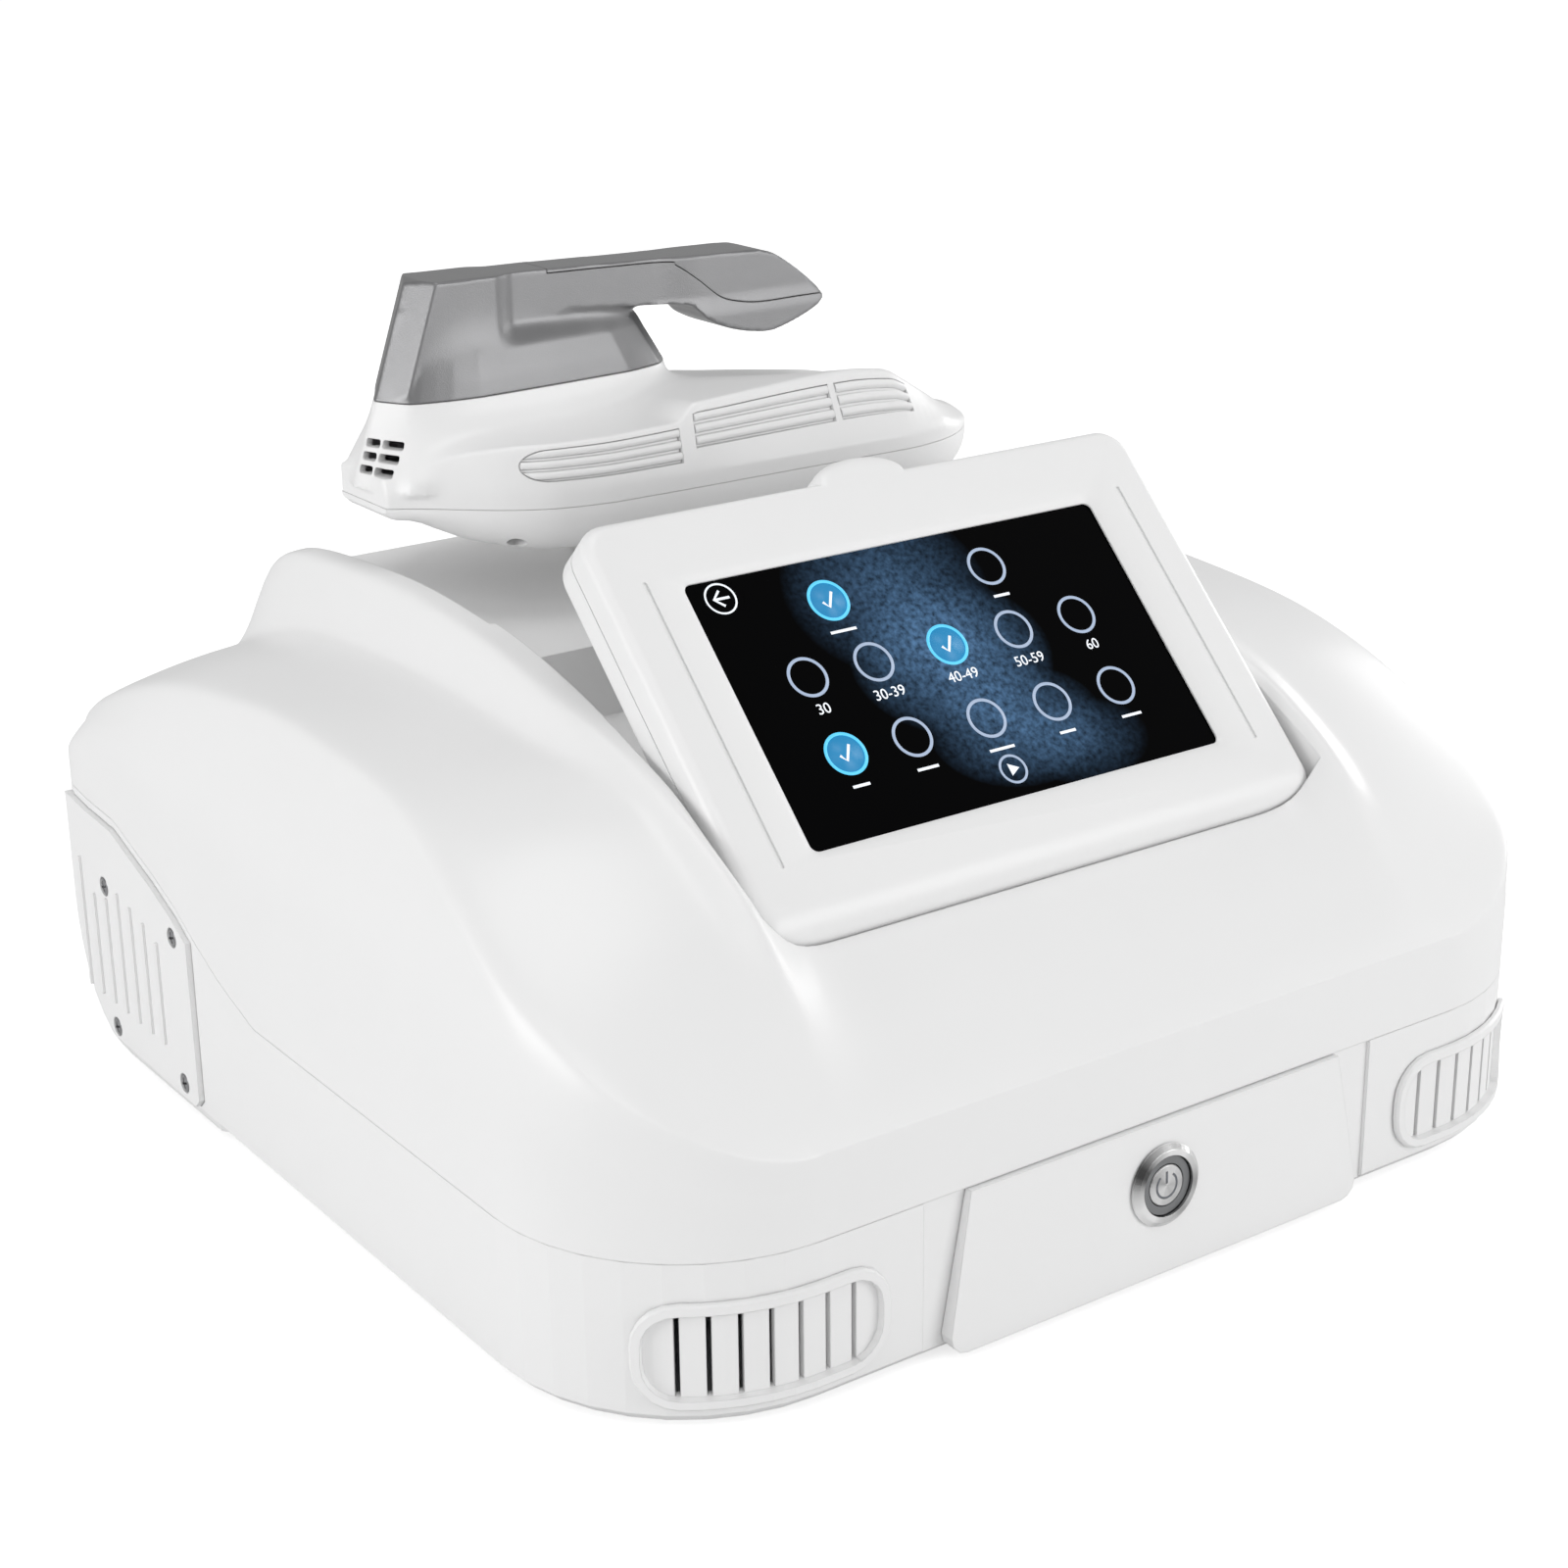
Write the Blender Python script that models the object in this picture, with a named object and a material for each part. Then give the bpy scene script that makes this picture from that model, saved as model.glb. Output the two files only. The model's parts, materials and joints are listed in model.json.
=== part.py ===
"""A table-top muscle-stimulation body sculpting machine, as an assembly of its real pieces.

Every piece is drawn in the machine's own frame: X to the right, Y from the front to the back,
Z up, with y = 0 at the foot of the button panel and z = 0 at the underside of the base. The
empty called machine then puts the middle of the footprint over the origin and stands the
rubber feet on z = 0. The lid is drawn in its own frame on the hinge axis: X along the axis,
Y up the screen, Z out of the screen.
"""
import math

import bmesh
import bpy
import numpy as np
from mathutils import Matrix, Vector

# Body, in metres
BODY_HALF_WIDTH = 0.1805
BODY_DEPTH = 0.3520
BODY_HEIGHT = 0.1720
FRONT_WALL_Y = 0.0040
FRONT_RADIUS = 0.0620
REAR_RADIUS = 0.0110
SEAM_HEIGHT = BODY_HEIGHT * 0.279
GAP = 0.0003
FLATNESS = 0.0005
OVERRUN = 0.0040
WALL = 0.0030
FLOOR = 0.0030
TAIL_RUN = BODY_DEPTH * 0.108
TAIL_RISE = BODY_HEIGHT * 0.279
CHAMFER = 0.0030
REAR_CHAMFER = 0.0008
CHAMFER_END_Y = BODY_DEPTH * 0.685

# Height of the seam between base and casing where it climbs at the back
SEAM_SHARES = (
    (0.600, 0.279), (0.666, 0.321), (0.712, 0.365), (0.750, 0.408),
    (0.794, 0.444), (0.840, 0.475), (0.877, 0.500), (0.938, 0.507), (1.000, 0.524),
)
# Rows are a share of the depth, then a share of the height or of the half width
CREASE_SHARES = (
    (0.011, 0.422), (0.030, 0.461), (0.051, 0.503), (0.077, 0.535), (0.128, 0.587), (0.188, 0.640),
    (0.267, 0.727), (0.355, 0.802), (0.412, 0.826), (0.585, 0.843), (0.696, 0.820),
    (0.812, 0.779), (0.909, 0.709), (1.000, 0.605),
)
CREASE_INSET_SHARES = (
    (0.011, 0.000), (0.051, 0.000), (0.128, 0.018), (0.188, 0.016), (0.267, 0.030), (0.355, 0.055),
    (0.412, 0.068), (0.585, 0.069), (0.747, 0.055), (0.869, 0.039), (0.952, 0.032), (1.000, 0.045),
)
DECK_SHARES = (
    (0.011, 0.424), (0.023, 0.454), (0.057, 0.527), (0.094, 0.612), (0.170, 0.727), (0.284, 0.834),
    (0.389, 0.866), (0.568, 0.884), (0.722, 0.871), (0.872, 0.802), (0.980, 0.706), (1.000, 0.680),
)
DISH_SHARES = ((0.011, 0.000), (0.057, 0.023), (0.140, 0.024))
CREST_SHARES = (
    (0.011, 0.424), (0.085, 0.592), (0.108, 0.650), (0.126, 0.698), (0.162, 0.748), (0.213, 0.805),
    (0.295, 0.863), (0.399, 0.933), (0.523, 0.983), (0.653, 1.000), (0.790, 0.988),
    (0.861, 0.971), (0.892, 0.951), (0.915, 0.919), (0.929, 0.872), (0.940, 0.814),
    (0.960, 0.756), (0.983, 0.715), (1.000, 0.686),
)
CREST_X_SHARES = ((0.000, 0.587), (0.295, 0.587), (0.399, 0.620), (1.000, 0.620))
FILL_SHARES = ((0.142, 0.0), (0.168, 1.0))
STATION_SHARES = (
    0.215, 0.267, 0.315, 0.355, 0.399, 0.455, 0.523, 0.560, 0.585, 0.600, 0.626, 0.653, 0.666,
    0.712, 0.750, 0.794, 0.840, 0.861, 0.877, 0.892, 0.904, 0.915, 0.922, 0.929, 0.938, 0.948, 0.960,
)
FRONT_ANGLES = (0, 11, 20, 29, 37, 44, 51, 58, 65, 73, 81, 90)
REAR_ANGLES = (0, 30, 60, 90)
RIDGE_SLOPE = 0.0120
RIDGE_SHARES = ((-0.25, 0.000), (0.16, 0.10), (0.42, 0.42), (0.67, 0.80), (0.86, 0.96), (1.0, 1.0))
RIDGE_LIP = 0.0020
FILLET = 0.0080
FILLET_SHARE = 0.6
FILLET_RISE_SHARE = 0.45
LEAN_SHARE = 0.58

# Lid with its screen, on the hinge axis
HINGE_Y = BODY_DEPTH * 0.17145
HINGE_Z = BODY_HEIGHT * 0.64855
LID_TILT = 44.6
LID_CLOSED_TILT = 16.0
LID_OPEN_TILT = 79.6
LID_HALF_WIDTH = BODY_HALF_WIDTH * 0.5651
LID_LENGTH = BODY_DEPTH * 0.35795
LID_HALF_THICKNESS = 0.0100
LID_CORNER = 0.0095
LID_EDGE = 0.0035
LID_WALL = 0.0024
LID_SOLID_END = 0.0080
TAB_HALF_WIDTH = 0.0165
TAB_LENGTH = 0.0070
SCREEN_HALF_WIDTH = LID_HALF_WIDTH * 0.7471
SCREEN_LENGTH = LID_LENGTH * 0.6984
SCREEN_START = LID_LENGTH * 0.1111
SCREEN_BEVEL = 0.0026
SCREEN_BEVEL_DEPTH = 0.0018
GLASS_MARGIN = 0.0040
GLASS_THICKNESS = 0.0014
MODULE_THICKNESS = 0.0050
BOARD_THICKNESS = 0.0016
GROOVE_X = LID_HALF_WIDTH * 0.8676
GROOVE_WIDTH = 0.0012
GROOVE_DEPTH = 0.0006
GROOVE_START = LID_LENGTH * 0.092
GROOVE_END = LID_LENGTH * 0.83
PIN_RADIUS = 0.0030
PIN_GRIP = 0.0060
PIN_REACH = 0.0114
PIN_INNER_X = LID_HALF_WIDTH - PIN_GRIP
PIN_OUTER_X = LID_HALF_WIDTH + PIN_REACH
POCKET_CLEARANCE = 0.0024
TROUGH_CLEARANCE = 0.0008
POCKET_FLOOR_TILT = 14.2
POCKET_END_Y = HINGE_Y + LID_LENGTH * 0.9972
TRAY_MARGIN = 0.0042
TRAY_HALF_WIDTH = LID_HALF_WIDTH + TRAY_MARGIN
TRAY_HEIGHT = BODY_HEIGHT * 0.9029
BOSS_WALL = 0.0150
SIDE_WALL = 0.0100
BOSS_X = LID_HALF_WIDTH + BOSS_WALL
SIDE_CAVITY_X = LID_HALF_WIDTH + SIDE_WALL
NOTCH_HALF_WIDTH = 0.0250
NOTCH_DEPTH = 0.0140
NOTCH_FLOOR = TRAY_HEIGHT * 0.9369

# Front panel and power button
PANEL_FOOT_HALF_WIDTH = BODY_HALF_WIDTH * 0.4294
PANEL_TOP_HALF_WIDTH = BODY_HALF_WIDTH * 0.3856
PANEL_TOP_Y = 0.00236
PANEL_CORNER = 0.0055
RECESS_HALF_WIDTH = BODY_HALF_WIDTH * 0.4681
RECESS_DEPTH = 0.0012
BUTTON_HEIGHT = SEAM_HEIGHT * 0.5855
BUTTON_FLANGE_RADIUS = 0.01255
BUTTON_PROUD = 0.0022
BEZEL_CHAMFER_SHARE = 0.7
BUTTON_BARREL_RADIUS = 0.0109
BUTTON_BORE_RADIUS = 0.0093
BUTTON_CAP_RADIUS = 0.00625
BUTTON_STEM_RADIUS = 0.0028
BUTTON_TRAVEL = 0.0015
BUTTON_LENGTH = 0.0150
BUTTON_BODY_LENGTH = 0.0170
BUTTON_RING_DEPTH = 0.0040
NUT_RADIUS = 0.0140
NUT_THICKNESS = 0.0040

# Corner grilles
GRILLE_X = BODY_HALF_WIDTH * 0.5346
GRILLE_LENGTH = 0.0745
GRILLE_FOOT = 0.0055
GRILLE_TOP = 0.0370
GRILLE_RADIUS = 0.0130
GRILLE_RIM = 0.0031
GRILLE_PROUD = 0.0022
GRILLE_LEDGE = 0.0016
GRILLE_SLOT = 0.0015
GRILLE_PITCH = 0.0085
GRILLE_FIRST = 0.0112
GRILLE_SLOTS = 7
GRILLE_STRIPS = 12

# Side covers and their screws
COVER_FRONT_Y = BODY_DEPTH * 0.7216
COVER_BACK_Y = BODY_DEPTH * 0.9801
COVER_FOOT = 0.0040
COVER_SINK = 0.0009
RIB_PROUD = 0.0008
COVER_FACE_X = BODY_HALF_WIDTH + RIB_PROUD + CHAMFER / 3
COVER_SEAM_MARGIN = 0.0030
COVER_CORNER = 0.0030
RIB_WIDTH = 0.0016
RIB_PITCH = BODY_DEPTH * 0.0284
RIB_FIRST_Y = BODY_DEPTH * 0.7869
RIB_TOP_SHARES = (0.51, 0.56, 0.59, 0.61, 0.54, 0.52, 0.665)
SCREW_Y = (BODY_DEPTH * 0.7514, BODY_DEPTH * 0.9034)
SCREW_Z = (COVER_FOOT * 2.375, BODY_HEIGHT * 0.3512)
RIB_FOOT = SCREW_Z[0] * 1.958
SCREW_HEAD_RADIUS = 0.0031
SCREW_HEAD_HEIGHT = 0.0016
SCREW_SHANK_RADIUS = 0.0013
SCREW_LENGTH = 0.0090
SCREW_BOSS_RADIUS = 0.0042
SCREW_CLEARANCE = 0.0004

# Rear panel and what it carries
REAR_OPEN_HALF_WIDTH = BODY_HALF_WIDTH * 0.4875
REAR_OPEN_FOOT = BODY_HEIGHT * 0.314
REAR_OPEN_TOP = BODY_HEIGHT * 0.4855
REAR_PANEL_MARGIN = 0.0035
REAR_PANEL_THICKNESS = 0.0020
FAN_SIZE = BODY_HALF_WIDTH * 0.1662
FAN_DEPTH = 0.0100
FAN_X = (-BODY_HALF_WIDTH * 0.3767, -BODY_HALF_WIDTH * 0.1884)
FAN_BORE_RADIUS = FAN_SIZE * 0.4567
FAN_HUB_RADIUS = FAN_SIZE * 0.2
FAN_BLADES = 7
FAN_BLADE_THICKNESS = 0.0008
FAN_BLADE_TWIST = 38.0
FAN_STRUT = 0.0020
GUARD_RINGS = ((FAN_SIZE * 0.14, FAN_SIZE * 0.2533), (FAN_SIZE * 0.3067, FAN_SIZE * 0.4267))
GUARD_SPOKE = 0.0016
INLET_X = BODY_HALF_WIDTH * 0.0332
INLET_HALF_WIDTH = 0.0150
INLET_HALF_HEIGHT = 0.0120
INLET_FLANGE = 0.0016
INLET_DEPTH = 0.0210
INLET_RECESS = 0.0160
INLET_PIN_SHRINK = 0.0052
INLET_PIN = (0.0020, 0.0040)
INLET_PIN_PITCH = 0.0070
INLET_WALL = 0.0022
SWITCH_X = BODY_HALF_WIDTH * 0.2105
SWITCH_HALF_WIDTH = 0.0070
SWITCH_HALF_HEIGHT = 0.0105
SWITCH_RIM = 0.0018
SWITCH_DEPTH = 0.0160
ROCKER_TILT = 9.0
ROCKER_RADIUS = 0.0110
SOCKET_X = BODY_HALF_WIDTH * 0.3767
SOCKET_RADIUS = 0.0110
SOCKET_BORE_RADIUS = 0.0075
SOCKET_DEPTH = 0.0180
SOCKET_PROUD = 0.0028

# Works inside the base
SUPPLY = (0.1100, 0.0700, 0.0340)
SUPPLY_PLACE = (-BODY_HALF_WIDTH * 0.5817, BODY_DEPTH * 0.4261)
BANK = (0.0900, 0.0600)
BANK_PLACE = (BODY_HALF_WIDTH * 0.5429, BODY_DEPTH * 0.4688)
CAPACITOR_RADIUS = 0.0135
CAPACITOR_HEIGHT = 0.0450
POST_HEIGHT = 0.0060
POST_RADIUS = 0.0030
MAIN_BOARD = (0.1200, 0.0800)
MAIN_BOARD_PLACE = (0.0, BODY_DEPTH * 0.7244)
HEAT_SINK = (0.0500, 0.0300, 0.0180)
HEAT_FINS = 5
HEAT_FIN_THICKNESS = 0.0020

# Rubber feet
FOOT_RADIUS = 0.0090
FOOT_THICKNESS = 0.0030
FOOT_X = BODY_HALF_WIDTH * 0.7202
FOOT_Y = (BODY_DEPTH * 0.1705, BODY_DEPTH * 0.8381)

# Applicator
HEAD_LEFT = -BODY_HALF_WIDTH * 0.5817
HEAD_LENGTH = BODY_HALF_WIDTH * 1.2632
HEAD_Y = BODY_DEPTH * 0.75284
HEAD_HALF_DEPTH = BODY_DEPTH * 0.14773
HEAD_STAND = 0.0351
HEAD_SEAM = TRAY_HEIGHT + HEAD_STAND
HEAD_RISE = 0.0270
HEAD_FACE_FOOT = 0.0070
HEAD_DROP = 0.0164
HEAD_WALL = 0.0028
HEAD_PLAN_SHARES = (
    (0.000, 0.29), (0.030, 0.38), (0.074, 0.55), (0.132, 0.77), (0.197, 0.92), (0.285, 0.99),
    (0.461, 1.00), (0.772, 1.00), (0.833, 0.96), (0.886, 0.87), (0.930, 0.72), (0.961, 0.56),
    (0.982, 0.39), (0.996, 0.20), (1.000, 0.10),
)
HEAD_FRONT_SHARES = (
    (0.000, 0.37), (0.073, 0.61), (0.146, 0.73), (0.384, 0.78), (0.412, 0.98), (0.689, 1.00),
    (0.772, 0.93), (0.803, 0.80), (0.833, 0.65), (0.860, 0.52), (0.886, 0.39), (0.908, 0.30),
    (0.930, 0.22), (0.961, 0.13), (1.000, 0.05),
)
HEAD_CENTRE_SHARES = (
    (0.000, 0.35), (0.105, 0.61), (0.294, 0.70), (0.425, 0.82), (0.509, 0.90), (0.596, 0.82),
    (0.715, 0.69), (0.820, 0.55), (0.899, 0.31), (0.961, 0.13), (1.000, 0.04),
)
HEAD_DROP_SHARES = (
    (0.000, 0.12), (0.013, 0.26), (0.035, 0.30), (0.075, 0.55), (0.114, 0.78), (0.219, 1.00),
    (0.877, 1.00), (0.934, 0.93), (0.974, 0.74), (1.000, 0.30),
)
HEAD_STATION_SHARES = (
    0.000, 0.013, 0.035, 0.072, 0.110, 0.147, 0.197, 0.285, 0.382, 0.408, 0.513, 0.610,
    0.689, 0.772, 0.803, 0.833, 0.860, 0.886, 0.908, 0.930, 0.947, 0.963, 0.978, 0.991, 1.000,
)
LOUVRE_LEAN = 0.0110
LOUVRE_LEAN_SHARES = ((0.000, 0.20), (0.400, 0.36), (0.660, 1.00), (1.000, 1.15))
LOUVRE_SPANS = (
    (HEAD_LEFT + HEAD_LENGTH * 0.147, HEAD_LEFT + HEAD_LENGTH * 0.382),
    (HEAD_LEFT + HEAD_LENGTH * 0.408, HEAD_LEFT + HEAD_LENGTH * 0.655),
    (HEAD_LEFT + HEAD_LENGTH * 0.669, HEAD_LEFT + HEAD_LENGTH * 0.800),
)
LOUVRE_SPAN_SHARES = ((0.12, 0.93), (0.30, 0.90), (0.30, 0.90))
LOUVRE_RECESS = 0.0016
LOUVRE_SLATS = 3
LOUVRE_STEPS = 6
VENT_SLOTS = 3
VENT_SLOT_HEIGHT = 0.0026
VENT_PITCH = 0.0040
VENT_FOOT = HEAD_SEAM + VENT_PITCH * 2.3
VENT_PLACES = ((0.0, 0.15, 0.0036, 90.0), (0.045, -0.60, 0.0044, 42.0))
VENT_DEPTH = 0.0024
NECK_TOP = HEAD_SEAM + HEAD_RISE * 1.1333
NECK_FOOT = HEAD_SEAM + HEAD_RISE * 0.3185
NECK_LEAN = 0.46
NECK_LEFT = -BODY_HALF_WIDTH * 0.51856
NECK_RINGS = (
    (0.0, 0.0071, 0.0158), (0.25, 0.0090, 0.0170), (0.48, 0.0125, 0.0200), (0.70, 0.0180, 0.0245),
    (1.0, 0.0240, 0.0300),
)
BOAT_SHARES = (
    (0.000, 0.45), (0.030, 0.52), (0.065, 0.66), (0.140, 0.87), (0.240, 1.00), (0.520, 0.90),
    (0.820, 0.76), (0.945, 0.50), (1.000, 0.16),
)
BOAT_STEPS = 12
BOAT_STEP_POWER = 1.4
GRIP_LENGTH = BODY_HALF_WIDTH * 0.8892
GRIP_HEIGHT = 0.0364
GRIP_HALF_WIDTH = 0.0110
GRIP_BEVEL = 0.0030
GRIP_TOP_SHARES = (
    (0.566, 0.948), (0.751, 0.926), (0.826, 0.918), (0.854, 0.898), (0.883, 0.852), (0.931, 0.714),
    (0.979, 0.544), (0.998, 0.448),
)
GRIP_SEAM_SHARES = (
    (0.604, 0.907), (0.640, 0.860), (0.685, 0.723), (0.740, 0.538), (0.789, 0.470),
    (0.843, 0.442), (0.930, 0.445), (1.000, 0.437),
)
GRIP_TIP_SHARES = (
    (1.000, 0.429), (0.997, 0.387), (0.978, 0.319), (0.929, 0.231), (0.870, 0.162), (0.823, 0.173),
    (0.783, 0.209), (0.748, 0.258), (0.710, 0.341), (0.688, 0.426), (0.655, 0.503), (0.520, 0.552),
    (0.378, 0.602),
)
POST_RINGS = (
    (0.00, 0.0071, 0.0158), (0.16, 0.0036, 0.0150), (0.32, 0.0000, 0.0136), (0.48, -0.0036, 0.0118),
    (0.62, -0.0110, 0.0106), (0.74, -0.0240, 0.0098),
)
COVER_STRIP = 0.0014
COVER_STRIP_START_SHARE = 0.336
PLATE_HALF_DEPTH = 0.0340
PLATE_LEFT = -TRAY_HALF_WIDTH * 0.2072
PLATE_RIGHT = TRAY_HALF_WIDTH - TRAY_MARGIN
PLATE_CORNER = 0.0260
PLATE_EDGE = 0.0030
COIL_X = (-BODY_HALF_WIDTH * 0.0831, BODY_HALF_WIDTH * 0.3047)
COIL_OUTER = 0.0330
COIL_INNER = 0.0120
COIL_HEIGHT = 0.0070
HOSE_SOCKET_X = -BODY_HALF_WIDTH * 0.3102
HOSE_SOCKET_Z = HEAD_SEAM + HEAD_RISE * 0.8296
HOSE_SOCKET_RADIUS = 0.0062
HOSE_SOCKET_BORE = 0.0042
HOSE_SOCKET_LENGTH = 0.0090
HOSE_SOCKET_PROUD = 0.0030

ROUND = 32
SMALL_ROUND = 20
FOOT_STANDS = FOOT_THICKNESS + GAP
FRONT_CORNER_X = BODY_HALF_WIDTH - FRONT_RADIUS
FRONT_CORNER_Y = FRONT_WALL_Y + FRONT_RADIUS


# Finishes

def finish(name, colour, roughness, metallic=0.0):
    """A Principled material with one colour, roughness and metallic value."""
    made = bpy.data.materials.new(name)
    made.use_nodes = True
    shader = made.node_tree.nodes["Principled BSDF"]
    shader.inputs["Base Color"].default_value = (*colour, 1.0)
    shader.inputs["Roughness"].default_value = roughness
    shader.inputs["Metallic"].default_value = metallic
    return made


# Mesh tools

def closed_mesh(points, faces):
    """A mesh from points and faces, turned outwards, with its twisted faces split flat."""
    mesh = bpy.data.meshes.new("shape")
    mesh.from_pydata([tuple(point) for point in points], [], faces)
    sheet = bmesh.new()
    sheet.from_mesh(mesh)
    bmesh.ops.connect_verts_nonplanar(sheet, angle_limit=FLATNESS, faces=sheet.faces)
    bmesh.ops.recalc_face_normals(sheet, faces=sheet.faces)
    sheet.to_mesh(mesh)
    sheet.free()
    return mesh


def loft(rings):
    """A closed solid through rings that have the same number of points."""
    size = len(rings[0])
    points = [point for ring in rings for point in ring]
    faces = [tuple(range(size)), tuple(range(len(points) - size, len(points)))]
    for ring in range(len(rings) - 1):
        for turn in range(size):
            here = ring * size + turn
            beside = ring * size + (turn + 1) % size
            faces.append((here, beside, beside + size, here + size))
    return closed_mesh(points, faces)


def turned(profile, steps=ROUND):
    """A solid of revolution about Z, from a closed profile of (radius, height) points."""
    rings = []
    for turn in range(steps):
        angle = math.tau * turn / steps
        ring = [Vector((r * math.cos(angle), r * math.sin(angle), z)) for r, z in profile]
        rings.append(ring)
    size = len(profile)
    faces = []
    for turn in range(steps):
        after = (turn + 1) % steps
        for spot in range(size):
            beside = (spot + 1) % size
            faces.append((turn * size + spot, turn * size + beside, after * size + beside,
                          after * size + spot))
    mesh = closed_mesh([point for ring in rings for point in ring], faces)
    return welded(mesh)


def welded(mesh):
    """The mesh with points that fall together, as on an axis, made one."""
    sheet = bmesh.new()
    sheet.from_mesh(mesh)
    bmesh.ops.remove_doubles(sheet, verts=sheet.verts, dist=GAP / ROUND)
    bmesh.ops.dissolve_degenerate(sheet, edges=sheet.edges, dist=GAP / ROUND)
    loose = [edge for edge in sheet.edges if not edge.link_faces]
    bmesh.ops.delete(sheet, geom=loose, context="EDGES")
    bmesh.ops.recalc_face_normals(sheet, faces=sheet.faces)
    sheet.to_mesh(mesh)
    sheet.free()
    return mesh


def extruded(outline, low, high, axes="xyz"):
    """A prism: the outline lies on the first two named axes and runs along the third."""
    places = ["xyz".index(axis) for axis in axes]

    def point(pair, level):
        spot = [0.0, 0.0, 0.0]
        spot[places[0]], spot[places[1]], spot[places[2]] = pair[0], pair[1], level
        return Vector(spot)

    return loft([[point(pair, level) for pair in outline] for level in (low, high)])


def box(low, high):
    """A block from its lowest to its highest corner."""
    outline = ((low[0], low[1]), (high[0], low[1]), (high[0], high[1]), (low[0], high[1]))
    return extruded(outline, low[2], high[2])


def rounded(low, high, radius, steps=5):
    """A rectangle with round corners, from its lowest to its highest corner."""
    outline = []
    corners = ((high[0], high[1], 0), (low[0], high[1], 90), (low[0], low[1], 180), (high[0], low[1], 270))
    for across, up, start in corners:
        middle_x = across - math.copysign(radius, across - low[0] - radius)
        middle_y = up - math.copysign(radius, up - low[1] - radius)
        for step in range(steps + 1):
            angle = math.radians(start + 90 * step / steps)
            outline.append((middle_x + radius * math.cos(angle), middle_y + radius * math.sin(angle)))
    return outline


def moved(mesh, matrix):
    """The mesh moved by a matrix, turned right side out again after a mirror."""
    mesh.transform(matrix)
    if matrix.determinant() < 0:
        mesh.flip_normals()
    return mesh


def mirrored(mesh):
    """A copy of the mesh on the other side of the machine."""
    return moved(mesh.copy(), Matrix.Diagonal((-1, 1, 1, 1)))


def combined(operation, mesh, tools, solver="EXACT"):
    """The mesh after an EXACT Boolean with each tool in turn."""
    body = bpy.data.objects.new("body", mesh)
    bpy.context.collection.objects.link(body)
    spare = [body]
    for shape in tools:
        tool = bpy.data.objects.new("tool", shape)
        bpy.context.collection.objects.link(tool)
        step = body.modifiers.new("step", "BOOLEAN")
        step.operation = operation
        step.solver = solver
        step.object = tool
        spare.append(tool)
    graph = bpy.context.evaluated_depsgraph_get()
    made = bpy.data.meshes.new_from_object(body.evaluated_get(graph))
    for thing in spare:
        old = thing.data
        bpy.data.objects.remove(thing)
        if old.users == 0:
            bpy.data.meshes.remove(old)
    return made


def cut(mesh, *tools):
    return combined("DIFFERENCE", mesh, tools)


def joined(mesh, *tools):
    return combined("UNION", mesh, tools)


def common(mesh, tool):
    return combined("INTERSECT", mesh, (tool,))


def piece(name, mesh, material, parent, angle=32.0, bevel=0.0):
    """One named sub-part with its own material, shaded smooth up to an angle."""
    thing = bpy.data.objects.new(name, mesh)
    mesh.name = name
    bpy.context.collection.objects.link(thing)
    thing.parent = parent
    mesh.materials.clear()
    mesh.materials.append(material)
    mesh.shade_smooth()
    mesh.set_sharp_from_angle(angle=math.radians(angle))
    if bevel:
        round_edges = thing.modifiers.new("round_edges", "BEVEL")
        round_edges.width = bevel
        round_edges.segments = 2
        round_edges.limit_method = "ANGLE"
    return thing


def axis_empty(name, place, parent=None, turn=(0.0, 0.0, 0.0)):
    """An empty that holds the pieces which turn or slide on one axis."""
    empty = bpy.data.objects.new(name, None)
    bpy.context.collection.objects.link(empty)
    empty.location = place
    empty.rotation_euler = [math.radians(angle) for angle in turn]
    empty.parent = parent
    return empty


def smooth(rows, place):
    """The value at a place on a smooth curve through (place, value) rows, without overshoot."""
    spots = np.array([row[0] for row in rows])
    values = np.array([row[1] for row in rows])
    steps = np.diff(spots)
    rises = np.diff(values) / steps
    slopes = np.concatenate(([rises[0]], np.zeros(len(spots) - 2), [rises[-1]]))
    for spot in range(1, len(spots) - 1):
        before, after = rises[spot - 1], rises[spot]
        if before * after > 0:
            slopes[spot] = 2 * before * after / (before + after)
    here = int(np.clip(np.searchsorted(spots, place) - 1, 0, len(steps) - 1))
    along = float(np.clip((place - spots[here]) / steps[here], 0, 1))
    ahead = 1 - along
    return (values[here] * (1 + 2 * along) * ahead ** 2
            + values[here + 1] * (3 - 2 * along) * along ** 2
            + slopes[here] * steps[here] * along * ahead ** 2
            - slopes[here + 1] * steps[here] * ahead * along ** 2)


# Body outline and the casing's sections

def plan_half_width(y, inset=0.0):
    """Half the body's width at a depth, for the plan outline moved in by an inset."""
    rear_corner_y = BODY_DEPTH - REAR_RADIUS
    if y < FRONT_CORNER_Y:
        radius = FRONT_RADIUS - inset
        reach = min(FRONT_CORNER_Y - y, radius)
        return FRONT_CORNER_X + math.sqrt(radius ** 2 - reach ** 2)
    if y > rear_corner_y:
        radius = REAR_RADIUS - inset
        reach = min(y - rear_corner_y, radius)
        return BODY_HALF_WIDTH - REAR_RADIUS + math.sqrt(radius ** 2 - reach ** 2)
    return BODY_HALF_WIDTH - inset


def seam(y):
    """Height of the seam between base and casing, straight between its points."""
    rows = [(share_y * BODY_DEPTH, share_z * BODY_HEIGHT) for share_y, share_z in SEAM_SHARES]
    return float(np.interp(y, [row[0] for row in rows], [row[1] for row in rows]))


def crease(y):
    return BODY_HEIGHT * smooth(CREASE_SHARES, y / BODY_DEPTH)


def deck(y):
    return BODY_HEIGHT * smooth(DECK_SHARES, y / BODY_DEPTH)


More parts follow.
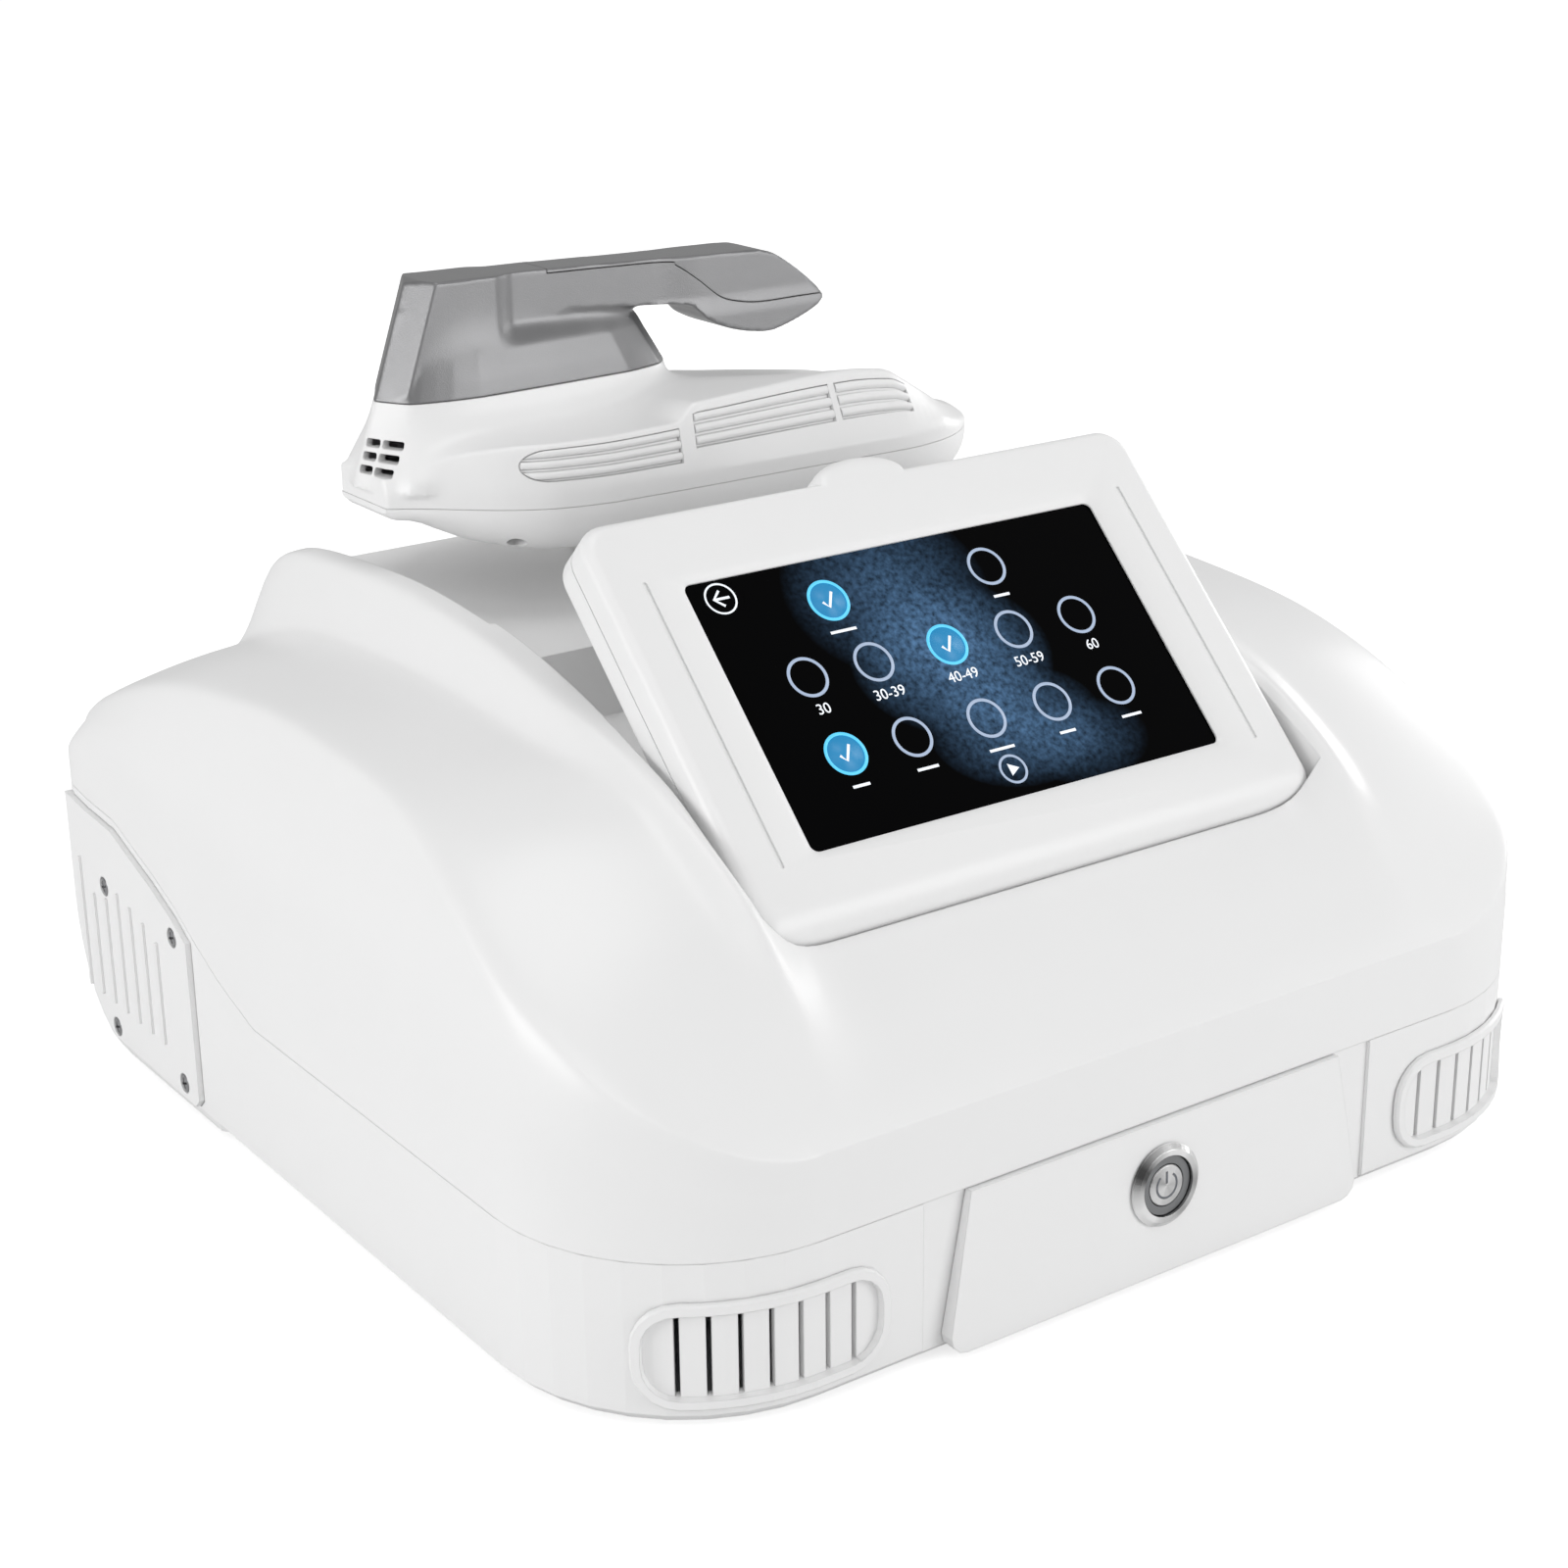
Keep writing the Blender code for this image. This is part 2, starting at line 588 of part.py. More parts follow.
def crest(y):
    return max(BODY_HEIGHT * smooth(CREST_SHARES, y / BODY_DEPTH), deck(y))


def crest_x(y):
    return BODY_HALF_WIDTH * smooth(CREST_X_SHARES, y / BODY_DEPTH)


def centre(y):
    """Height of the casing's middle before the lid's pocket and the tray are cut."""
    low = deck(y) - BODY_HEIGHT * smooth(DISH_SHARES, y / BODY_DEPTH)
    return low + (crest(y) - low) * smooth(FILL_SHARES, y / BODY_DEPTH)


def stations():
    """Depths of the casing's sections, close together round the corners."""
    front = [FRONT_CORNER_Y - FRONT_RADIUS * math.cos(math.radians(angle)) for angle in FRONT_ANGLES]
    rear_corner_y = BODY_DEPTH - REAR_RADIUS
    rear = [rear_corner_y + REAR_RADIUS * math.sin(math.radians(angle)) for angle in REAR_ANGLES]
    return front + [BODY_DEPTH * share for share in STATION_SHARES] + rear


def half_section(y):
    """Right half of the casing's section: up the wall, over the crease, deck and ridge."""
    wall = plan_half_width(y)
    foot = seam(y) + GAP
    edge_x = wall - BODY_HALF_WIDTH * smooth(CREASE_INSET_SHARES, y / BODY_DEPTH)
    edge_z = crease(y)
    lean_z = foot + LEAN_SHARE * (edge_z - foot)
    peak_x = crest_x(y)
    foot_x = min(peak_x + RIDGE_SLOPE, edge_x - RIDGE_LIP / 2)
    width = min(FILLET, FILLET_SHARE * (edge_x - foot_x))
    end_z = edge_z + FILLET_RISE_SHARE * (deck(y) - edge_z)
    points = [(wall, foot), (wall, lean_z)]
    points.append((wall - 0.3 * (wall - edge_x), (lean_z + edge_z) / 2))
    for along in (0, 1 / 3, 2 / 3, 1):
        back = (1 - along) ** 2
        turn = 2 * along * (1 - along)
        x = back * edge_x + turn * (edge_x - 0.2 * width) + along ** 2 * (edge_x - width)
        z = back * edge_z + turn * (edge_z + 0.8 * (end_z - edge_z)) + along ** 2 * end_z
        points.append((x, z))
    start_x = edge_x - width
    for along in (0.33, 0.66):
        rise = 1 - (1 - along) ** 1.7
        points.append((start_x + (foot_x - start_x) * along, end_z + (deck(y) - end_z) * rise))
    height = crest(y) - deck(y)
    for along, share in RIDGE_SHARES:
        points.append((foot_x + (peak_x - foot_x) * max(along, 0), deck(y) + height * share))
    dip = crest(y) - centre(y)
    for share in (1 - RIDGE_LIP / peak_x, 0.75, 0.4):
        points.append((peak_x * share, centre(y) + dip * share ** 2))
    points.append((0.0, centre(y)))
    return points


def full_ring(half, y):
    """A closed section at depth y from its right half, which ends on the middle line."""
    right = [Vector((x, y, z)) for x, z in half]
    left = [Vector((-x, y, z)) for x, z in reversed(half[:-1])]
    return right + left


def pocket_floor(y):
    """Height of the floor under the closed lid, which leaves the hinge trough on a tangent."""
    tilt = math.radians(POCKET_FLOOR_TILT)
    radius = LID_HALF_THICKNESS + TROUGH_CLEARANCE
    start_y = HINGE_Y + radius * math.sin(tilt)
    start_z = HINGE_Z - radius * math.cos(tilt)
    return start_z + (max(y, start_y) - start_y) * math.tan(tilt)


def cavity_section(y):
    """Right half of the casing's hollow, a wall's thickness inside its skin and its tray."""
    wall = plan_half_width(y, WALL)
    edge_x = wall - BODY_HALF_WIDTH * smooth(CREASE_INSET_SHARES, y / BODY_DEPTH)
    foot_x = min(crest_x(y) + RIDGE_SLOPE, edge_x - WALL)
    side_x = min(BOSS_X if y < POCKET_END_Y / 2 else SIDE_CAVITY_X, foot_x - WALL)
    lid_trough = HINGE_Z - LID_HALF_THICKNESS - TROUGH_CLEARANCE - WALL
    roof = min(centre(y) - WALL - TROUGH_CLEARANCE, max(lid_trough, pocket_floor(y) - WALL))
    if y > POCKET_END_Y + WALL:
        roof = min(TRAY_HEIGHT - WALL, crest(y) - 2 * WALL)
    top = deck(y) - WALL - TROUGH_CLEARANCE
    return [
        (wall, seam(y) - OVERRUN), (wall, seam(y) + LEAN_SHARE * (crease(y) - seam(y))),
        (edge_x - TROUGH_CLEARANCE, crease(y) - WALL), (edge_x - FILLET, min(crease(y), top)),
        (foot_x, top), (side_x, top), (side_x - GAP, min(roof, top) if y <= POCKET_END_Y else roof),
        (0.0, min(roof, top) if y <= POCKET_END_Y else roof),
    ]


def casing_cavity():
    """The hollow under the casing, with a block left round the lid's finger notch."""
    first = FRONT_WALL_Y + 2 * WALL
    spots = [y for y in stations() if first < y < BODY_DEPTH - 2 * WALL]
    spots += [POCKET_END_Y + WALL + GAP, POCKET_END_Y + WALL - GAP]
    spots = [first] + sorted(spots) + [BODY_DEPTH - 1.5 * WALL]
    hollow = loft([full_ring(cavity_section(y), y) for y in spots])
    side = NOTCH_HALF_WIDTH + WALL
    block = box((-side, POCKET_END_Y, NOTCH_FLOOR - WALL),
                (side, POCKET_END_Y + NOTCH_DEPTH + WALL, BODY_HEIGHT))
    return cut(hollow, block)


def lid_pocket():
    """Room for the lid: the round hinge trough and the sloping floor behind it."""
    radius = LID_HALF_THICKNESS + TROUGH_CLEARANCE
    outline = []
    for step in range(13):
        angle = math.radians(180 + (90 + POCKET_FLOOR_TILT) * step / 12)
        outline.append((HINGE_Y + radius * math.cos(angle), HINGE_Z + radius * math.sin(angle)))
    outline += [(POCKET_END_Y, pocket_floor(POCKET_END_Y)), (POCKET_END_Y, BODY_HEIGHT + OVERRUN)]
    outline.append((HINGE_Y - radius, BODY_HEIGHT + OVERRUN))
    half = LID_HALF_WIDTH + POCKET_CLEARANCE
    return extruded(outline, -half, half, "yzx")


def upper_casing(material, parent):
    """The casing: a lofted skin over the wall, crease, deck and ridges, hollow and open below."""
    mesh = loft([full_ring(half_section(y), y) for y in stations()])
    tray = box((-TRAY_HALF_WIDTH, POCKET_END_Y - GAP, TRAY_HEIGHT),
               (TRAY_HALF_WIDTH, BODY_DEPTH, BODY_HEIGHT + OVERRUN))
    notch = []
    for step in range(13):
        angle = math.radians(180 * step / 12)
        x, y = NOTCH_HALF_WIDTH * math.cos(angle), POCKET_END_Y + NOTCH_DEPTH * math.sin(angle)
        notch.append((x, y))
    notch += [(-NOTCH_HALF_WIDTH, POCKET_END_Y - OVERRUN), (NOTCH_HALF_WIDTH, POCKET_END_Y - OVERRUN)]
    tools = [casing_cavity(), lid_pocket(), tray, extruded(notch, NOTCH_FLOOR, TRAY_HEIGHT + OVERRUN)]
    for side in (-1, 1):
        bore = turned(disc_profile(PIN_RADIUS + GAP, LID_HALF_WIDTH, PIN_OUTER_X + GAP), SMALL_ROUND)
        tools.append(moved(bore, Matrix.Translation((0, HINGE_Y,
                                                     HINGE_Z)) @ Matrix.Rotation(side * math.pi / 2, 4,
                                                                                 "Y")))
    return piece("upper_casing", cut(mesh, *tools), material, parent, angle=24.0)


def disc_profile(radius, low, high):
    """The profile of a plain round bar on the axis."""
    return ((0.0, low), (radius, low), (radius, high), (0.0, high))


# Base

def plan_outline(inset=0.0, steps=9):
    """The body's plan outline moved in by an inset, round from the front right corner."""
    right = []
    corners = (
        (FRONT_CORNER_X, FRONT_CORNER_Y, FRONT_RADIUS, -90, steps),
        (BODY_HALF_WIDTH - REAR_RADIUS, BODY_DEPTH - REAR_RADIUS, REAR_RADIUS, 0, 4),
    )
    for x, y, radius, start, count in corners:
        for step in range(count + 1):
            angle = math.radians(start + 90 * step / count)
            reach = radius - inset
            right.append((x + reach * math.cos(angle), y + reach * math.sin(angle)))
        if start < 0:
            right.append((BODY_HALF_WIDTH - inset, CHAMFER_END_Y))
            right.append((BODY_HALF_WIDTH - inset, CHAMFER_END_Y + CHAMFER))
    return right + [(-x, y) for x, y in reversed(right)]


def side_profile(inset, top):
    """The base's side view: a level floor, a round tail and a top edge under the seam."""
    centre_y = BODY_DEPTH - TAIL_RUN
    outline = [(-OVERRUN, inset)]
    for step in range(9):
        angle = math.radians(90 * step / 8)
        y = centre_y + (TAIL_RUN - inset) * math.sin(angle)
        outline.append((y, TAIL_RISE - (TAIL_RISE - inset) * math.cos(angle)))
    if top:
        return outline + [(BODY_DEPTH - inset, top), (-OVERRUN, top)]
    outline.append((BODY_DEPTH, seam(BODY_DEPTH)))
    outline += [(share * BODY_DEPTH, seam(share * BODY_DEPTH)) for share,
                height in reversed(SEAM_SHARES[:-1])]
    outline.append((-OVERRUN, SEAM_HEIGHT))
    return outline


def base_skin():
    """The base's outer form: the plan outline with a chamfered foot, under the seam line."""
    foot = []
    for (x, y), (inner_x, inner_y) in zip(plan_outline(), plan_outline(CHAMFER)):
        share = 1.0 if y <= CHAMFER_END_Y else REAR_CHAMFER / CHAMFER
        foot.append(Vector((x + (inner_x - x) * share, y + (inner_y - y) * share, 0.0)))
    rings = [foot]
    for level in (CHAMFER, BODY_HEIGHT):
        rings.append([Vector((x, y, level)) for x, y in plan_outline()])
    reach = BODY_HALF_WIDTH + OVERRUN
    return common(loft(rings), extruded(side_profile(0.0, None), -reach, reach, "yzx"))


def base_hollow():
    """The base's inside, open at the top."""
    room = extruded(plan_outline(WALL), FLOOR, BODY_HEIGHT)
    reach = BODY_HALF_WIDTH + OVERRUN
    return common(room, extruded(side_profile(WALL, BODY_HEIGHT - WALL), -reach, reach, "yzx"))


def panel_face_y(z):
    """Depth of the button panel's leaning face at a height."""
    return PANEL_TOP_Y * z / SEAM_HEIGHT


def button_frame():
    """Matrix of the button's own frame: Z points out of the panel face."""
    lean = math.atan2(PANEL_TOP_Y, SEAM_HEIGHT)
    place = Matrix.Translation((0, panel_face_y(BUTTON_HEIGHT), BUTTON_HEIGHT))
    return place @ Matrix.Rotation(math.pi / 2 - lean, 4, "X")


def button_hole():
    """The bore for the button's barrel through panel and wall."""
    hole = turned(disc_profile(BUTTON_BARREL_RADIUS + GAP, -BUTTON_LENGTH, OVERRUN))
    return moved(hole, button_frame())


def cover_outline(inset):
    """Side view of the side cover or its recess: straight front, round tail, top under the seam."""
    front, foot = COVER_FRONT_Y + inset, COVER_FOOT + inset
    outline = [(front, foot + COVER_CORNER), (front + COVER_CORNER, foot)]
    tail_y = BODY_DEPTH - TAIL_RUN
    margin = BODY_DEPTH - COVER_BACK_Y + inset
    for step in range(1, 9):
        angle = math.radians(90 * step / 8)
        y = tail_y + (TAIL_RUN - margin) * math.sin(angle)
        outline.append((y, TAIL_RISE - (TAIL_RISE - foot) * math.cos(angle)))
    drop = COVER_SEAM_MARGIN + inset
    outline.append((COVER_BACK_Y - inset, seam(COVER_BACK_Y) - drop))
    for share, height in reversed(SEAM_SHARES):
        y = share * BODY_DEPTH
        if front < y < COVER_BACK_Y - inset:
            outline.append((y, seam(y) - drop))
    outline.append((front, seam(front) - drop))
    return outline


def screw_places():
    return [(y, z) for y in SCREW_Y for z in SCREW_Z]


def side_bar(radius, y, z, low, high, side=1, steps=SMALL_ROUND):
    """A round bar along X between two distances from the middle plane."""
    bar = turned(disc_profile(radius, low, high), steps)
    return moved(bar, Matrix.Translation((0, y, z)) @ Matrix.Rotation(side * math.pi / 2, 4, "Y"))


def base_shell(material, parent):
    """The base: a moulded tray with openings for grilles, button, side covers and rear panel."""
    inner_x = BODY_HALF_WIDTH - WALL
    mesh = cut(base_skin(), base_hollow())
    bosses = []
    for side in (-1, 1):
        for y, z in screw_places():
            low = COVER_FACE_X - SCREW_LENGTH - WALL
            bosses.append(side_bar(SCREW_BOSS_RADIUS, y, z, low, inner_x + GAP, side, 12))
    for x, y in board_posts():
        post = turned(disc_profile(POST_RADIUS, FLOOR - GAP, FLOOR + POST_HEIGHT), 12)
        bosses.append(moved(post, Matrix.Translation((x, y, 0))))
    mesh = joined(mesh, *bosses)
    recess = box((-RECESS_HALF_WIDTH, -OVERRUN, -OVERRUN),
                 (RECESS_HALF_WIDTH, FRONT_WALL_Y + RECESS_DEPTH, SEAM_HEIGHT + OVERRUN))
    rear = box((-REAR_OPEN_HALF_WIDTH, BODY_DEPTH - WALL - OVERRUN, REAR_OPEN_FOOT),
               (REAR_OPEN_HALF_WIDTH, BODY_DEPTH + OVERRUN, REAR_OPEN_TOP))
    tools = [recess, rear, button_hole()]
    for side in (-1, 1):
        low = BODY_HALF_WIDTH - COVER_SINK
        sink = extruded(cover_outline(-GAP), low, BODY_HALF_WIDTH + OVERRUN, "yzx")
        tools.append(sink if side > 0 else moved(sink, Matrix.Diagonal((-1, 1, 1, 1))))
        for y, z in screw_places():
            low = COVER_FACE_X - SCREW_LENGTH - GAP
            tools.append(side_bar(SCREW_SHANK_RADIUS + GAP, y, z, low, BODY_HALF_WIDTH + OVERRUN, side, 12))
        opening = bent(grille_block(GAP, -2 * WALL, 2 * WALL))
        tools.append(opening if side > 0 else moved(opening, Matrix.Diagonal((-1, 1, 1, 1))))
    return piece("base_shell", cut(mesh, *tools), material, parent, angle=24.0)


def button_panel(material, parent):
    """The leaning panel that stands in the recess and carries the button."""
    back = FRONT_WALL_Y + RECESS_DEPTH - GAP
    top = SEAM_HEIGHT - GAP
    outline = []
    for side in (1, -1):
        corner = [(side * PANEL_TOP_HALF_WIDTH, top)]
        for step in range(4):
            angle = math.radians(90 * step / 3)
            x = PANEL_FOOT_HALF_WIDTH - PANEL_CORNER * (1 - math.cos(angle))
            corner.append((side * x, PANEL_CORNER * (1 - math.sin(angle))))
        outline += corner if side > 0 else corner[::-1]
    rings = [[Vector((x, panel_face_y(z), z)) for x, z in outline],
             [Vector((x, back, z)) for x, z in outline]]
    return piece("button_panel", cut(loft(rings), button_hole()), material, parent)


# Corner grilles

def bent(mesh):
    """Wrap a flat grille round the body's front right corner.

    The flat shape has X along the wall, Y out of the wall and Z up.
    """
    straight = FRONT_CORNER_X - GRILLE_X
    for vertex in mesh.vertices:
        along, out, up = vertex.co
        if along <= straight:
            vertex.co = (GRILLE_X + along, FRONT_WALL_Y - out, up)
        else:
            angle = (along - straight) / FRONT_RADIUS
            radius = FRONT_RADIUS + out
            vertex.co = (FRONT_CORNER_X + radius * math.sin(angle),
                         FRONT_CORNER_Y - radius * math.cos(angle), up)
    mesh.flip_normals()
    return mesh


def sliced(mesh):
    """Cut the flat grille's faces into strips, so that they follow the bend."""
    sheet = bmesh.new()
    sheet.from_mesh(mesh)
    for strip in range(1, GRILLE_STRIPS):
        everything = sheet.verts[:] + sheet.edges[:] + sheet.faces[:]
        place = (GRILLE_LENGTH * strip / GRILLE_STRIPS, 0, 0)
        bmesh.ops.bisect_plane(sheet, geom=everything, dist=GAP / ROUND, plane_co=place, plane_no=(1, 0, 0))
    bmesh.ops.triangulate(sheet, faces=sheet.faces)
    sheet.to_mesh(mesh)
    sheet.free()
    return mesh


def grille_block(clearance, low, high, inset=None):
    """A flat rounded block of the grille's outline, sliced for bending."""
    margin = (GRILLE_LEDGE if inset is None else inset) - clearance
    outline = rounded((margin, GRILLE_FOOT + margin), (GRILLE_LENGTH - margin, GRILLE_TOP - margin),
                      GRILLE_RADIUS - margin)
    return sliced(extruded(outline, low, high, "xzy"))


def grille_mesh():
    """Plug, proud rim and upright slots, made flat and wrapped round the corner."""
    plug = grille_block(0.0, -WALL + GAP, GAP + GRILLE_PROUD / 2)
    edge = GRILLE_PROUD / 3
    rings = []
    for level, inset in ((GAP, 0.0), (GRILLE_PROUD - edge, 0.0), (GRILLE_PROUD, edge)):
        outline = rounded((inset, GRILLE_FOOT + inset), (GRILLE_LENGTH - inset, GRILLE_TOP - inset),
                          GRILLE_RADIUS - inset)
        rings.append([Vector((x, level, z)) for x, z in outline])
    mesh = joined(loft(rings), plug)
    inner = rounded((GRILLE_RIM, GRILLE_FOOT + GRILLE_RIM),
                    (GRILLE_LENGTH - GRILLE_RIM, GRILLE_TOP - GRILLE_RIM),
                    GRILLE_RADIUS - GRILLE_RIM)
    tools = [extruded(inner, -GAP, GRILLE_PROUD + OVERRUN, "xzy")]
    for slot in range(GRILLE_SLOTS):
        left = GRILLE_FIRST + slot * GRILLE_PITCH - GRILLE_SLOT / 2
        foot, top = GRILLE_FOOT + GRILLE_RIM + GAP, GRILLE_TOP - GRILLE_RIM - GAP
        tools.append(box((left, -WALL - OVERRUN, foot), (left + GRILLE_SLOT, OVERRUN, top)))
    return bent(sliced(cut(mesh, *tools)))


# Side covers and screws

def side_cover_mesh():
    """Cover plate with raised ribs and counterbores for its screws, for the right side."""
    low = BODY_HALF_WIDTH - COVER_SINK + GAP
    mesh = extruded(cover_outline(0.0), low, COVER_FACE_X, "yzx")
    ribs = []
    for rib, share in enumerate(RIB_TOP_SHARES):
        y = RIB_FIRST_Y + rib * RIB_PITCH
        outline = rounded((y - RIB_WIDTH / 2, RIB_FOOT),
                          (y + RIB_WIDTH / 2, RIB_FOOT + share * (SCREW_Z[1] + RIB_PITCH)),
                          RIB_WIDTH / 3, 2)
        ribs.append(extruded(outline, COVER_FACE_X - GAP, COVER_FACE_X + RIB_PROUD, "yzx"))
    mesh = joined(mesh, *ribs)
    tools = []
    for y, z in screw_places():
        tools.append(side_bar(SCREW_HEAD_RADIUS + GAP, y, z, COVER_FACE_X - SCREW_HEAD_HEIGHT,
                              COVER_FACE_X + OVERRUN))
        tools.append(side_bar(SCREW_SHANK_RADIUS + GAP, y, z, low - OVERRUN, COVER_FACE_X + OVERRUN, 1, 12))
    return cut(mesh, *tools)


def screw_mesh():
    """A pan-head screw along +Z, with its seat at zero."""
    profile = (
        (0.0, -SCREW_LENGTH + SCREW_HEAD_HEIGHT), (SCREW_SHANK_RADIUS, -SCREW_LENGTH + SCREW_HEAD_HEIGHT),
        (SCREW_SHANK_RADIUS, 0.0), (SCREW_HEAD_RADIUS, 0.0), (SCREW_HEAD_RADIUS, SCREW_HEAD_HEIGHT / 2),
        (SCREW_HEAD_RADIUS * 0.75, SCREW_HEAD_HEIGHT * 0.9), (0.0, SCREW_HEAD_HEIGHT),
    )
    return turned(profile, 16)


# Lid

def lid_outline(level, clearance=0.0):
    """Front view of the lid at a level of its thickness: round foot, rounded corners, finger tab."""
    depth = abs(level)
    rounding = max(0.0, depth - (LID_HALF_THICKNESS - LID_EDGE))
    inset = LID_EDGE - math.sqrt(LID_EDGE ** 2 - min(rounding, LID_EDGE) ** 2)
    foot = -math.sqrt(max(LID_HALF_THICKNESS ** 2 - depth ** 2, 0.0))
    half, top = LID_HALF_WIDTH - inset, LID_LENGTH - inset
    radius = LID_CORNER - inset / 2
    outline = rounded((-half, foot), (half, top), radius, 4)
    tab = []
    if level > 0:
        for step in range(9):
            angle = math.radians(22.5 * step)
            x = (TAB_HALF_WIDTH - inset) * math.cos(angle)
            tab.append((x, top + (TAB_LENGTH - inset / 2) * math.sin(angle)))
    first_top = 5
    return outline[:first_top] + tab + outline[first_top:]


def lid_bore(side):
    return side_bar(PIN_RADIUS + GAP, 0, 0, PIN_INNER_X - GAP, LID_HALF_WIDTH + OVERRUN, side)


def lid_levels(sign):
    """Levels of the lid's thickness from the split to the face, close together at the edge."""
    edge = LID_HALF_THICKNESS - LID_EDGE
    levels = [GAP / 2, edge / 2, edge]
    levels += [edge + LID_EDGE * math.sin(math.radians(angle)) for angle in (30, 55, 75, 90)]
    return [sign * level for level in levels]


def lid_shell(sign):
    """One half of the lid's housing, hollow behind its face and solid round the hinge."""
    rings = [[Vector((x, y, level)) for x, y in lid_outline(level)] for level in lid_levels(sign)]
    inner = sign * (LID_HALF_THICKNESS - LID_WALL)
    half = LID_HALF_WIDTH - LID_WALL
    hollow_low = (-half, LID_SOLID_END, min(inner, -sign * OVERRUN))
    hollow_high = (half, LID_LENGTH - LID_WALL, max(inner, -sign * OVERRUN))
    outline = rounded(hollow_low[:2], hollow_high[:2], LID_CORNER - LID_WALL, 3)
    hollow = extruded(outline, hollow_low[2], hollow_high[2])
    return cut(loft(rings), hollow, lid_bore(-1), lid_bore(1))


def lid_bezel(material, parent):
    """Front half of the lid, with the bevelled screen opening and the two side grooves."""
    face = LID_HALF_THICKNESS
    inner = face - LID_WALL
    end = SCREEN_START + SCREEN_LENGTH
    corner = SCREEN_BEVEL
    rings = []
    levels = ((inner - OVERRUN, 0.0), (face - SCREEN_BEVEL_DEPTH, 0.0),
              (face + GAP, SCREEN_BEVEL * (1 + GAP / SCREEN_BEVEL_DEPTH)))
    for level, flare in levels:
        outline = rounded((-SCREEN_HALF_WIDTH - flare, SCREEN_START - flare),
                          (SCREEN_HALF_WIDTH + flare, end + flare),
                          corner + flare, 3)
        rings.append([Vector((x, y, level)) for x, y in outline])
    grooves = []
    for side in (-1, 1):
        middle = side * GROOVE_X
        low = (middle - GROOVE_WIDTH / 2, GROOVE_START, face - GROOVE_DEPTH)
        grooves.append(box(low, (middle + GROOVE_WIDTH / 2, GROOVE_END, face + OVERRUN)))
    return piece("lid_bezel", cut(lid_shell(1), loft(rings), *grooves), material, parent)


def lid_parts(finishes, parent):
    """The lid's pieces, all on the hinge empty."""
    lid_bezel(finishes["white"], parent)
    piece("lid_back", lid_shell(-1), finishes["white"], parent)
    level = LID_HALF_THICKNESS - LID_WALL - GAP
    low_y, high_y = SCREEN_START - GLASS_MARGIN, SCREEN_START + SCREEN_LENGTH + GLASS_MARGIN
    half = SCREEN_HALF_WIDTH + GLASS_MARGIN
    glass = extruded(rounded((-half, low_y), (half, high_y), SCREEN_BEVEL, 3), level - GLASS_THICKNESS,
                     level)
    piece("display_glass", glass, finishes["glass"], parent)
    level -= GLASS_THICKNESS + GAP
    half -= GLASS_MARGIN / 2
    module = box((-half, low_y + GLASS_MARGIN / 2, level - MODULE_THICKNESS),
                 (half, high_y - GLASS_MARGIN / 2, level))
    piece("display_module", module, finishes["aluminium"], parent)
    level -= MODULE_THICKNESS + GAP
    half *= 0.8
    board = box((-half, low_y + 2 * GLASS_MARGIN, level - BOARD_THICKNESS),
                (half, high_y - 3 * GLASS_MARGIN, level))
    piece("display_board", board, finishes["board"], parent)
    for side, name in ((-1, "left"), (1, "right")):
        pin = side_bar(PIN_RADIUS, 0, 0, PIN_INNER_X, PIN_OUTER_X, side)
        piece("hinge_pin_" + name, pin, finishes["steel"], parent)


# Power button, in its own frame with Z out of the panel

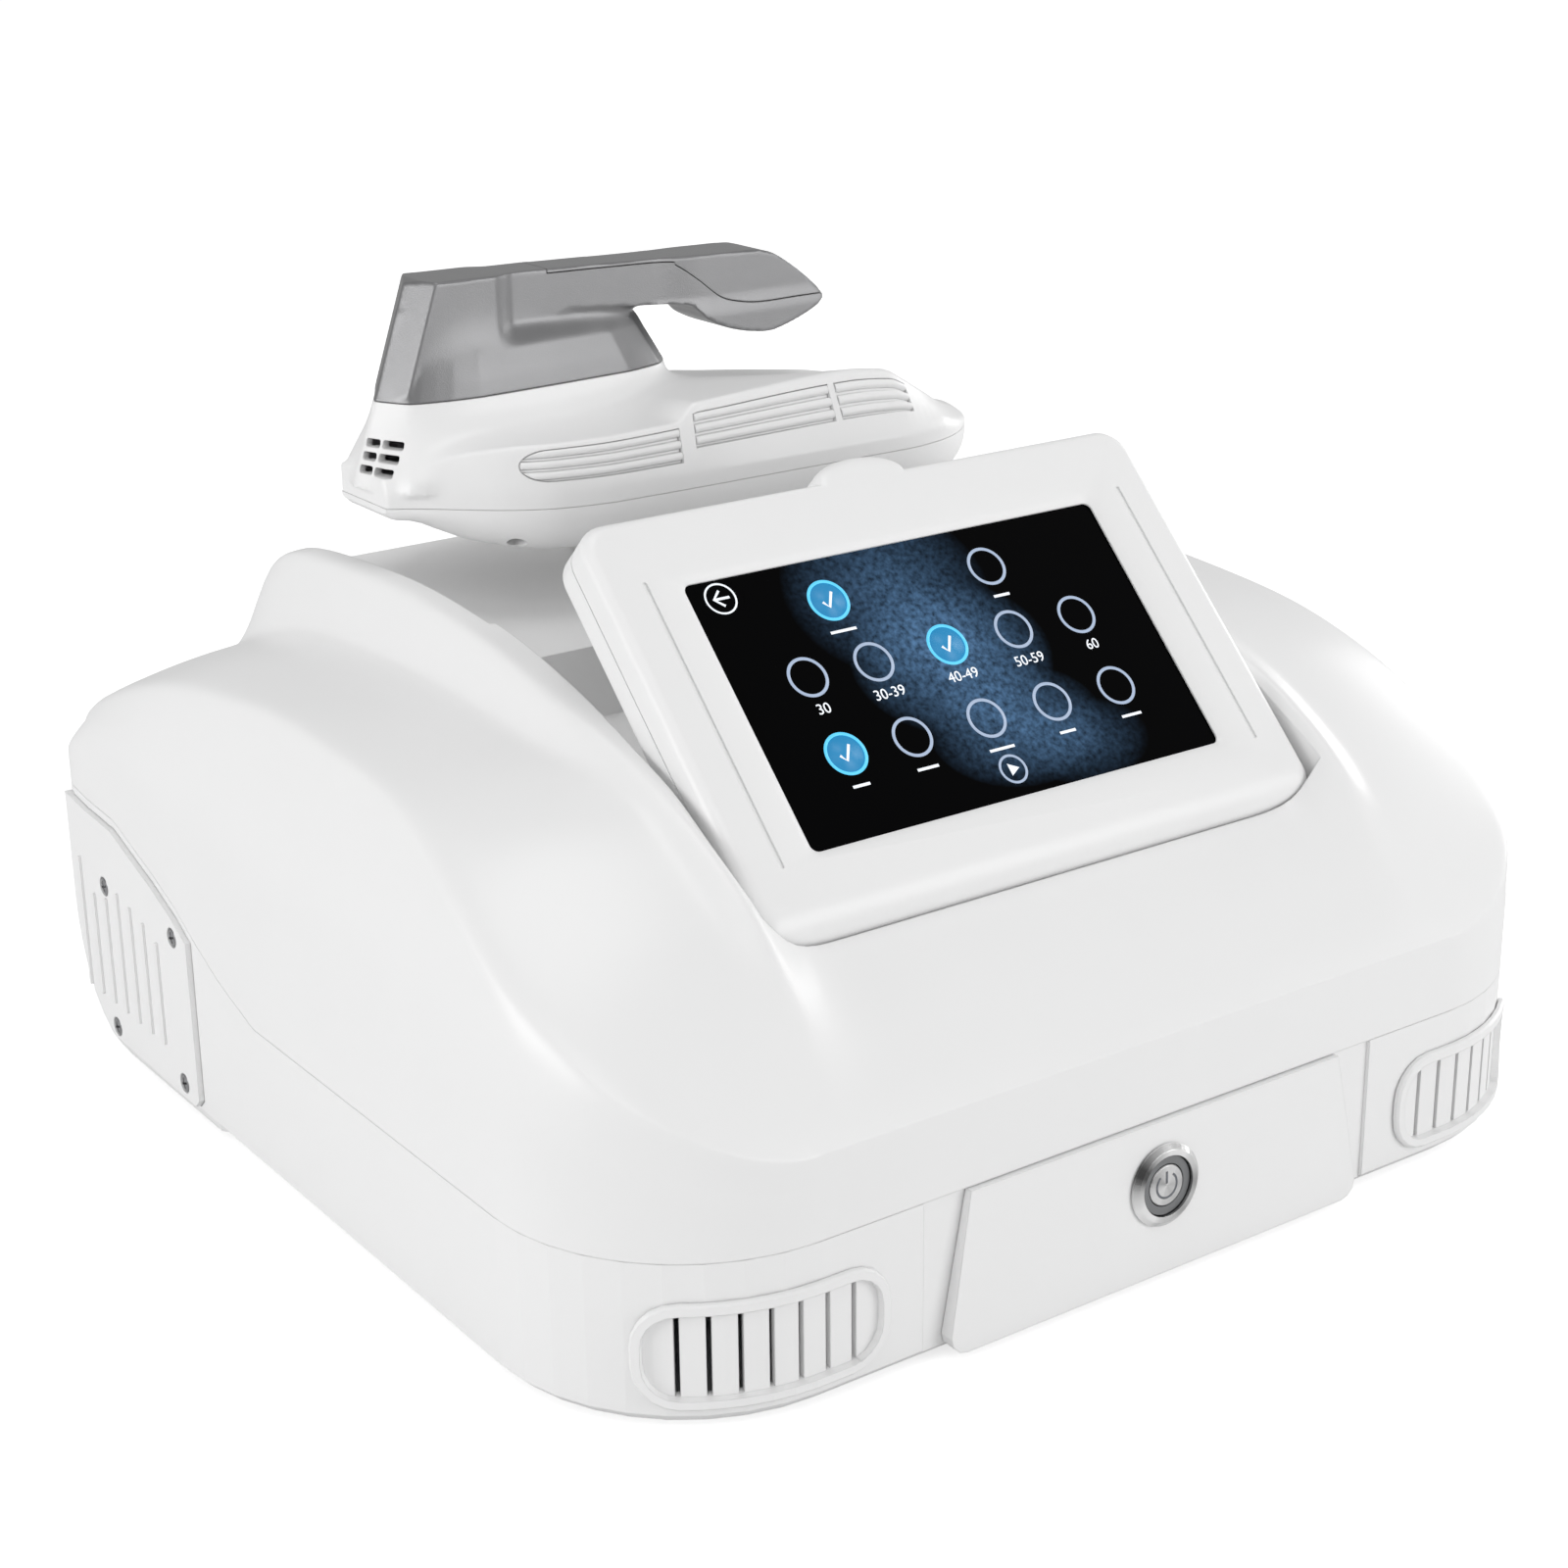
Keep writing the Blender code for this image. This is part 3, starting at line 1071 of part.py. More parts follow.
def button_parts(finishes, fixed, moving):
    """Flange and barrel, light ring, switch body and nut, and the cap that is pressed."""
    bore, flange = BUTTON_BORE_RADIUS, BUTTON_FLANGE_RADIUS
    bezel = (
        (bore, -BUTTON_LENGTH), (BUTTON_BARREL_RADIUS, -BUTTON_LENGTH), (BUTTON_BARREL_RADIUS,
                                                                         GAP), (flange, GAP),
        (flange,
         BUTTON_PROUD * (1 - BEZEL_CHAMFER_SHARE) + GAP), (flange - BUTTON_PROUD * BEZEL_CHAMFER_SHARE,
                                                           BUTTON_PROUD),
        (bore, BUTTON_PROUD),
    )
    piece("button_bezel", turned(bezel, 40), finishes["steel"], fixed)
    ring_top = BUTTON_PROUD / 2
    inner, outer = BUTTON_CAP_RADIUS + GAP, bore - GAP
    ring = ((inner, ring_top - BUTTON_RING_DEPTH), (outer, ring_top - BUTTON_RING_DEPTH), (outer, ring_top),
            (inner, ring_top))
    piece("button_ring", turned(ring), finishes["grey_plastic"], fixed)
    body_top = ring_top - BUTTON_RING_DEPTH - GAP
    stem_end = body_top - 2 * BUTTON_TRAVEL
    pit = stem_end - BUTTON_TRAVEL - GAP
    stem_bore = BUTTON_STEM_RADIUS + GAP
    body = (
        (0.0, body_top - BUTTON_BODY_LENGTH), (outer, body_top - BUTTON_BODY_LENGTH), (outer, body_top),
        (stem_bore, body_top), (stem_bore, pit), (0.0, pit),
    )
    piece("button_switch", turned(body), finishes["black_plastic"], fixed)
    face = ring_top + GAP
    back = face - BUTTON_RING_DEPTH + BUTTON_TRAVEL + GAP
    cap = (
        (0.0, stem_end), (BUTTON_STEM_RADIUS, stem_end), (BUTTON_STEM_RADIUS, back), (BUTTON_CAP_RADIUS,
                                                                                      back),
        (BUTTON_CAP_RADIUS, face - GAP), (BUTTON_CAP_RADIUS - GAP, face), (0.0, face),
    )
    piece("button_cap", turned(cap), finishes["steel"], moving)
    wall_back = FRONT_WALL_Y + WALL - panel_face_y(BUTTON_HEIGHT)
    lean = math.atan2(PANEL_TOP_Y, SEAM_HEIGHT)
    seat = -wall_back / math.cos(lean) - NUT_RADIUS * math.tan(lean) - GAP
    hole = BUTTON_BARREL_RADIUS + GAP
    nut = ((hole, seat - NUT_THICKNESS), (NUT_RADIUS, seat - NUT_THICKNESS), (NUT_RADIUS, seat),
           (hole, seat))
    piece("button_nut", cut(turned(nut, 6), turned(disc_profile(hole, seat - 2 * NUT_THICKNESS, OVERRUN))),
          finishes["steel"], fixed)


# Rear panel

def ring_sector(inner, outer, start, end, low, high, steps=6):
    """A slab cut from a flat ring between two angles in degrees."""
    angles = [math.radians(start + (end - start) * step / steps) for step in range(steps + 1)]
    outline = [(outer * math.cos(angle), outer * math.sin(angle)) for angle in angles]
    outline += [(inner * math.cos(angle), inner * math.sin(angle)) for angle in reversed(angles)]
    return extruded(outline, low, high)


def facing_back(x, y, z):
    """Matrix that turns a shape drawn along Z so that it points out of the back."""
    return Matrix.Translation((x, y, z)) @ Matrix.Rotation(-math.pi / 2, 4, "X")


def rear_middle_z():
    return (REAR_OPEN_FOOT + REAR_OPEN_TOP) / 2


def rear_seat_y():
    """Depth of the rear panel's outer face, just inside the back wall."""
    return BODY_DEPTH - WALL - GAP


def rear_panel(material, parent):
    """Metal panel behind the rear opening, with fan guards and holes for what it carries."""
    seat, middle = rear_seat_y(), rear_middle_z()
    low = (-REAR_OPEN_HALF_WIDTH - REAR_PANEL_MARGIN, seat - REAR_PANEL_THICKNESS,
           REAR_OPEN_FOOT - REAR_PANEL_MARGIN)
    high = (REAR_OPEN_HALF_WIDTH + REAR_PANEL_MARGIN, seat, REAR_OPEN_TOP + REAR_PANEL_MARGIN)
    tools = []
    for fan_x in FAN_X:
        for inner, outer in GUARD_RINGS:
            spoke = math.degrees(GUARD_SPOKE / inner) / 2
            for quarter in range(4):
                start = 90 * quarter + spoke
                slab = ring_sector(inner, outer, start, start + 90 - 2 * spoke, -2 * OVERRUN, OVERRUN, 5)
                tools.append(moved(slab, facing_back(fan_x, seat, middle)))
    for x, half_x, half_z in ((INLET_X, INLET_HALF_WIDTH, INLET_HALF_HEIGHT),
                              (SWITCH_X, SWITCH_HALF_WIDTH, SWITCH_HALF_HEIGHT)):
        tools.append(box((x - half_x + INLET_FLANGE, seat - 2 * OVERRUN, middle - half_z + INLET_FLANGE),
                         (x + half_x - INLET_FLANGE, seat + OVERRUN, middle + half_z - INLET_FLANGE)))
    barrel = turned(disc_profile(SOCKET_RADIUS - INLET_FLANGE, -2 * OVERRUN, OVERRUN))
    tools.append(moved(barrel, facing_back(SOCKET_X, seat, middle)))
    return piece("rear_panel", cut(box(low, high), *tools), material, parent)


def fan_frame_mesh():
    """Square fan frame along Z with its bore, motor seat and struts; the panel side is at zero."""
    half = FAN_SIZE / 2
    frame = extruded(rounded((-half, -half), (half, half), 2 * FAN_STRUT, 3), -FAN_DEPTH, 0.0)
    frame = cut(frame, turned(disc_profile(FAN_BORE_RADIUS, -FAN_DEPTH - OVERRUN, OVERRUN)))
    parts = [turned(disc_profile(FAN_HUB_RADIUS, -FAN_DEPTH, -FAN_DEPTH + FAN_STRUT), SMALL_ROUND)]
    for turn in range(3):
        strut = box((0.0, -FAN_STRUT / 2, -FAN_DEPTH + GAP),
                    (FAN_BORE_RADIUS + FAN_STRUT / 3, FAN_STRUT / 2, -FAN_DEPTH + FAN_STRUT - GAP))
        parts.append(moved(strut, Matrix.Rotation(math.tau * turn / 3, 4, "Z")))
    return joined(frame, *parts)


def fan_rotor_mesh():
    """Hub with twisted blades, running just above the motor seat."""
    foot, top = -FAN_DEPTH + FAN_STRUT + GAP, -FAN_STRUT / 2
    hub = turned(disc_profile(FAN_HUB_RADIUS, foot, top), 2 * FAN_BLADES)
    blades = []
    tip = FAN_BORE_RADIUS - 2 * GAP - FAN_BLADE_THICKNESS / 2
    half = (top - foot) / 2 - FAN_BLADE_THICKNESS
    middle = (top + foot) / 2
    for blade in range(FAN_BLADES):
        rings = []
        for reach in (FAN_HUB_RADIUS - FAN_BLADE_THICKNESS, tip):
            lean = math.radians(FAN_BLADE_TWIST) * (1.0 if reach < FAN_HUB_RADIUS else 1.25)
            ring = []
            for up, out in ((-1, -1), (1, -1), (1, 1), (-1, 1)):
                rise = up * half * math.cos(lean)
                side = up * half * math.sin(lean) + out * FAN_BLADE_THICKNESS / 2
                ring.append(Vector((math.sqrt(reach ** 2 - side ** 2), side, middle + rise)))
            rings.append(ring)
        blades.append(moved(loft(rings), Matrix.Rotation(math.tau * blade / FAN_BLADES, 4, "Z")))
    return joined(hub, *blades)


def mains_inlet_mesh():
    """Appliance inlet along Z: flange, body, recess and its three pins; the panel face is at zero."""
    half_x, half_z = INLET_HALF_WIDTH, INLET_HALF_HEIGHT
    flange = extruded(rounded((-half_x, -half_z), (half_x, half_z), INLET_WALL, 3), GAP, GAP + INLET_FLANGE)
    body_x, body_z = half_x - INLET_FLANGE - GAP, half_z - INLET_FLANGE - GAP
    body = box((-body_x, -body_z, -INLET_DEPTH), (body_x, body_z, GAP + INLET_FLANGE / 2))
    mesh = joined(flange, body)
    room_x, room_z = body_x - INLET_WALL / 2, body_z - INLET_WALL / 2
    top = GAP + INLET_FLANGE
    slant = room_z / 2
    outline = ((-room_x, -room_z), (room_x, -room_z), (room_x, room_z - slant), (room_x - slant, room_z),
               (slant - room_x, room_z), (-room_x, room_z - slant))
    mesh = cut(mesh, extruded(outline, top - INLET_RECESS, top + OVERRUN))
    pins = []
    for turn in (-1, 0, 1):
        x = turn * INLET_PIN_PITCH
        z = INLET_PIN[1] / 2 if turn == 0 else -INLET_PIN[1] / 2
        low = (x - INLET_PIN[0] / 2, z - INLET_PIN[1] / 2, top - INLET_RECESS - GAP)
        high = (x + INLET_PIN[0] / 2, z + INLET_PIN[1] / 2, top - INLET_PIN_SHRINK)
        pins.append(box(low, high))
    return joined(mesh, *pins)


def switch_body_mesh():
    """Housing of the mains switch along Z, open at its face for the rocker."""
    half_x, half_z = SWITCH_HALF_WIDTH, SWITCH_HALF_HEIGHT
    flange = extruded(rounded((-half_x, -half_z), (half_x, half_z), SWITCH_RIM / 2, 2), GAP,
                      GAP + INLET_FLANGE)
    body_x, body_z = half_x - INLET_FLANGE - GAP, half_z - INLET_FLANGE - GAP
    body = box((-body_x, -body_z, -SWITCH_DEPTH), (body_x, body_z, GAP + INLET_FLANGE / 2))
    mesh = joined(flange, body)
    room_x, room_z = half_x - 1.6 * SWITCH_RIM, half_z - 1.6 * SWITCH_RIM
    return cut(mesh, box((-room_x, -room_z, -SWITCH_DEPTH / 2), (room_x, room_z, OVERRUN)))


def rocker_mesh():
    """Rocker on its own axis, X across the switch, with a hollowed face and a round back."""
    half_x = SWITCH_HALF_WIDTH - 1.6 * SWITCH_RIM - GAP
    reach = SWITCH_HALF_HEIGHT - 1.6 * SWITCH_RIM - 3 * GAP
    outline = []
    for step in range(7):
        share = -1 + 2 * step / 6
        outline.append((share * reach, SWITCH_RIM * (0.45 + 0.75 * share ** 2)))
    for step in range(5):
        angle = math.radians(30 * step)
        outline.append((reach * 0.8 * math.cos(angle + math.pi / 6),
                        -reach * 0.62 * math.sin(angle + math.pi / 6)))
    return extruded(outline, -half_x, half_x, "yzx")


def rear_parts(finishes, parent):
    """The rear panel with fans, inlet, switch and the applicator's connector."""
    seat, middle = rear_seat_y(), rear_middle_z()
    rear_panel(finishes["panel_metal"], parent)
    for fan_x, name in zip(FAN_X, ("left", "right")):
        place = (fan_x, seat - REAR_PANEL_THICKNESS - GAP, middle)
        piece("fan_frame_" + name, moved(fan_frame_mesh(), facing_back(*place)), finishes["black_plastic"],
              parent)
        axis = axis_empty("fan_axis_" + name, place, parent, (-90.0, 0.0, 0.0))
        piece("fan_rotor_" + name, fan_rotor_mesh(), finishes["black_plastic"], axis)
    piece("mains_inlet", moved(mains_inlet_mesh(), facing_back(INLET_X, seat, middle)),
          finishes["black_plastic"], parent)
    piece("switch_body", moved(switch_body_mesh(), facing_back(SWITCH_X, seat, middle)),
          finishes["black_plastic"], parent)
    axis = axis_empty("rocker_axis", (SWITCH_X, seat + GAP, middle), parent,
                      (-90.0 + ROCKER_TILT, 0.0, 0.0))
    piece("rocker", rocker_mesh(), finishes["red_plastic"], axis)
    bore, outer, top = SOCKET_BORE_RADIUS, SOCKET_RADIUS, GAP + SOCKET_PROUD
    barrel = outer - INLET_FLANGE - GAP
    profile = (
        (0.0, -SOCKET_DEPTH), (barrel, -SOCKET_DEPTH), (barrel, GAP), (outer, GAP), (outer, top - GAP),
        (outer - INLET_FLANGE, top), (bore, top), (bore, top - SOCKET_DEPTH + 2 * INLET_FLANGE),
        (0.0, top - SOCKET_DEPTH + 2 * INLET_FLANGE),
    )
    piece("handle_socket", moved(turned(profile), facing_back(SOCKET_X, seat, middle)), finishes["steel"],
          parent)


# Works inside the base

def board_posts():
    """Places of the posts under the capacitor bank and the main board."""
    places = []
    for (x, y), (width, depth) in ((BANK_PLACE, BANK), (MAIN_BOARD_PLACE, MAIN_BOARD)):
        for side in (-1, 1):
            for end in (-1, 1):
                places.append((x + side * (width / 2 - 2 * POST_RADIUS),
                               y + end * (depth / 2 - 2 * POST_RADIUS)))
    return places


def works(finishes, parent):
    """Power supply, capacitor bank and main board on the base's floor."""
    x, y = SUPPLY_PLACE
    width, depth, height = SUPPLY
    low = (x - width / 2, y - depth / 2, FLOOR + GAP)
    supply = box(low, (x + width / 2, y + depth / 2, FLOOR + GAP + height))
    slots = []
    for slot in range(6):
        left = low[0] + width * (slot + 1) / 7.5
        slots.append(box((left, y - depth / 3, FLOOR + height - WALL),
                         (left + WALL, y + depth / 3, FLOOR + height + OVERRUN)))
    piece("power_supply", cut(supply, *slots), finishes["panel_metal"], parent)
    level = FLOOR + POST_HEIGHT + GAP
    x, y = BANK_PLACE
    width, depth = BANK
    bank = box((x - width / 2, y - depth / 2, level), (x + width / 2, y + depth / 2,
                                                       level + BOARD_THICKNESS))
    cans = []
    for row in (-1, 1):
        for spot in (-1, 0):
            can_x = x + (spot + 0.5) * width / 2
            can_y = y + row * depth / 4
            high = level + BOARD_THICKNESS + CAPACITOR_HEIGHT
            shape = (
                (0.0, level + GAP), (CAPACITOR_RADIUS, level + GAP), (CAPACITOR_RADIUS, high - FAN_STRUT),
                (CAPACITOR_RADIUS - FAN_STRUT, high), (0.0, high),
            )
            cans.append(moved(turned(shape, SMALL_ROUND), Matrix.Translation((can_x, can_y, 0))))
    piece("capacitor_bank", joined(bank, *cans), finishes["blue_plastic"], parent)
    x, y = MAIN_BOARD_PLACE
    width, depth = MAIN_BOARD
    board = box((x - width / 2, y - depth / 2, level), (x + width / 2, y + depth / 2,
                                                        level + BOARD_THICKNESS))
    piece("main_board", board, finishes["board"], parent)
    level += BOARD_THICKNESS + GAP
    width, depth, height = HEAT_SINK
    sink = box((x - width / 2, y - depth / 2, level), (x + width / 2, y + depth / 2, level + height))
    pitch = (width - HEAT_FIN_THICKNESS) / (HEAT_FINS - 1)
    gaps = []
    for fin in range(HEAT_FINS - 1):
        left = x - width / 2 + fin * pitch + HEAT_FIN_THICKNESS
        gaps.append(box((left, y - depth, level + HEAT_FIN_THICKNESS),
                        (left + pitch - HEAT_FIN_THICKNESS, y + depth, level + 2 * height)))
    piece("heat_sink", cut(sink, *gaps), finishes["aluminium"], parent)


# Applicator

def head_x(share):
    return HEAD_LEFT + HEAD_LENGTH * share


def face_lean(share, half):
    """How far back the louvred face leans, more towards the nose."""
    return min(LOUVRE_LEAN * smooth(LOUVRE_LEAN_SHARES, share), 0.3 * half)


def face_foot(rise):
    """Height of the louvred face's lower edge above the seam."""
    return min(HEAD_FACE_FOOT, rise / 2)


def upper_section(share, inset=0.0):
    """Section of the head's upper shell across X, from the front seam over to the rear seam."""
    half = HEAD_HALF_DEPTH * smooth(HEAD_PLAN_SHARES, share) - inset
    front = HEAD_RISE * smooth(HEAD_FRONT_SHARES, share) - inset
    middle = HEAD_RISE * smooth(HEAD_CENTRE_SHARES, share) - inset
    lean, step = face_lean(share, half), face_foot(front)
    foot = HEAD_SEAM + (GAP / 2 if inset == 0 else -OVERRUN)
    shares = ((-0.20, 0.5), (0.15, 0.0))
    points = [(-half, foot), (-half, HEAD_SEAM + step * 0.7), (-half + 0.1 * lean, HEAD_SEAM + step)]
    points += [(-half + 0.9 * lean, HEAD_SEAM + 0.96 * front), (-half + 1.15 * lean, HEAD_SEAM + front)]
    points += [(half * place - (half * 0.2), HEAD_SEAM + middle + (front - middle) * mix) for place,
               mix in shares]
    for place, rise in ((0.22, 0.97), (0.48, 0.74), (0.72, 0.46), (0.90, 0.24)):
        points.append((half * place, HEAD_SEAM + middle * rise))
    points += [(half, HEAD_SEAM + 0.06 * middle), (half, foot)]
    return [Vector((head_x(share), HEAD_Y + y, z)) for y, z in points]


def lower_section(share, inset=0.0):
    """Section of the head's lower shell across X: round flanks and a level underside."""
    half = HEAD_HALF_DEPTH * smooth(HEAD_PLAN_SHARES, share) - inset
    drop = HEAD_DROP * smooth(HEAD_DROP_SHARES, share) - inset
    top = HEAD_SEAM - (GAP / 2 if inset == 0 else -OVERRUN)
    points = [(-half, top), (-half, HEAD_SEAM - 0.15 * drop)]
    flank = min(HEAD_DROP, half * 0.6)
    for angle in (30, 55, 75, 90):
        turn = math.radians(angle)
        points.append((-half + flank * (1 - math.cos(turn)),
                       HEAD_SEAM - drop * (0.15 + 0.85 * math.sin(turn))))
    points += [(-y, z) for y, z in reversed(points)]
    return [Vector((head_x(share), HEAD_Y + y, z)) for y, z in points]


def head_loft(section, inset=0.0):
    """Loft of head sections; a cavity stops a wall's thickness short of both ends."""
    rings = []
    edge = inset / HEAD_LENGTH
    for share in HEAD_STATION_SHARES:
        if inset == 0 or 2 * edge < share < 1 - 2 * edge:
            rings.append(section(share, inset))
    return loft(rings)


def boat_ring(z, right, half, inset=0.0):
    """Plan outline of the neck or the post at a height: a flat left end, a full middle, a slim end."""
    left = NECK_LEFT - NECK_LEAN * (NECK_TOP - z) + inset
    right -= inset
    front = []
    for step in range(BOAT_STEPS + 1):
        share = (step / BOAT_STEPS) ** BOAT_STEP_POWER
        width = max(half * smooth(BOAT_SHARES, share) - inset, inset)
        front.append((left + (right - left) * share, -width))
    outline = front + [(x, -y) for x, y in reversed(front)]
    return [Vector((x, HEAD_Y + y, z)) for x, y in outline]


def neck_loft(inset=0.0):
    """The white neck that grows out of the head and carries the handle."""
    rings = []
    for share, right, half in NECK_RINGS:
        z = NECK_TOP - (NECK_TOP - NECK_FOOT) * share - inset * (1 - share)
        rings.append(boat_ring(z, right, half, inset))
    return loft(rings)


def louvre_point(x, along, out):
    """A point on the slanted louvre face: along its slope and out from it, at a place X."""
    share = (x - HEAD_LEFT) / HEAD_LENGTH
    half = HEAD_HALF_DEPTH * smooth(HEAD_PLAN_SHARES, share)
    rise = HEAD_RISE * smooth(HEAD_FRONT_SHARES, share)
    lean = face_lean(share, half)
    low = Vector((x, HEAD_Y - half + 0.1 * lean, HEAD_SEAM + face_foot(rise)))
    high = Vector((x, HEAD_Y - half + 0.9 * lean, HEAD_SEAM + 0.96 * rise))
    slope = (high - low).normalized()
    normal = Vector((0, -slope.z, slope.y))
    return low + (high - low) * along + normal * out


def louvre_loft(span, profile, clearance=0.0):
    """A strip along the louvre face from its profile of (share up the slope, distance out)."""
    left, right = span[0] - clearance, span[1] + clearance
    rings = []
    for step in range(LOUVRE_STEPS + 1):
        x = left + (right - left) * step / LOUVRE_STEPS
        rings.append([louvre_point(x, along, out) for along, out in profile])
    return loft(rings)


def louvre_recess(span, shares):
    low, high = shares
    profile = ((low, -LOUVRE_RECESS), (high, -LOUVRE_RECESS), (high, OVERRUN), (low, OVERRUN))
    return louvre_loft(span, profile, GAP)


def louvre_mesh(span, shares):
    """Louvre insert: a back plate with three slats that overhang the slot below."""
    low, high = shares
    edge = (high - low) / 40
    low, high = low + edge, high - edge
    back, floor, face = -LOUVRE_RECESS + GAP, -LOUVRE_RECESS / 2, GAP
    profile = [(low, back)]
    pitch = (high - low) / LOUVRE_SLATS
    for slat in range(LOUVRE_SLATS):
        foot = low + slat * pitch
        profile += [(foot, floor), (foot + 0.30 * pitch, floor), (foot + 0.42 * pitch, face)]
        profile += [(foot + 0.86 * pitch, face), (foot + 0.98 * pitch, floor)]
    profile += [(high, floor), (high, back)]
    return louvre_loft(span, profile)


def vent_tools():
    """Slots of the two-by-three vent through the wall of the neck's left end."""
    tools = []
    for along, across, half, angle in VENT_PLACES:
        for row in range(VENT_SLOTS):
            z = VENT_FOOT + row * VENT_PITCH
            left, right, width = neck_size(z + VENT_SLOT_HEIGHT / 2)
            x = left + (right - left) * along
            slot = box((-half, -VENT_DEPTH, 0.0), (half, VENT_DEPTH, VENT_SLOT_HEIGHT))
            place = Matrix.Translation((x, HEAD_Y + across * width,
                                        z)) @ Matrix.Rotation(-math.radians(angle), 4, "Z")
            tools.append(moved(slot, place))
    return tools


def neck_size(z):
    """Left end, right end and half width of the neck at a height."""
    share = (NECK_TOP - z) / (NECK_TOP - NECK_FOOT)
    spots = [row[0] for row in NECK_RINGS]
    right = float(np.interp(share, spots, [row[1] for row in NECK_RINGS]))
    half = float(np.interp(share, spots, [row[2] for row in NECK_RINGS]))
    return NECK_LEFT - NECK_LEAN * (NECK_TOP - z), right, half


def hose_seat_y():
    """Depth of the flat on the back of the neck where the hose socket sits."""
    left, right, half = neck_size(HOSE_SOCKET_Z)
    share = (HOSE_SOCKET_X - left) / (right - left)
    return HEAD_Y + half * smooth(BOAT_SHARES, share) - HOSE_SOCKET_PROUD / 2


def applicator(finishes, parent):
    """Head shells, louvres, handle, treatment plate, coils and hose socket."""
    white = finishes["white"]
    upper = joined(head_loft(upper_section), neck_loft())
    hollow = joined(head_loft(upper_section, HEAD_WALL), neck_loft(HEAD_WALL))
    seat = facing_back(HOSE_SOCKET_X, hose_seat_y(), HOSE_SOCKET_Z)
    pit = moved(turned(disc_profile(HOSE_SOCKET_RADIUS + GAP, 0.0, 2 * OVERRUN), SMALL_ROUND), seat)
    barrel = HOSE_SOCKET_BORE + HOSE_SOCKET_PROUD / 3
    through = moved(turned(disc_profile(barrel + GAP, -2 * OVERRUN, OVERRUN), SMALL_ROUND), seat)
    recesses = [louvre_recess(span, shares) for span, shares in zip(LOUVRE_SPANS, LOUVRE_SPAN_SHARES)]
    upper = cut(upper, *recesses, hollow, *vent_tools(), pit, through)
    piece("head_upper_shell", upper, white, parent, angle=24.0)
    lower = cut(head_loft(lower_section), head_loft(lower_section, HEAD_WALL))
    piece("head_lower_shell", lower, white, parent, angle=24.0)
    for span, shares, name in zip(LOUVRE_SPANS, LOUVRE_SPAN_SHARES, ("left", "middle", "right")):
        piece("louvre_" + name, louvre_mesh(span, shares), white, parent)
    bore, proud = HOSE_SOCKET_BORE, HOSE_SOCKET_PROUD
    socket = (
        (0.0, -HOSE_SOCKET_LENGTH + proud), (barrel, -HOSE_SOCKET_LENGTH + proud),
        (barrel, GAP), (HOSE_SOCKET_RADIUS, GAP),
        (HOSE_SOCKET_RADIUS, proud * 0.7), (HOSE_SOCKET_RADIUS - proud * 0.3, proud), (bore, proud),
        (bore, -HOSE_SOCKET_LENGTH + 2 * proud), (0.0, -HOSE_SOCKET_LENGTH + 2 * proud),
    )
    piece("hose_socket", moved(turned(socket, SMALL_ROUND), seat), finishes["black_plastic"], parent)
    handle(finishes["silver"], parent)
    top = HEAD_SEAM - HEAD_DROP - GAP
    rings = []
    for level, inset in ((TRAY_HEIGHT + GAP, PLATE_EDGE),
                         (TRAY_HEIGHT + GAP + PLATE_EDGE / 3, PLATE_EDGE / 3),
                         (TRAY_HEIGHT + GAP + PLATE_EDGE, 0.0), (top, 0.0)):
        outline = rounded((PLATE_LEFT + inset, HEAD_Y - PLATE_HALF_DEPTH + inset),
                          (PLATE_RIGHT - inset, HEAD_Y + PLATE_HALF_DEPTH - inset), PLATE_CORNER - inset, 6)
        rings.append([Vector((x, y, level)) for x, y in outline])
    piece("treatment_plate", loft(rings), finishes["pale_plastic"], parent)
    floor = HEAD_SEAM - HEAD_DROP + HEAD_WALL + GAP
    for coil_x, name in zip(COIL_X, ("left", "right")):
        ring = ((COIL_INNER, floor), (COIL_OUTER, floor), (COIL_OUTER, floor + COIL_HEIGHT),
                (COIL_INNER, floor + COIL_HEIGHT))
        coil = moved(turned(ring), Matrix.Translation((coil_x, HEAD_Y, 0)))
        piece("coil_" + name, coil, finishes["copper"], parent)


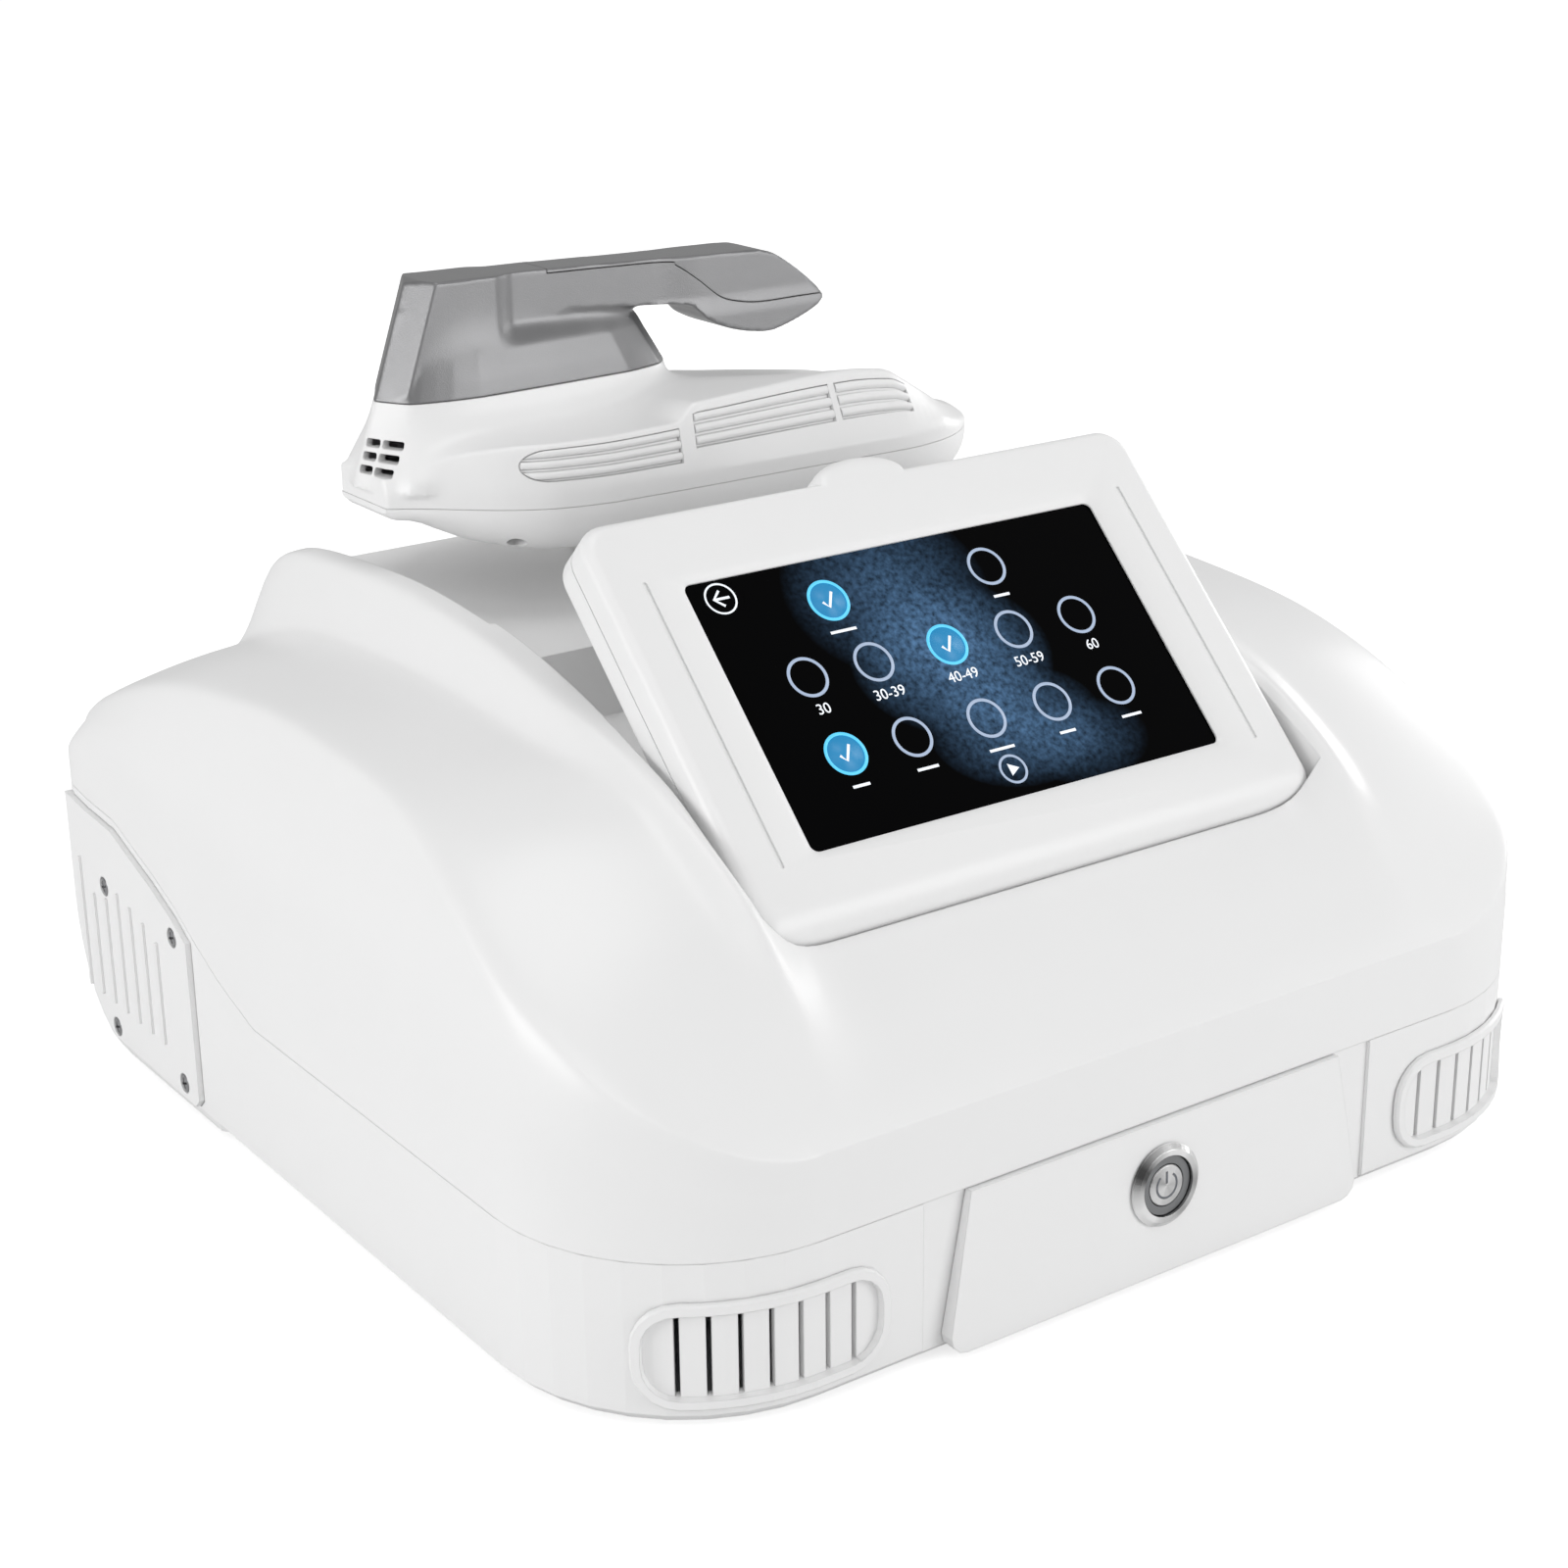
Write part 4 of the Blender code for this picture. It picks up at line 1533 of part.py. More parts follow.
def handle(material, parent):
    """Silver handle: a paddle on a post, with a cap over the paddle's top and round its end."""
    foot = NECK_TOP + GAP

    def place(share_x, share_z):
        return NECK_LEFT + GRIP_LENGTH * share_x, foot + GRIP_HEIGHT * share_z

    strip, gap = COVER_STRIP / GRIP_HEIGHT, GAP / GRIP_HEIGHT
    start, edge = COVER_STRIP_START_SHARE, GAP / GRIP_LENGTH
    lift = NECK_LEAN * GRIP_HEIGHT / GRIP_LENGTH
    top_z = 0.98
    outline = [place(0.0, 0.0), place(0.86 * lift, 0.86), place(lift, 0.975), place(lift * 1.25, 1.0)]
    outline += [place(start - edge, top_z), place(start - edge, top_z - strip)]
    outline += [place(*shares) for shares in GRIP_SEAM_SHARES + GRIP_TIP_SHARES]
    outline.append(place(0.30, 0.40))
    low, high = HEAD_Y - GRIP_HALF_WIDTH, HEAD_Y + GRIP_HALF_WIDTH
    grip = softened(extruded(outline, low, high, "xzy"), GRIP_BEVEL)
    rings = []
    for share, right, half in POST_RINGS:
        rings.append(boat_ring(foot + GRIP_HEIGHT * share, right, half))
    skirt = box((HEAD_LEFT, low - HEAD_HALF_DEPTH, foot - OVERRUN),
                (HEAD_X_END, high + HEAD_HALF_DEPTH, foot))
    piece("handle_grip", cut(joined(grip, loft(rings)), skirt), material, parent, angle=40.0)
    top = [place(start + edge, top_z)] + [place(*shares) for shares in GRIP_TOP_SHARES]
    under = [place(share_x + edge, share_z + gap) for share_x, share_z in GRIP_SEAM_SHARES]
    under.insert(0, place(start + edge, top_z - strip + gap))
    cover = softened(extruded(top + under[::-1], low, high, "xzy"), COVER_STRIP / 2)
    piece("handle_cover", cover, material, parent, angle=40.0)


HEAD_X_END = HEAD_LEFT + HEAD_LENGTH


def softened(mesh, width):
    """The mesh with its long edges rounded."""
    sheet = bmesh.new()
    sheet.from_mesh(mesh)
    sharp = [edge for edge in sheet.edges if len(edge.link_faces) == 2 and edge.calc_face_angle(0.0) > 1.2]
    bmesh.ops.bevel(sheet, geom=sharp, offset=width, segments=3, profile=0.5, affect="EDGES",
                    clamp_overlap=True)
    sheet.to_mesh(mesh)
    sheet.free()
    return mesh


def main():
    """Build the whole machine."""
    for thing in list(bpy.data.objects):
        bpy.data.objects.remove(thing, do_unlink=True)
    finishes = {
        "white": finish("white_plastic", (0.86, 0.86, 0.86), 0.35),
        "silver": finish("silver_paint", (0.52, 0.52, 0.53), 0.38, 0.6),
        "steel": finish("stainless_steel", (0.62, 0.62, 0.62), 0.25, 1.0),
        "panel_metal": finish("plated_steel", (0.55, 0.56, 0.57), 0.4, 1.0),
        "aluminium": finish("aluminium", (0.6, 0.6, 0.62), 0.4, 1.0),
        "glass": finish("display_black", (0.01, 0.01, 0.012), 0.08),
        "grey_plastic": finish("light_ring_grey", (0.22, 0.22, 0.22), 0.4),
        "black_plastic": finish("black_plastic", (0.03, 0.03, 0.03), 0.5),
        "red_plastic": finish("rocker_red", (0.55, 0.04, 0.03), 0.4),
        "blue_plastic": finish("capacitor_sleeve", (0.05, 0.1, 0.25), 0.4),
        "pale_plastic": finish("pad_white", (0.8, 0.8, 0.79), 0.45),
        "copper": finish("copper_winding", (0.6, 0.27, 0.14), 0.35, 1.0),
        "board": finish("board_green", (0.03, 0.16, 0.07), 0.5),
        "rubber": finish("foot_rubber", (0.04, 0.04, 0.04), 0.8),
    }
    white = finishes["white"]
    lip = button_frame() @ Vector((0.0, BUTTON_PROUD * BEZEL_CHAMFER_SHARE - BUTTON_FLANGE_RADIUS,
                                   BUTTON_PROUD))
    machine = axis_empty("machine", (0.0, -(BODY_DEPTH + lip.y) / 2, FOOT_STANDS))
    base_shell(white, machine)
    upper_casing(white, machine)
    button_panel(white, machine)
    grille = grille_mesh()
    piece("vent_grille_left", mirrored(grille), white, machine)
    piece("vent_grille_right", grille, white, machine)
    cover = side_cover_mesh()
    piece("side_cover_left", mirrored(cover), white, machine)
    piece("side_cover_right", cover, white, machine)
    screw = screw_mesh()
    seat_x = COVER_FACE_X - SCREW_HEAD_HEIGHT + GAP
    for side, name in ((-1, "left"), (1, "right")):
        for number, (y, z) in enumerate(screw_places(), start=1):
            made = piece("screw_%s_%d" % (name, number), screw, finishes["steel"], machine)
            made.location = (side * seat_x, y, z)
            made.rotation_euler = (0.0, side * math.pi / 2, 0.0)
    hinge = axis_empty("lid_axis", (0.0, HINGE_Y, HINGE_Z), machine, (LID_TILT, 0.0, 0.0))
    lid_parts(finishes, hinge)
    fixed = axis_empty("button_frame", (0, 0, 0), machine)
    fixed.matrix_local = button_frame()
    moving = axis_empty("button_axis", (0, 0, 0), fixed)
    button_parts(finishes, fixed, moving)
    rear_parts(finishes, machine)
    works(finishes, machine)
    foot = turned(disc_profile(FOOT_RADIUS, -FOOT_STANDS, -GAP), SMALL_ROUND)
    for x, side in ((-FOOT_X, "left"), (FOOT_X, "right")):
        for y, end in zip(FOOT_Y, ("front", "rear")):
            made = piece("foot_%s_%s" % (end, side), foot, finishes["rubber"], machine)
            made.location = (x, y, 0.0)
    lifted = axis_empty("applicator_lift", (0.0, 0.0, 0.0), machine)
    applicator(finishes, lifted)


main()
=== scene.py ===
"""Looks for the table-top muscle-stimulation machine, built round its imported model.

Lengths are in metres in the machine's own frame, as in the CAD source: X to the right, Y from
the panel's foot to the back, Z up from the underside of the base. The frame's own origin lies
under the middle of the footprint, so every mesh made here is moved by OFFSET at the end.
"""

import json
import math

import bmesh
import bpy
import numpy as np
from mathutils import Matrix, Vector


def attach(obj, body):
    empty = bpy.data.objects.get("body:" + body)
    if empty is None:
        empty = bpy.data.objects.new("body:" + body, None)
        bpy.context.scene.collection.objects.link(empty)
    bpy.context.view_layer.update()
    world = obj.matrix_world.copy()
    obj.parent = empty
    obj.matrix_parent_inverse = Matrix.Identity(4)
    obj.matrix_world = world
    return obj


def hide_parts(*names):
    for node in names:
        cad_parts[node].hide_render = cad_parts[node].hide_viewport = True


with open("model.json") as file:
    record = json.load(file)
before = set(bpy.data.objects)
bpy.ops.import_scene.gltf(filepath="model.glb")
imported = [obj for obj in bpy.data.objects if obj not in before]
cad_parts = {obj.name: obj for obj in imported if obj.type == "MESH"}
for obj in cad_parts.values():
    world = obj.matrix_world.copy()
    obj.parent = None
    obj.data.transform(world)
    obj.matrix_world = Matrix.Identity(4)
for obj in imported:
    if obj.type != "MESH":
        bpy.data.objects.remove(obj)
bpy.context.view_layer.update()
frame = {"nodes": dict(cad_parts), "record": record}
nodes = frame["nodes"]

OFFSET = Vector((0.0, -0.1753218, 0.0033))
GAP = 0.0003
OVERRUN = 0.0040
CURVE_STEPS = 6

# Camera of the photograph
CAMERA_PLACE = (-0.5044, -0.5275, 0.4179)
CAMERA_HEADING = 35.26
CAMERA_DIP = 20.296
CAMERA_ROLL = -0.6515
CAMERA_LENS = 65.72
SENSOR = 36.0

# Body
BODY_HALF_WIDTH = 0.1805
BODY_DEPTH = 0.3520
BODY_HEIGHT = 0.1720
FRONT_WALL_Y = 0.0040
FRONT_RADIUS = 0.0620
REAR_RADIUS = 0.0110
WALL = 0.0030
FRONT_CORNER_X = BODY_HALF_WIDTH - FRONT_RADIUS
FRONT_CORNER_Y = FRONT_WALL_Y + FRONT_RADIUS
SEAM_SHARES = (
    (0.600, 0.279), (0.666, 0.321), (0.712, 0.365), (0.750, 0.408),
    (0.794, 0.444), (0.840, 0.475), (0.877, 0.500), (0.938, 0.507), (1.000, 0.524),
)
CREASE_SHARES = (
    (0.011, 0.422), (0.030, 0.461), (0.051, 0.503), (0.077, 0.535), (0.128, 0.587), (0.188, 0.640),
    (0.267, 0.727), (0.355, 0.802), (0.412, 0.826), (0.585, 0.843), (0.696, 0.820),
    (0.812, 0.779), (0.909, 0.709), (1.000, 0.605),
)
CREASE_INSET_SHARES = (
    (0.011, 0.000), (0.051, 0.000), (0.128, 0.018), (0.188, 0.016), (0.267, 0.030), (0.355, 0.055),
    (0.412, 0.068), (0.585, 0.069), (0.747, 0.055), (0.869, 0.039), (0.952, 0.032), (1.000, 0.045),
)
DECK_SHARES = (
    (0.011, 0.424), (0.023, 0.454), (0.057, 0.527), (0.094, 0.612), (0.170, 0.727), (0.284, 0.834),
    (0.389, 0.866), (0.568, 0.884), (0.722, 0.871), (0.872, 0.802), (0.980, 0.706), (1.000, 0.680),
)
DISH_SHARES = ((0.011, 0.000), (0.057, 0.023), (0.140, 0.024))
CREST_SHARES = (
    (0.011, 0.424), (0.085, 0.592), (0.108, 0.650), (0.126, 0.698), (0.162, 0.748), (0.213, 0.805),
    (0.295, 0.863), (0.399, 0.933), (0.523, 0.983), (0.653, 1.000), (0.790, 0.988),
    (0.861, 0.971), (0.892, 0.951), (0.915, 0.919), (0.929, 0.872), (0.940, 0.814),
    (0.960, 0.756), (0.983, 0.715), (1.000, 0.686),
)
CREST_X_SHARES = ((0.000, 0.587), (0.295, 0.587), (0.399, 0.620), (1.000, 0.620))
FILL_SHARES = ((0.142, 0.0), (0.168, 1.0))
RIDGE_SLOPE = 0.0120
RIDGE_SHARES = ((0.0, 0.0), (0.16, 0.10), (0.42, 0.42), (0.67, 0.80), (0.86, 0.96), (1.0, 1.0))
RIDGE_LIP = 0.0020
FILLET = 0.0080
FILLET_SHARE = 0.6
FILLET_RISE_SHARE = 0.45
LEAN_SHARE = 0.58
STATION_PITCH = 0.0038
CORNER_STEPS = 26
FILLET_PULLS = (0.2, 0.8)
FOLD_ROUNDS = 10
FOLD_KEEP = 7
FOLD_STATIONS = (2, -9)
BULGE = 1.7
SILL_SHARES = (
    (0.011, 0.424), (0.023, 0.452), (0.057, 0.502), (0.094, 0.562), (0.125, 0.600), (0.148, 0.628), (0.180, 0.640),
)
SILL_SIDE_SHARES = ((0.0, 0.0), (0.82, 0.0), (0.90, 0.18), (0.96, 0.62), (1.0, 1.0))
SILL_END_SHARES = ((0.0, 1.0), (0.180, 1.0), (0.260, 0.0))

# Lid, tray and notch
HINGE_Y = BODY_DEPTH * 0.17145
HINGE_Z = BODY_HEIGHT * 0.64855
LID_TILT = 44.6
LID_HALF_WIDTH = BODY_HALF_WIDTH * 0.5651
LID_LENGTH = BODY_DEPTH * 0.35795
LID_HALF_THICKNESS = 0.0100
LID_CORNER = 0.0095
LID_EDGE = 0.0035
LID_WALL = 0.0024
TAB_HALF_WIDTH = 0.0165
TAB_LENGTH = 0.0070
SCREEN_HALF_WIDTH = LID_HALF_WIDTH * 0.7471
SCREEN_LENGTH = LID_LENGTH * 0.6984
SCREEN_START = LID_LENGTH * 0.1111
SCREEN_BEVEL = 0.0026
SCREEN_BEVEL_DEPTH = 0.0018
GROOVE_X = LID_HALF_WIDTH * 0.8676
GROOVE_WIDTH = 0.0012
GROOVE_DEPTH = 0.0006
GROOVE_START = LID_LENGTH * 0.092
GROOVE_END = LID_LENGTH * 0.83
PIN_RADIUS = 0.0030
PIN_OUTER_X = LID_HALF_WIDTH + 0.0114
POCKET_CLEARANCE = 0.0024
TROUGH_CLEARANCE = 0.0008
POCKET_FLOOR_TILT = 14.2
POCKET_END_Y = HINGE_Y + LID_LENGTH * 0.9972
TRAY_HALF_WIDTH = LID_HALF_WIDTH + 0.0042
TRAY_HEIGHT = BODY_HEIGHT * 0.9029
BOSS_X = LID_HALF_WIDTH + 0.0150
SIDE_CAVITY_X = LID_HALF_WIDTH + 0.0100
NOTCH_HALF_WIDTH = 0.0250
NOTCH_DEPTH = 0.0140
NOTCH_FLOOR = TRAY_HEIGHT * 0.9369
LID_FOOT_CORNER_SHARE = 0.42
PIN_INSET = 0.0063
LID_FOOT_WALL = LID_EDGE * 2.3

# Applicator
HEAD_LEFT = -BODY_HALF_WIDTH * 0.5817
HEAD_LENGTH = BODY_HALF_WIDTH * 1.2632
HEAD_Y = BODY_DEPTH * 0.75284
HEAD_HALF_DEPTH = BODY_DEPTH * 0.14773
HEAD_SEAM = TRAY_HEIGHT + 0.0351
HEAD_RISE = 0.0270
HEAD_DROP = 0.0164
HEAD_FACE_FOOT = 0.0070
HEAD_WALL = 0.0028
FLANK_FOOT_SHARE = 0.15
END_SQUARENESS = 0.9
END_WALL_SHARE = 0.12
END_SPOTS = (0.004, 0.009, 0.985, 0.99, 0.994, 0.9975)
FACE_TOP_SHARE = 0.96
FACE_LEANS = (0.1, 0.9)
HEAD_TOP_ROWS = ((-0.05, 1.0), (0.22, 0.97), (0.48, 0.74), (0.72, 0.46), (0.90, 0.24), (1.0, 0.06))
SKIN_ROUNDS = 3
SKIN_PULL, SKIN_PUSH = 0.55, 0.57
NORMAL_ROUNDS = 8
HEAD_VOXEL = 0.0010
HEAD_FILL_ROUNDS = 160
HEAD_PLAN_SHARES = (
    (0.000, 0.29), (0.030, 0.38), (0.074, 0.55), (0.132, 0.77), (0.197, 0.92), (0.285, 0.99),
    (0.461, 1.00), (0.772, 1.00), (0.833, 0.96), (0.886, 0.87), (0.930, 0.72), (0.961, 0.56),
    (0.982, 0.39), (0.996, 0.20), (1.000, 0.10),
)
HEAD_FRONT_SHARES = (
    (0.000, 0.37), (0.073, 0.61), (0.146, 0.73), (0.384, 0.78), (0.412, 0.98), (0.689, 1.00),
    (0.772, 0.93), (0.803, 0.80), (0.833, 0.65), (0.860, 0.52), (0.886, 0.39), (0.908, 0.30),
    (0.930, 0.22), (0.961, 0.13), (1.000, 0.05),
)
HEAD_CENTRE_SHARES = (
    (0.000, 0.35), (0.105, 0.61), (0.294, 0.70), (0.425, 0.82), (0.509, 0.90), (0.596, 0.82),
    (0.715, 0.69), (0.820, 0.55), (0.899, 0.31), (0.961, 0.13), (1.000, 0.04),
)
HEAD_DROP_SHARES = (
    (0.000, 0.12), (0.013, 0.26), (0.035, 0.30), (0.075, 0.55), (0.114, 0.78), (0.219, 1.00),
    (0.877, 1.00), (0.934, 0.93), (0.974, 0.74), (1.000, 0.30),
)
LOUVRE_LEAN = 0.0110
LOUVRE_LEAN_SHARES = ((0.000, 0.20), (0.400, 0.36), (0.660, 1.00), (1.000, 1.15))
LOUVRES = (
    ("left", (0.147, 0.382), (0.12, 0.93), 0.0085), ("middle", (0.408, 0.655), (0.30, 0.90), 0.0),
    ("right", (0.669, 0.800), (0.30, 0.90), 0.0),
)
LOUVRE_RECESS = 0.0016
LOUVRE_SLATS = 3
SLAT_FOOT, SLAT_MIDDLE, SLAT_HALF, SLAT_ROUND = 0.22, 0.62, 0.36, 0.6
VENT_ROWS = 3
VENT_HEIGHT = 0.0026
VENT_PITCH = 0.0040
VENT_FOOT = HEAD_SEAM + VENT_PITCH * 2.3
VENT_PLACES = ((0.0036, 0.0028), (0.0113, 0.0040))
VENT_ANGLE = 64.0
VENT_REACH = (-0.0080, 0.0040)
HOSE_SEAT = Vector((-BODY_HALF_WIDTH * 0.3102, HEAD_Y + 0.0164, HEAD_SEAM + HEAD_RISE * 0.8296))
HOSE_PIT_RADIUS = 0.0066
HOSE_PIT_LENGTH = 0.0300
HOSE_BORE_RADIUS = 0.0053
HOSE_BORE_DEPTH = 0.0068
LAMP_PIT = Vector((-0.0700, HEAD_Y - 0.0330, 0.1806))
LAMP_PIT_AIM = Vector((-0.25, -0.75, -0.55))
LAMP_PIT_RADIUS = 0.0030
LAMP_PIT_ENDS = (-0.004, 0.01)
NECK_TOP = HEAD_SEAM + HEAD_RISE * 1.1333
NECK_FOOT = HEAD_SEAM + HEAD_RISE * 0.3185
NECK_LEAN = 0.345
NECK_LEFT = -BODY_HALF_WIDTH * 0.51856
NECK_RINGS = (
    (0.0, 0.0071, 0.0158), (0.25, 0.0090, 0.0170), (0.48, 0.0125, 0.0200), (0.70, 0.0180, 0.0245),
    (1.0, 0.0240, 0.0300),
)
NECK_FILL = ((0.032, 0.052), (0.034, 0.046), (0.009, 0.003))
NECK_ROOT = 0.0040
BOAT_SPREAD = 1.4
BOAT_SHARES = (
    (0.000, 0.03), (0.012, 0.20), (0.055, 0.70), (0.075, 0.77), (0.120, 0.85), (0.190, 0.94), (0.280, 1.00),
    (0.550, 0.90), (0.830, 0.76), (0.950, 0.50), (1.000, 0.16),
)
PROW = 0.0056
PROW_PLAN = ((0.0, 0.0), (0.0053, -0.0110), (0.0300, -0.0160), (0.2600, -0.0160))
GRIP_LENGTH = BODY_HALF_WIDTH * 0.8892
GRIP_HEIGHT = 0.0364
GRIP_HALF_WIDTH = 0.0110
GRIP_BEVEL = 0.0030
BEVEL_FROM = 1.2
GRIP_MARGIN = 0.01
GRIP_VOXEL = 0.0007
GRIP_FILL_ROUNDS = 220
GRIP_TOP_SHARES = (
    (0.566, 0.948), (0.751, 0.926), (0.826, 0.918), (0.854, 0.898), (0.883, 0.852), (0.931, 0.714),
    (0.979, 0.544), (0.998, 0.448),
)
GRIP_SEAM_SHARES = (
    (0.604, 0.907), (0.640, 0.860), (0.685, 0.723), (0.740, 0.538), (0.789, 0.470),
    (0.843, 0.442), (0.930, 0.445), (1.000, 0.437),
)
GRIP_TIP_SHARES = (
    (1.000, 0.429), (0.997, 0.387), (0.978, 0.319), (0.929, 0.231), (0.870, 0.162), (0.823, 0.173),
    (0.783, 0.209), (0.748, 0.258), (0.710, 0.341), (0.688, 0.426), (0.655, 0.503), (0.520, 0.552),
    (0.378, 0.602),
)
POST_RINGS = (
    (0.00, 0.0071, 0.0158), (0.16, 0.0036, 0.0150), (0.32, 0.0000, 0.0136), (0.48, -0.0036, 0.0118),
    (0.62, -0.0110, 0.0106), (0.74, -0.0240, 0.0098),
)
COVER_STRIP = 0.0014
COVER_START_SHARE = 0.336
COVER_TOP_SHARE = 0.98
COVER_END_X, COVER_END_Z = 0.09, 0.29
GRIP_END_SHARES = ((0.0, 0.0), (0.86, 0.86), (1.0, 0.975), (1.25, 1.0))
GRIP_ROOT_SHARES = (0.30, 0.40)
POST_ROOT = 0.0040
ARM_ROOT = (-0.0610, -0.0520)
ARM_LEDGE = (0.2340, 0.2420)
ARM_WIDENING = (0.0, 0.022)
ARM_DRAW = 0.27
ARM_FILL = ((-0.078, -0.088), (0.004, 0.012), (0.2525, 0.2545))
SLAB_X, SLAB_Y = 0.3, 0.5

# Button, display and screws
PANEL_HEIGHT = BODY_HEIGHT * 0.279
BUTTON_HEIGHT = PANEL_HEIGHT * 0.5855
PANEL_TOP_Y = 0.00236
BUTTON_CAP_TOP = 0.0014
SYMBOL_LEVEL = BUTTON_CAP_TOP - 0.00001
SYMBOL_THICKNESS = 0.00005
# Painted reflection streaks on the button's steel: their mean, then waves, shift and level of each
STEEL_REFLECTION_MEAN = 0.66
STEEL_REFLECTION_STREAKS = ((2, -0.32, 0.40), (3, 0.37, 0.22), (7, -3.87, 0.08))
GLOW_SPOTS = (
    (-0.010, 0.088, (0.036, 0.030, 0.030), 0.26), (0.000, 0.062, (0.036, 0.026, 0.026), 0.46),
    (0.010, 0.036, (0.032, 0.020, 0.020), 0.34), (0.030, 0.026, (0.024, 0.014, 0.014), 0.16),
)
GLOW_LEVEL = 0.0073
SIGN_LEVEL = 0.00733
SIGN_RADIUS = 0.0066
RING_STEPS = 64
SIGN_LINE_WIDTH = 0.0010
RING_SPOTS = (
    (0.0279, 0.0883), (-0.0504, 0.0661), (-0.0268, 0.0661), (0.0257, 0.0661), (0.0505, 0.0661),
    (-0.0267, 0.0405), (0.0007, 0.0405), (0.0258, 0.0405), (0.0510, 0.0405),
)
FILLED_SPOTS = ((-0.0314, 0.0883), (0.0004, 0.0661), (-0.0505, 0.0405))
PLAY_SPOT = (0.0008, 0.0231)
ARROW_SPOT = (-0.0655, 0.0960)
NUMBERS = (("30-39", -0.0268, 0.0661), ("40-49", 0.0004, 0.0661), ("50-59", 0.0257, 0.0661), ("60", 0.0505, 0.0661),
           ("30", -0.0504, 0.0661))
LABEL_DROP = 0.0112
NUMBER_SIZE = 0.0048
TICK = ((-0.0022, -0.0002), (-0.0006, -0.0022), (0.0022, 0.0026))
PLAY = ((-0.0013, -0.0020), (0.0022, 0.0), (-0.0013, 0.0020))
ARROW_HEAD = ((0.0004, 0.0026), (-0.0024, 0.0), (0.0004, -0.0026))
ARROW_SHAFT = ((-0.0022, 0.0), (0.0030, 0.0))
ARROW_WIDTH = 0.0008
SIGN_THICKNESS = 0.00006
SIGN_OVER = 0.00007
STROKE_WIDTH = 0.0009
SIGN_COLOURS = (
    ("line", (0.10, 0.12, 0.15), (0.42, 0.52, 0.70), 0.8), ("fill", (0.01, 0.10, 0.16), (0.01, 0.22, 0.50), 0.8),
    ("rim", (0.02, 0.20, 0.30), (0.12, 0.62, 0.95), 0.9), ("pale", (0.5, 0.5, 0.5), (0.85, 0.92, 1.0), 0.75),
)
SCREW_SEATS = [(BODY_DEPTH * share, z) for share in (0.7514, 0.9034) for z in (0.0095, BODY_HEIGHT * 0.3512)]
SCREW_HEAD_RADIUS = 0.0031
SCREW_HEAD_HEIGHT = 0.0016
SCREW_RADIUS = 0.0013
SCREW_LENGTH = 0.0074
SCREW_TURN = 0.35
SLOT_HALF_WIDTH = 0.00035
COVER_FACE_X = BODY_HALF_WIDTH + 0.0018

# Floor, world and lamps: name, place, aim, size, power
FLOOR_REACH = 6.0
FLOOR_LIFT = 0.64
WORLD_LEVEL = 0.48
LAMPS = (
    ("key", (-0.9, -1.0, 1.4), (0.0, 0.0, 0.10), 1.2, 3.5),
    ("front", (0.9, -1.7, 0.5), (0.0, 0.0, 0.08), 1.2, 12.0),
    ("top", (0.1, 0.1, 1.8), (0.0, 0.0, 0.10), 0.8, 4.5),
    ("left", (-1.8, 0.2, 0.3), (0.0, 0.0, 0.08), 1.0, 13.0),
    ("right", (1.8, 0.15, 0.35), (0.0, 0.0, 0.08), 1.0, 9.0),
)


# Curves and outlines

def smooth(rows, place, column=1):
    """The value at a place on a smooth curve through rows that start with a place, without overshoot."""
    spots = np.array([row[0] for row in rows])
    values = np.array([row[column] for row in rows])
    steps = np.diff(spots)
    rises = np.diff(values) / steps
    slopes = np.concatenate(([rises[0]], np.zeros(len(spots) - 2), [rises[-1]]))
    for spot in range(1, len(spots) - 1):
        before, after = rises[spot - 1], rises[spot]
        if before * after > 0:
            slopes[spot] = 2 * before * after / (before + after)
    here = int(np.clip(np.searchsorted(spots, place) - 1, 0, len(steps) - 1))
    along = float(np.clip((place - spots[here]) / steps[here], 0, 1))
    ahead = 1 - along
    return (values[here] * (1 + 2 * along) * ahead ** 2
            + values[here + 1] * (3 - 2 * along) * along ** 2
            + slopes[here] * steps[here] * along * ahead ** 2
            - slopes[here + 1] * steps[here] * ahead * along ** 2)


def straight(rows, place, column=1):
    """The value at a place on straight lines through rows that start with a place."""
    return float(np.interp(place, [row[0] for row in rows], [row[column] for row in rows]))


def fade(values, full, none):
    """One at the full mark, nought at the other, straight between them."""
    return np.clip((none - values) / (none - full), 0, 1)


def eased(values, none, full):
    """As fade, but level at both marks."""
    share = fade(values, full, none)
    return share * share * (3 - 2 * share)


def fractions(count):
    """Even steps from nought to one."""
    return [step / count for step in range(count + 1)]


def arc(middle, across, up, start, end, steps):
    """Points on an ellipse between two angles in degrees."""
    turns = [math.radians(start + (end - start) * step / steps) for step in range(steps + 1)]
    return [(middle[0] + across * math.cos(turn), middle[1] + up * math.sin(turn)) for turn in turns]


def rounded(low, high, radius, steps):
    """A rectangle with round corners, from its lowest to its highest corner."""
    outline = []
    corners = ((high[0], high[1], 0), (low[0], high[1], 90), (low[0], low[1], 180), (high[0], low[1], 270))
    for across, up, start in corners:
        middle = (across - math.copysign(radius, across - low[0] - radius),
                  up - math.copysign(radius, up - low[1] - radius))
        outline += arc(middle, radius, radius, start, start + 90, steps)
    return outline


def curve_through(points):
    """Points along a smooth curve through the given points."""
    ends = [points[0]] + list(points) + [points[-1]]
    made = []
    for spot in range(1, len(ends) - 2):
        a, b, c, d = (Vector(point) for point in ends[spot - 1:spot + 3])
        for t in fractions(CURVE_STEPS)[:-1]:
            made.append(tuple(0.5 * (2 * b + (c - a) * t + (2 * a - 5 * b + 4 * c - d) * t * t
                                     + (3 * b - a - 3 * c + d) * t ** 3)))
    return made + [tuple(points[-1])]


# Mesh tools

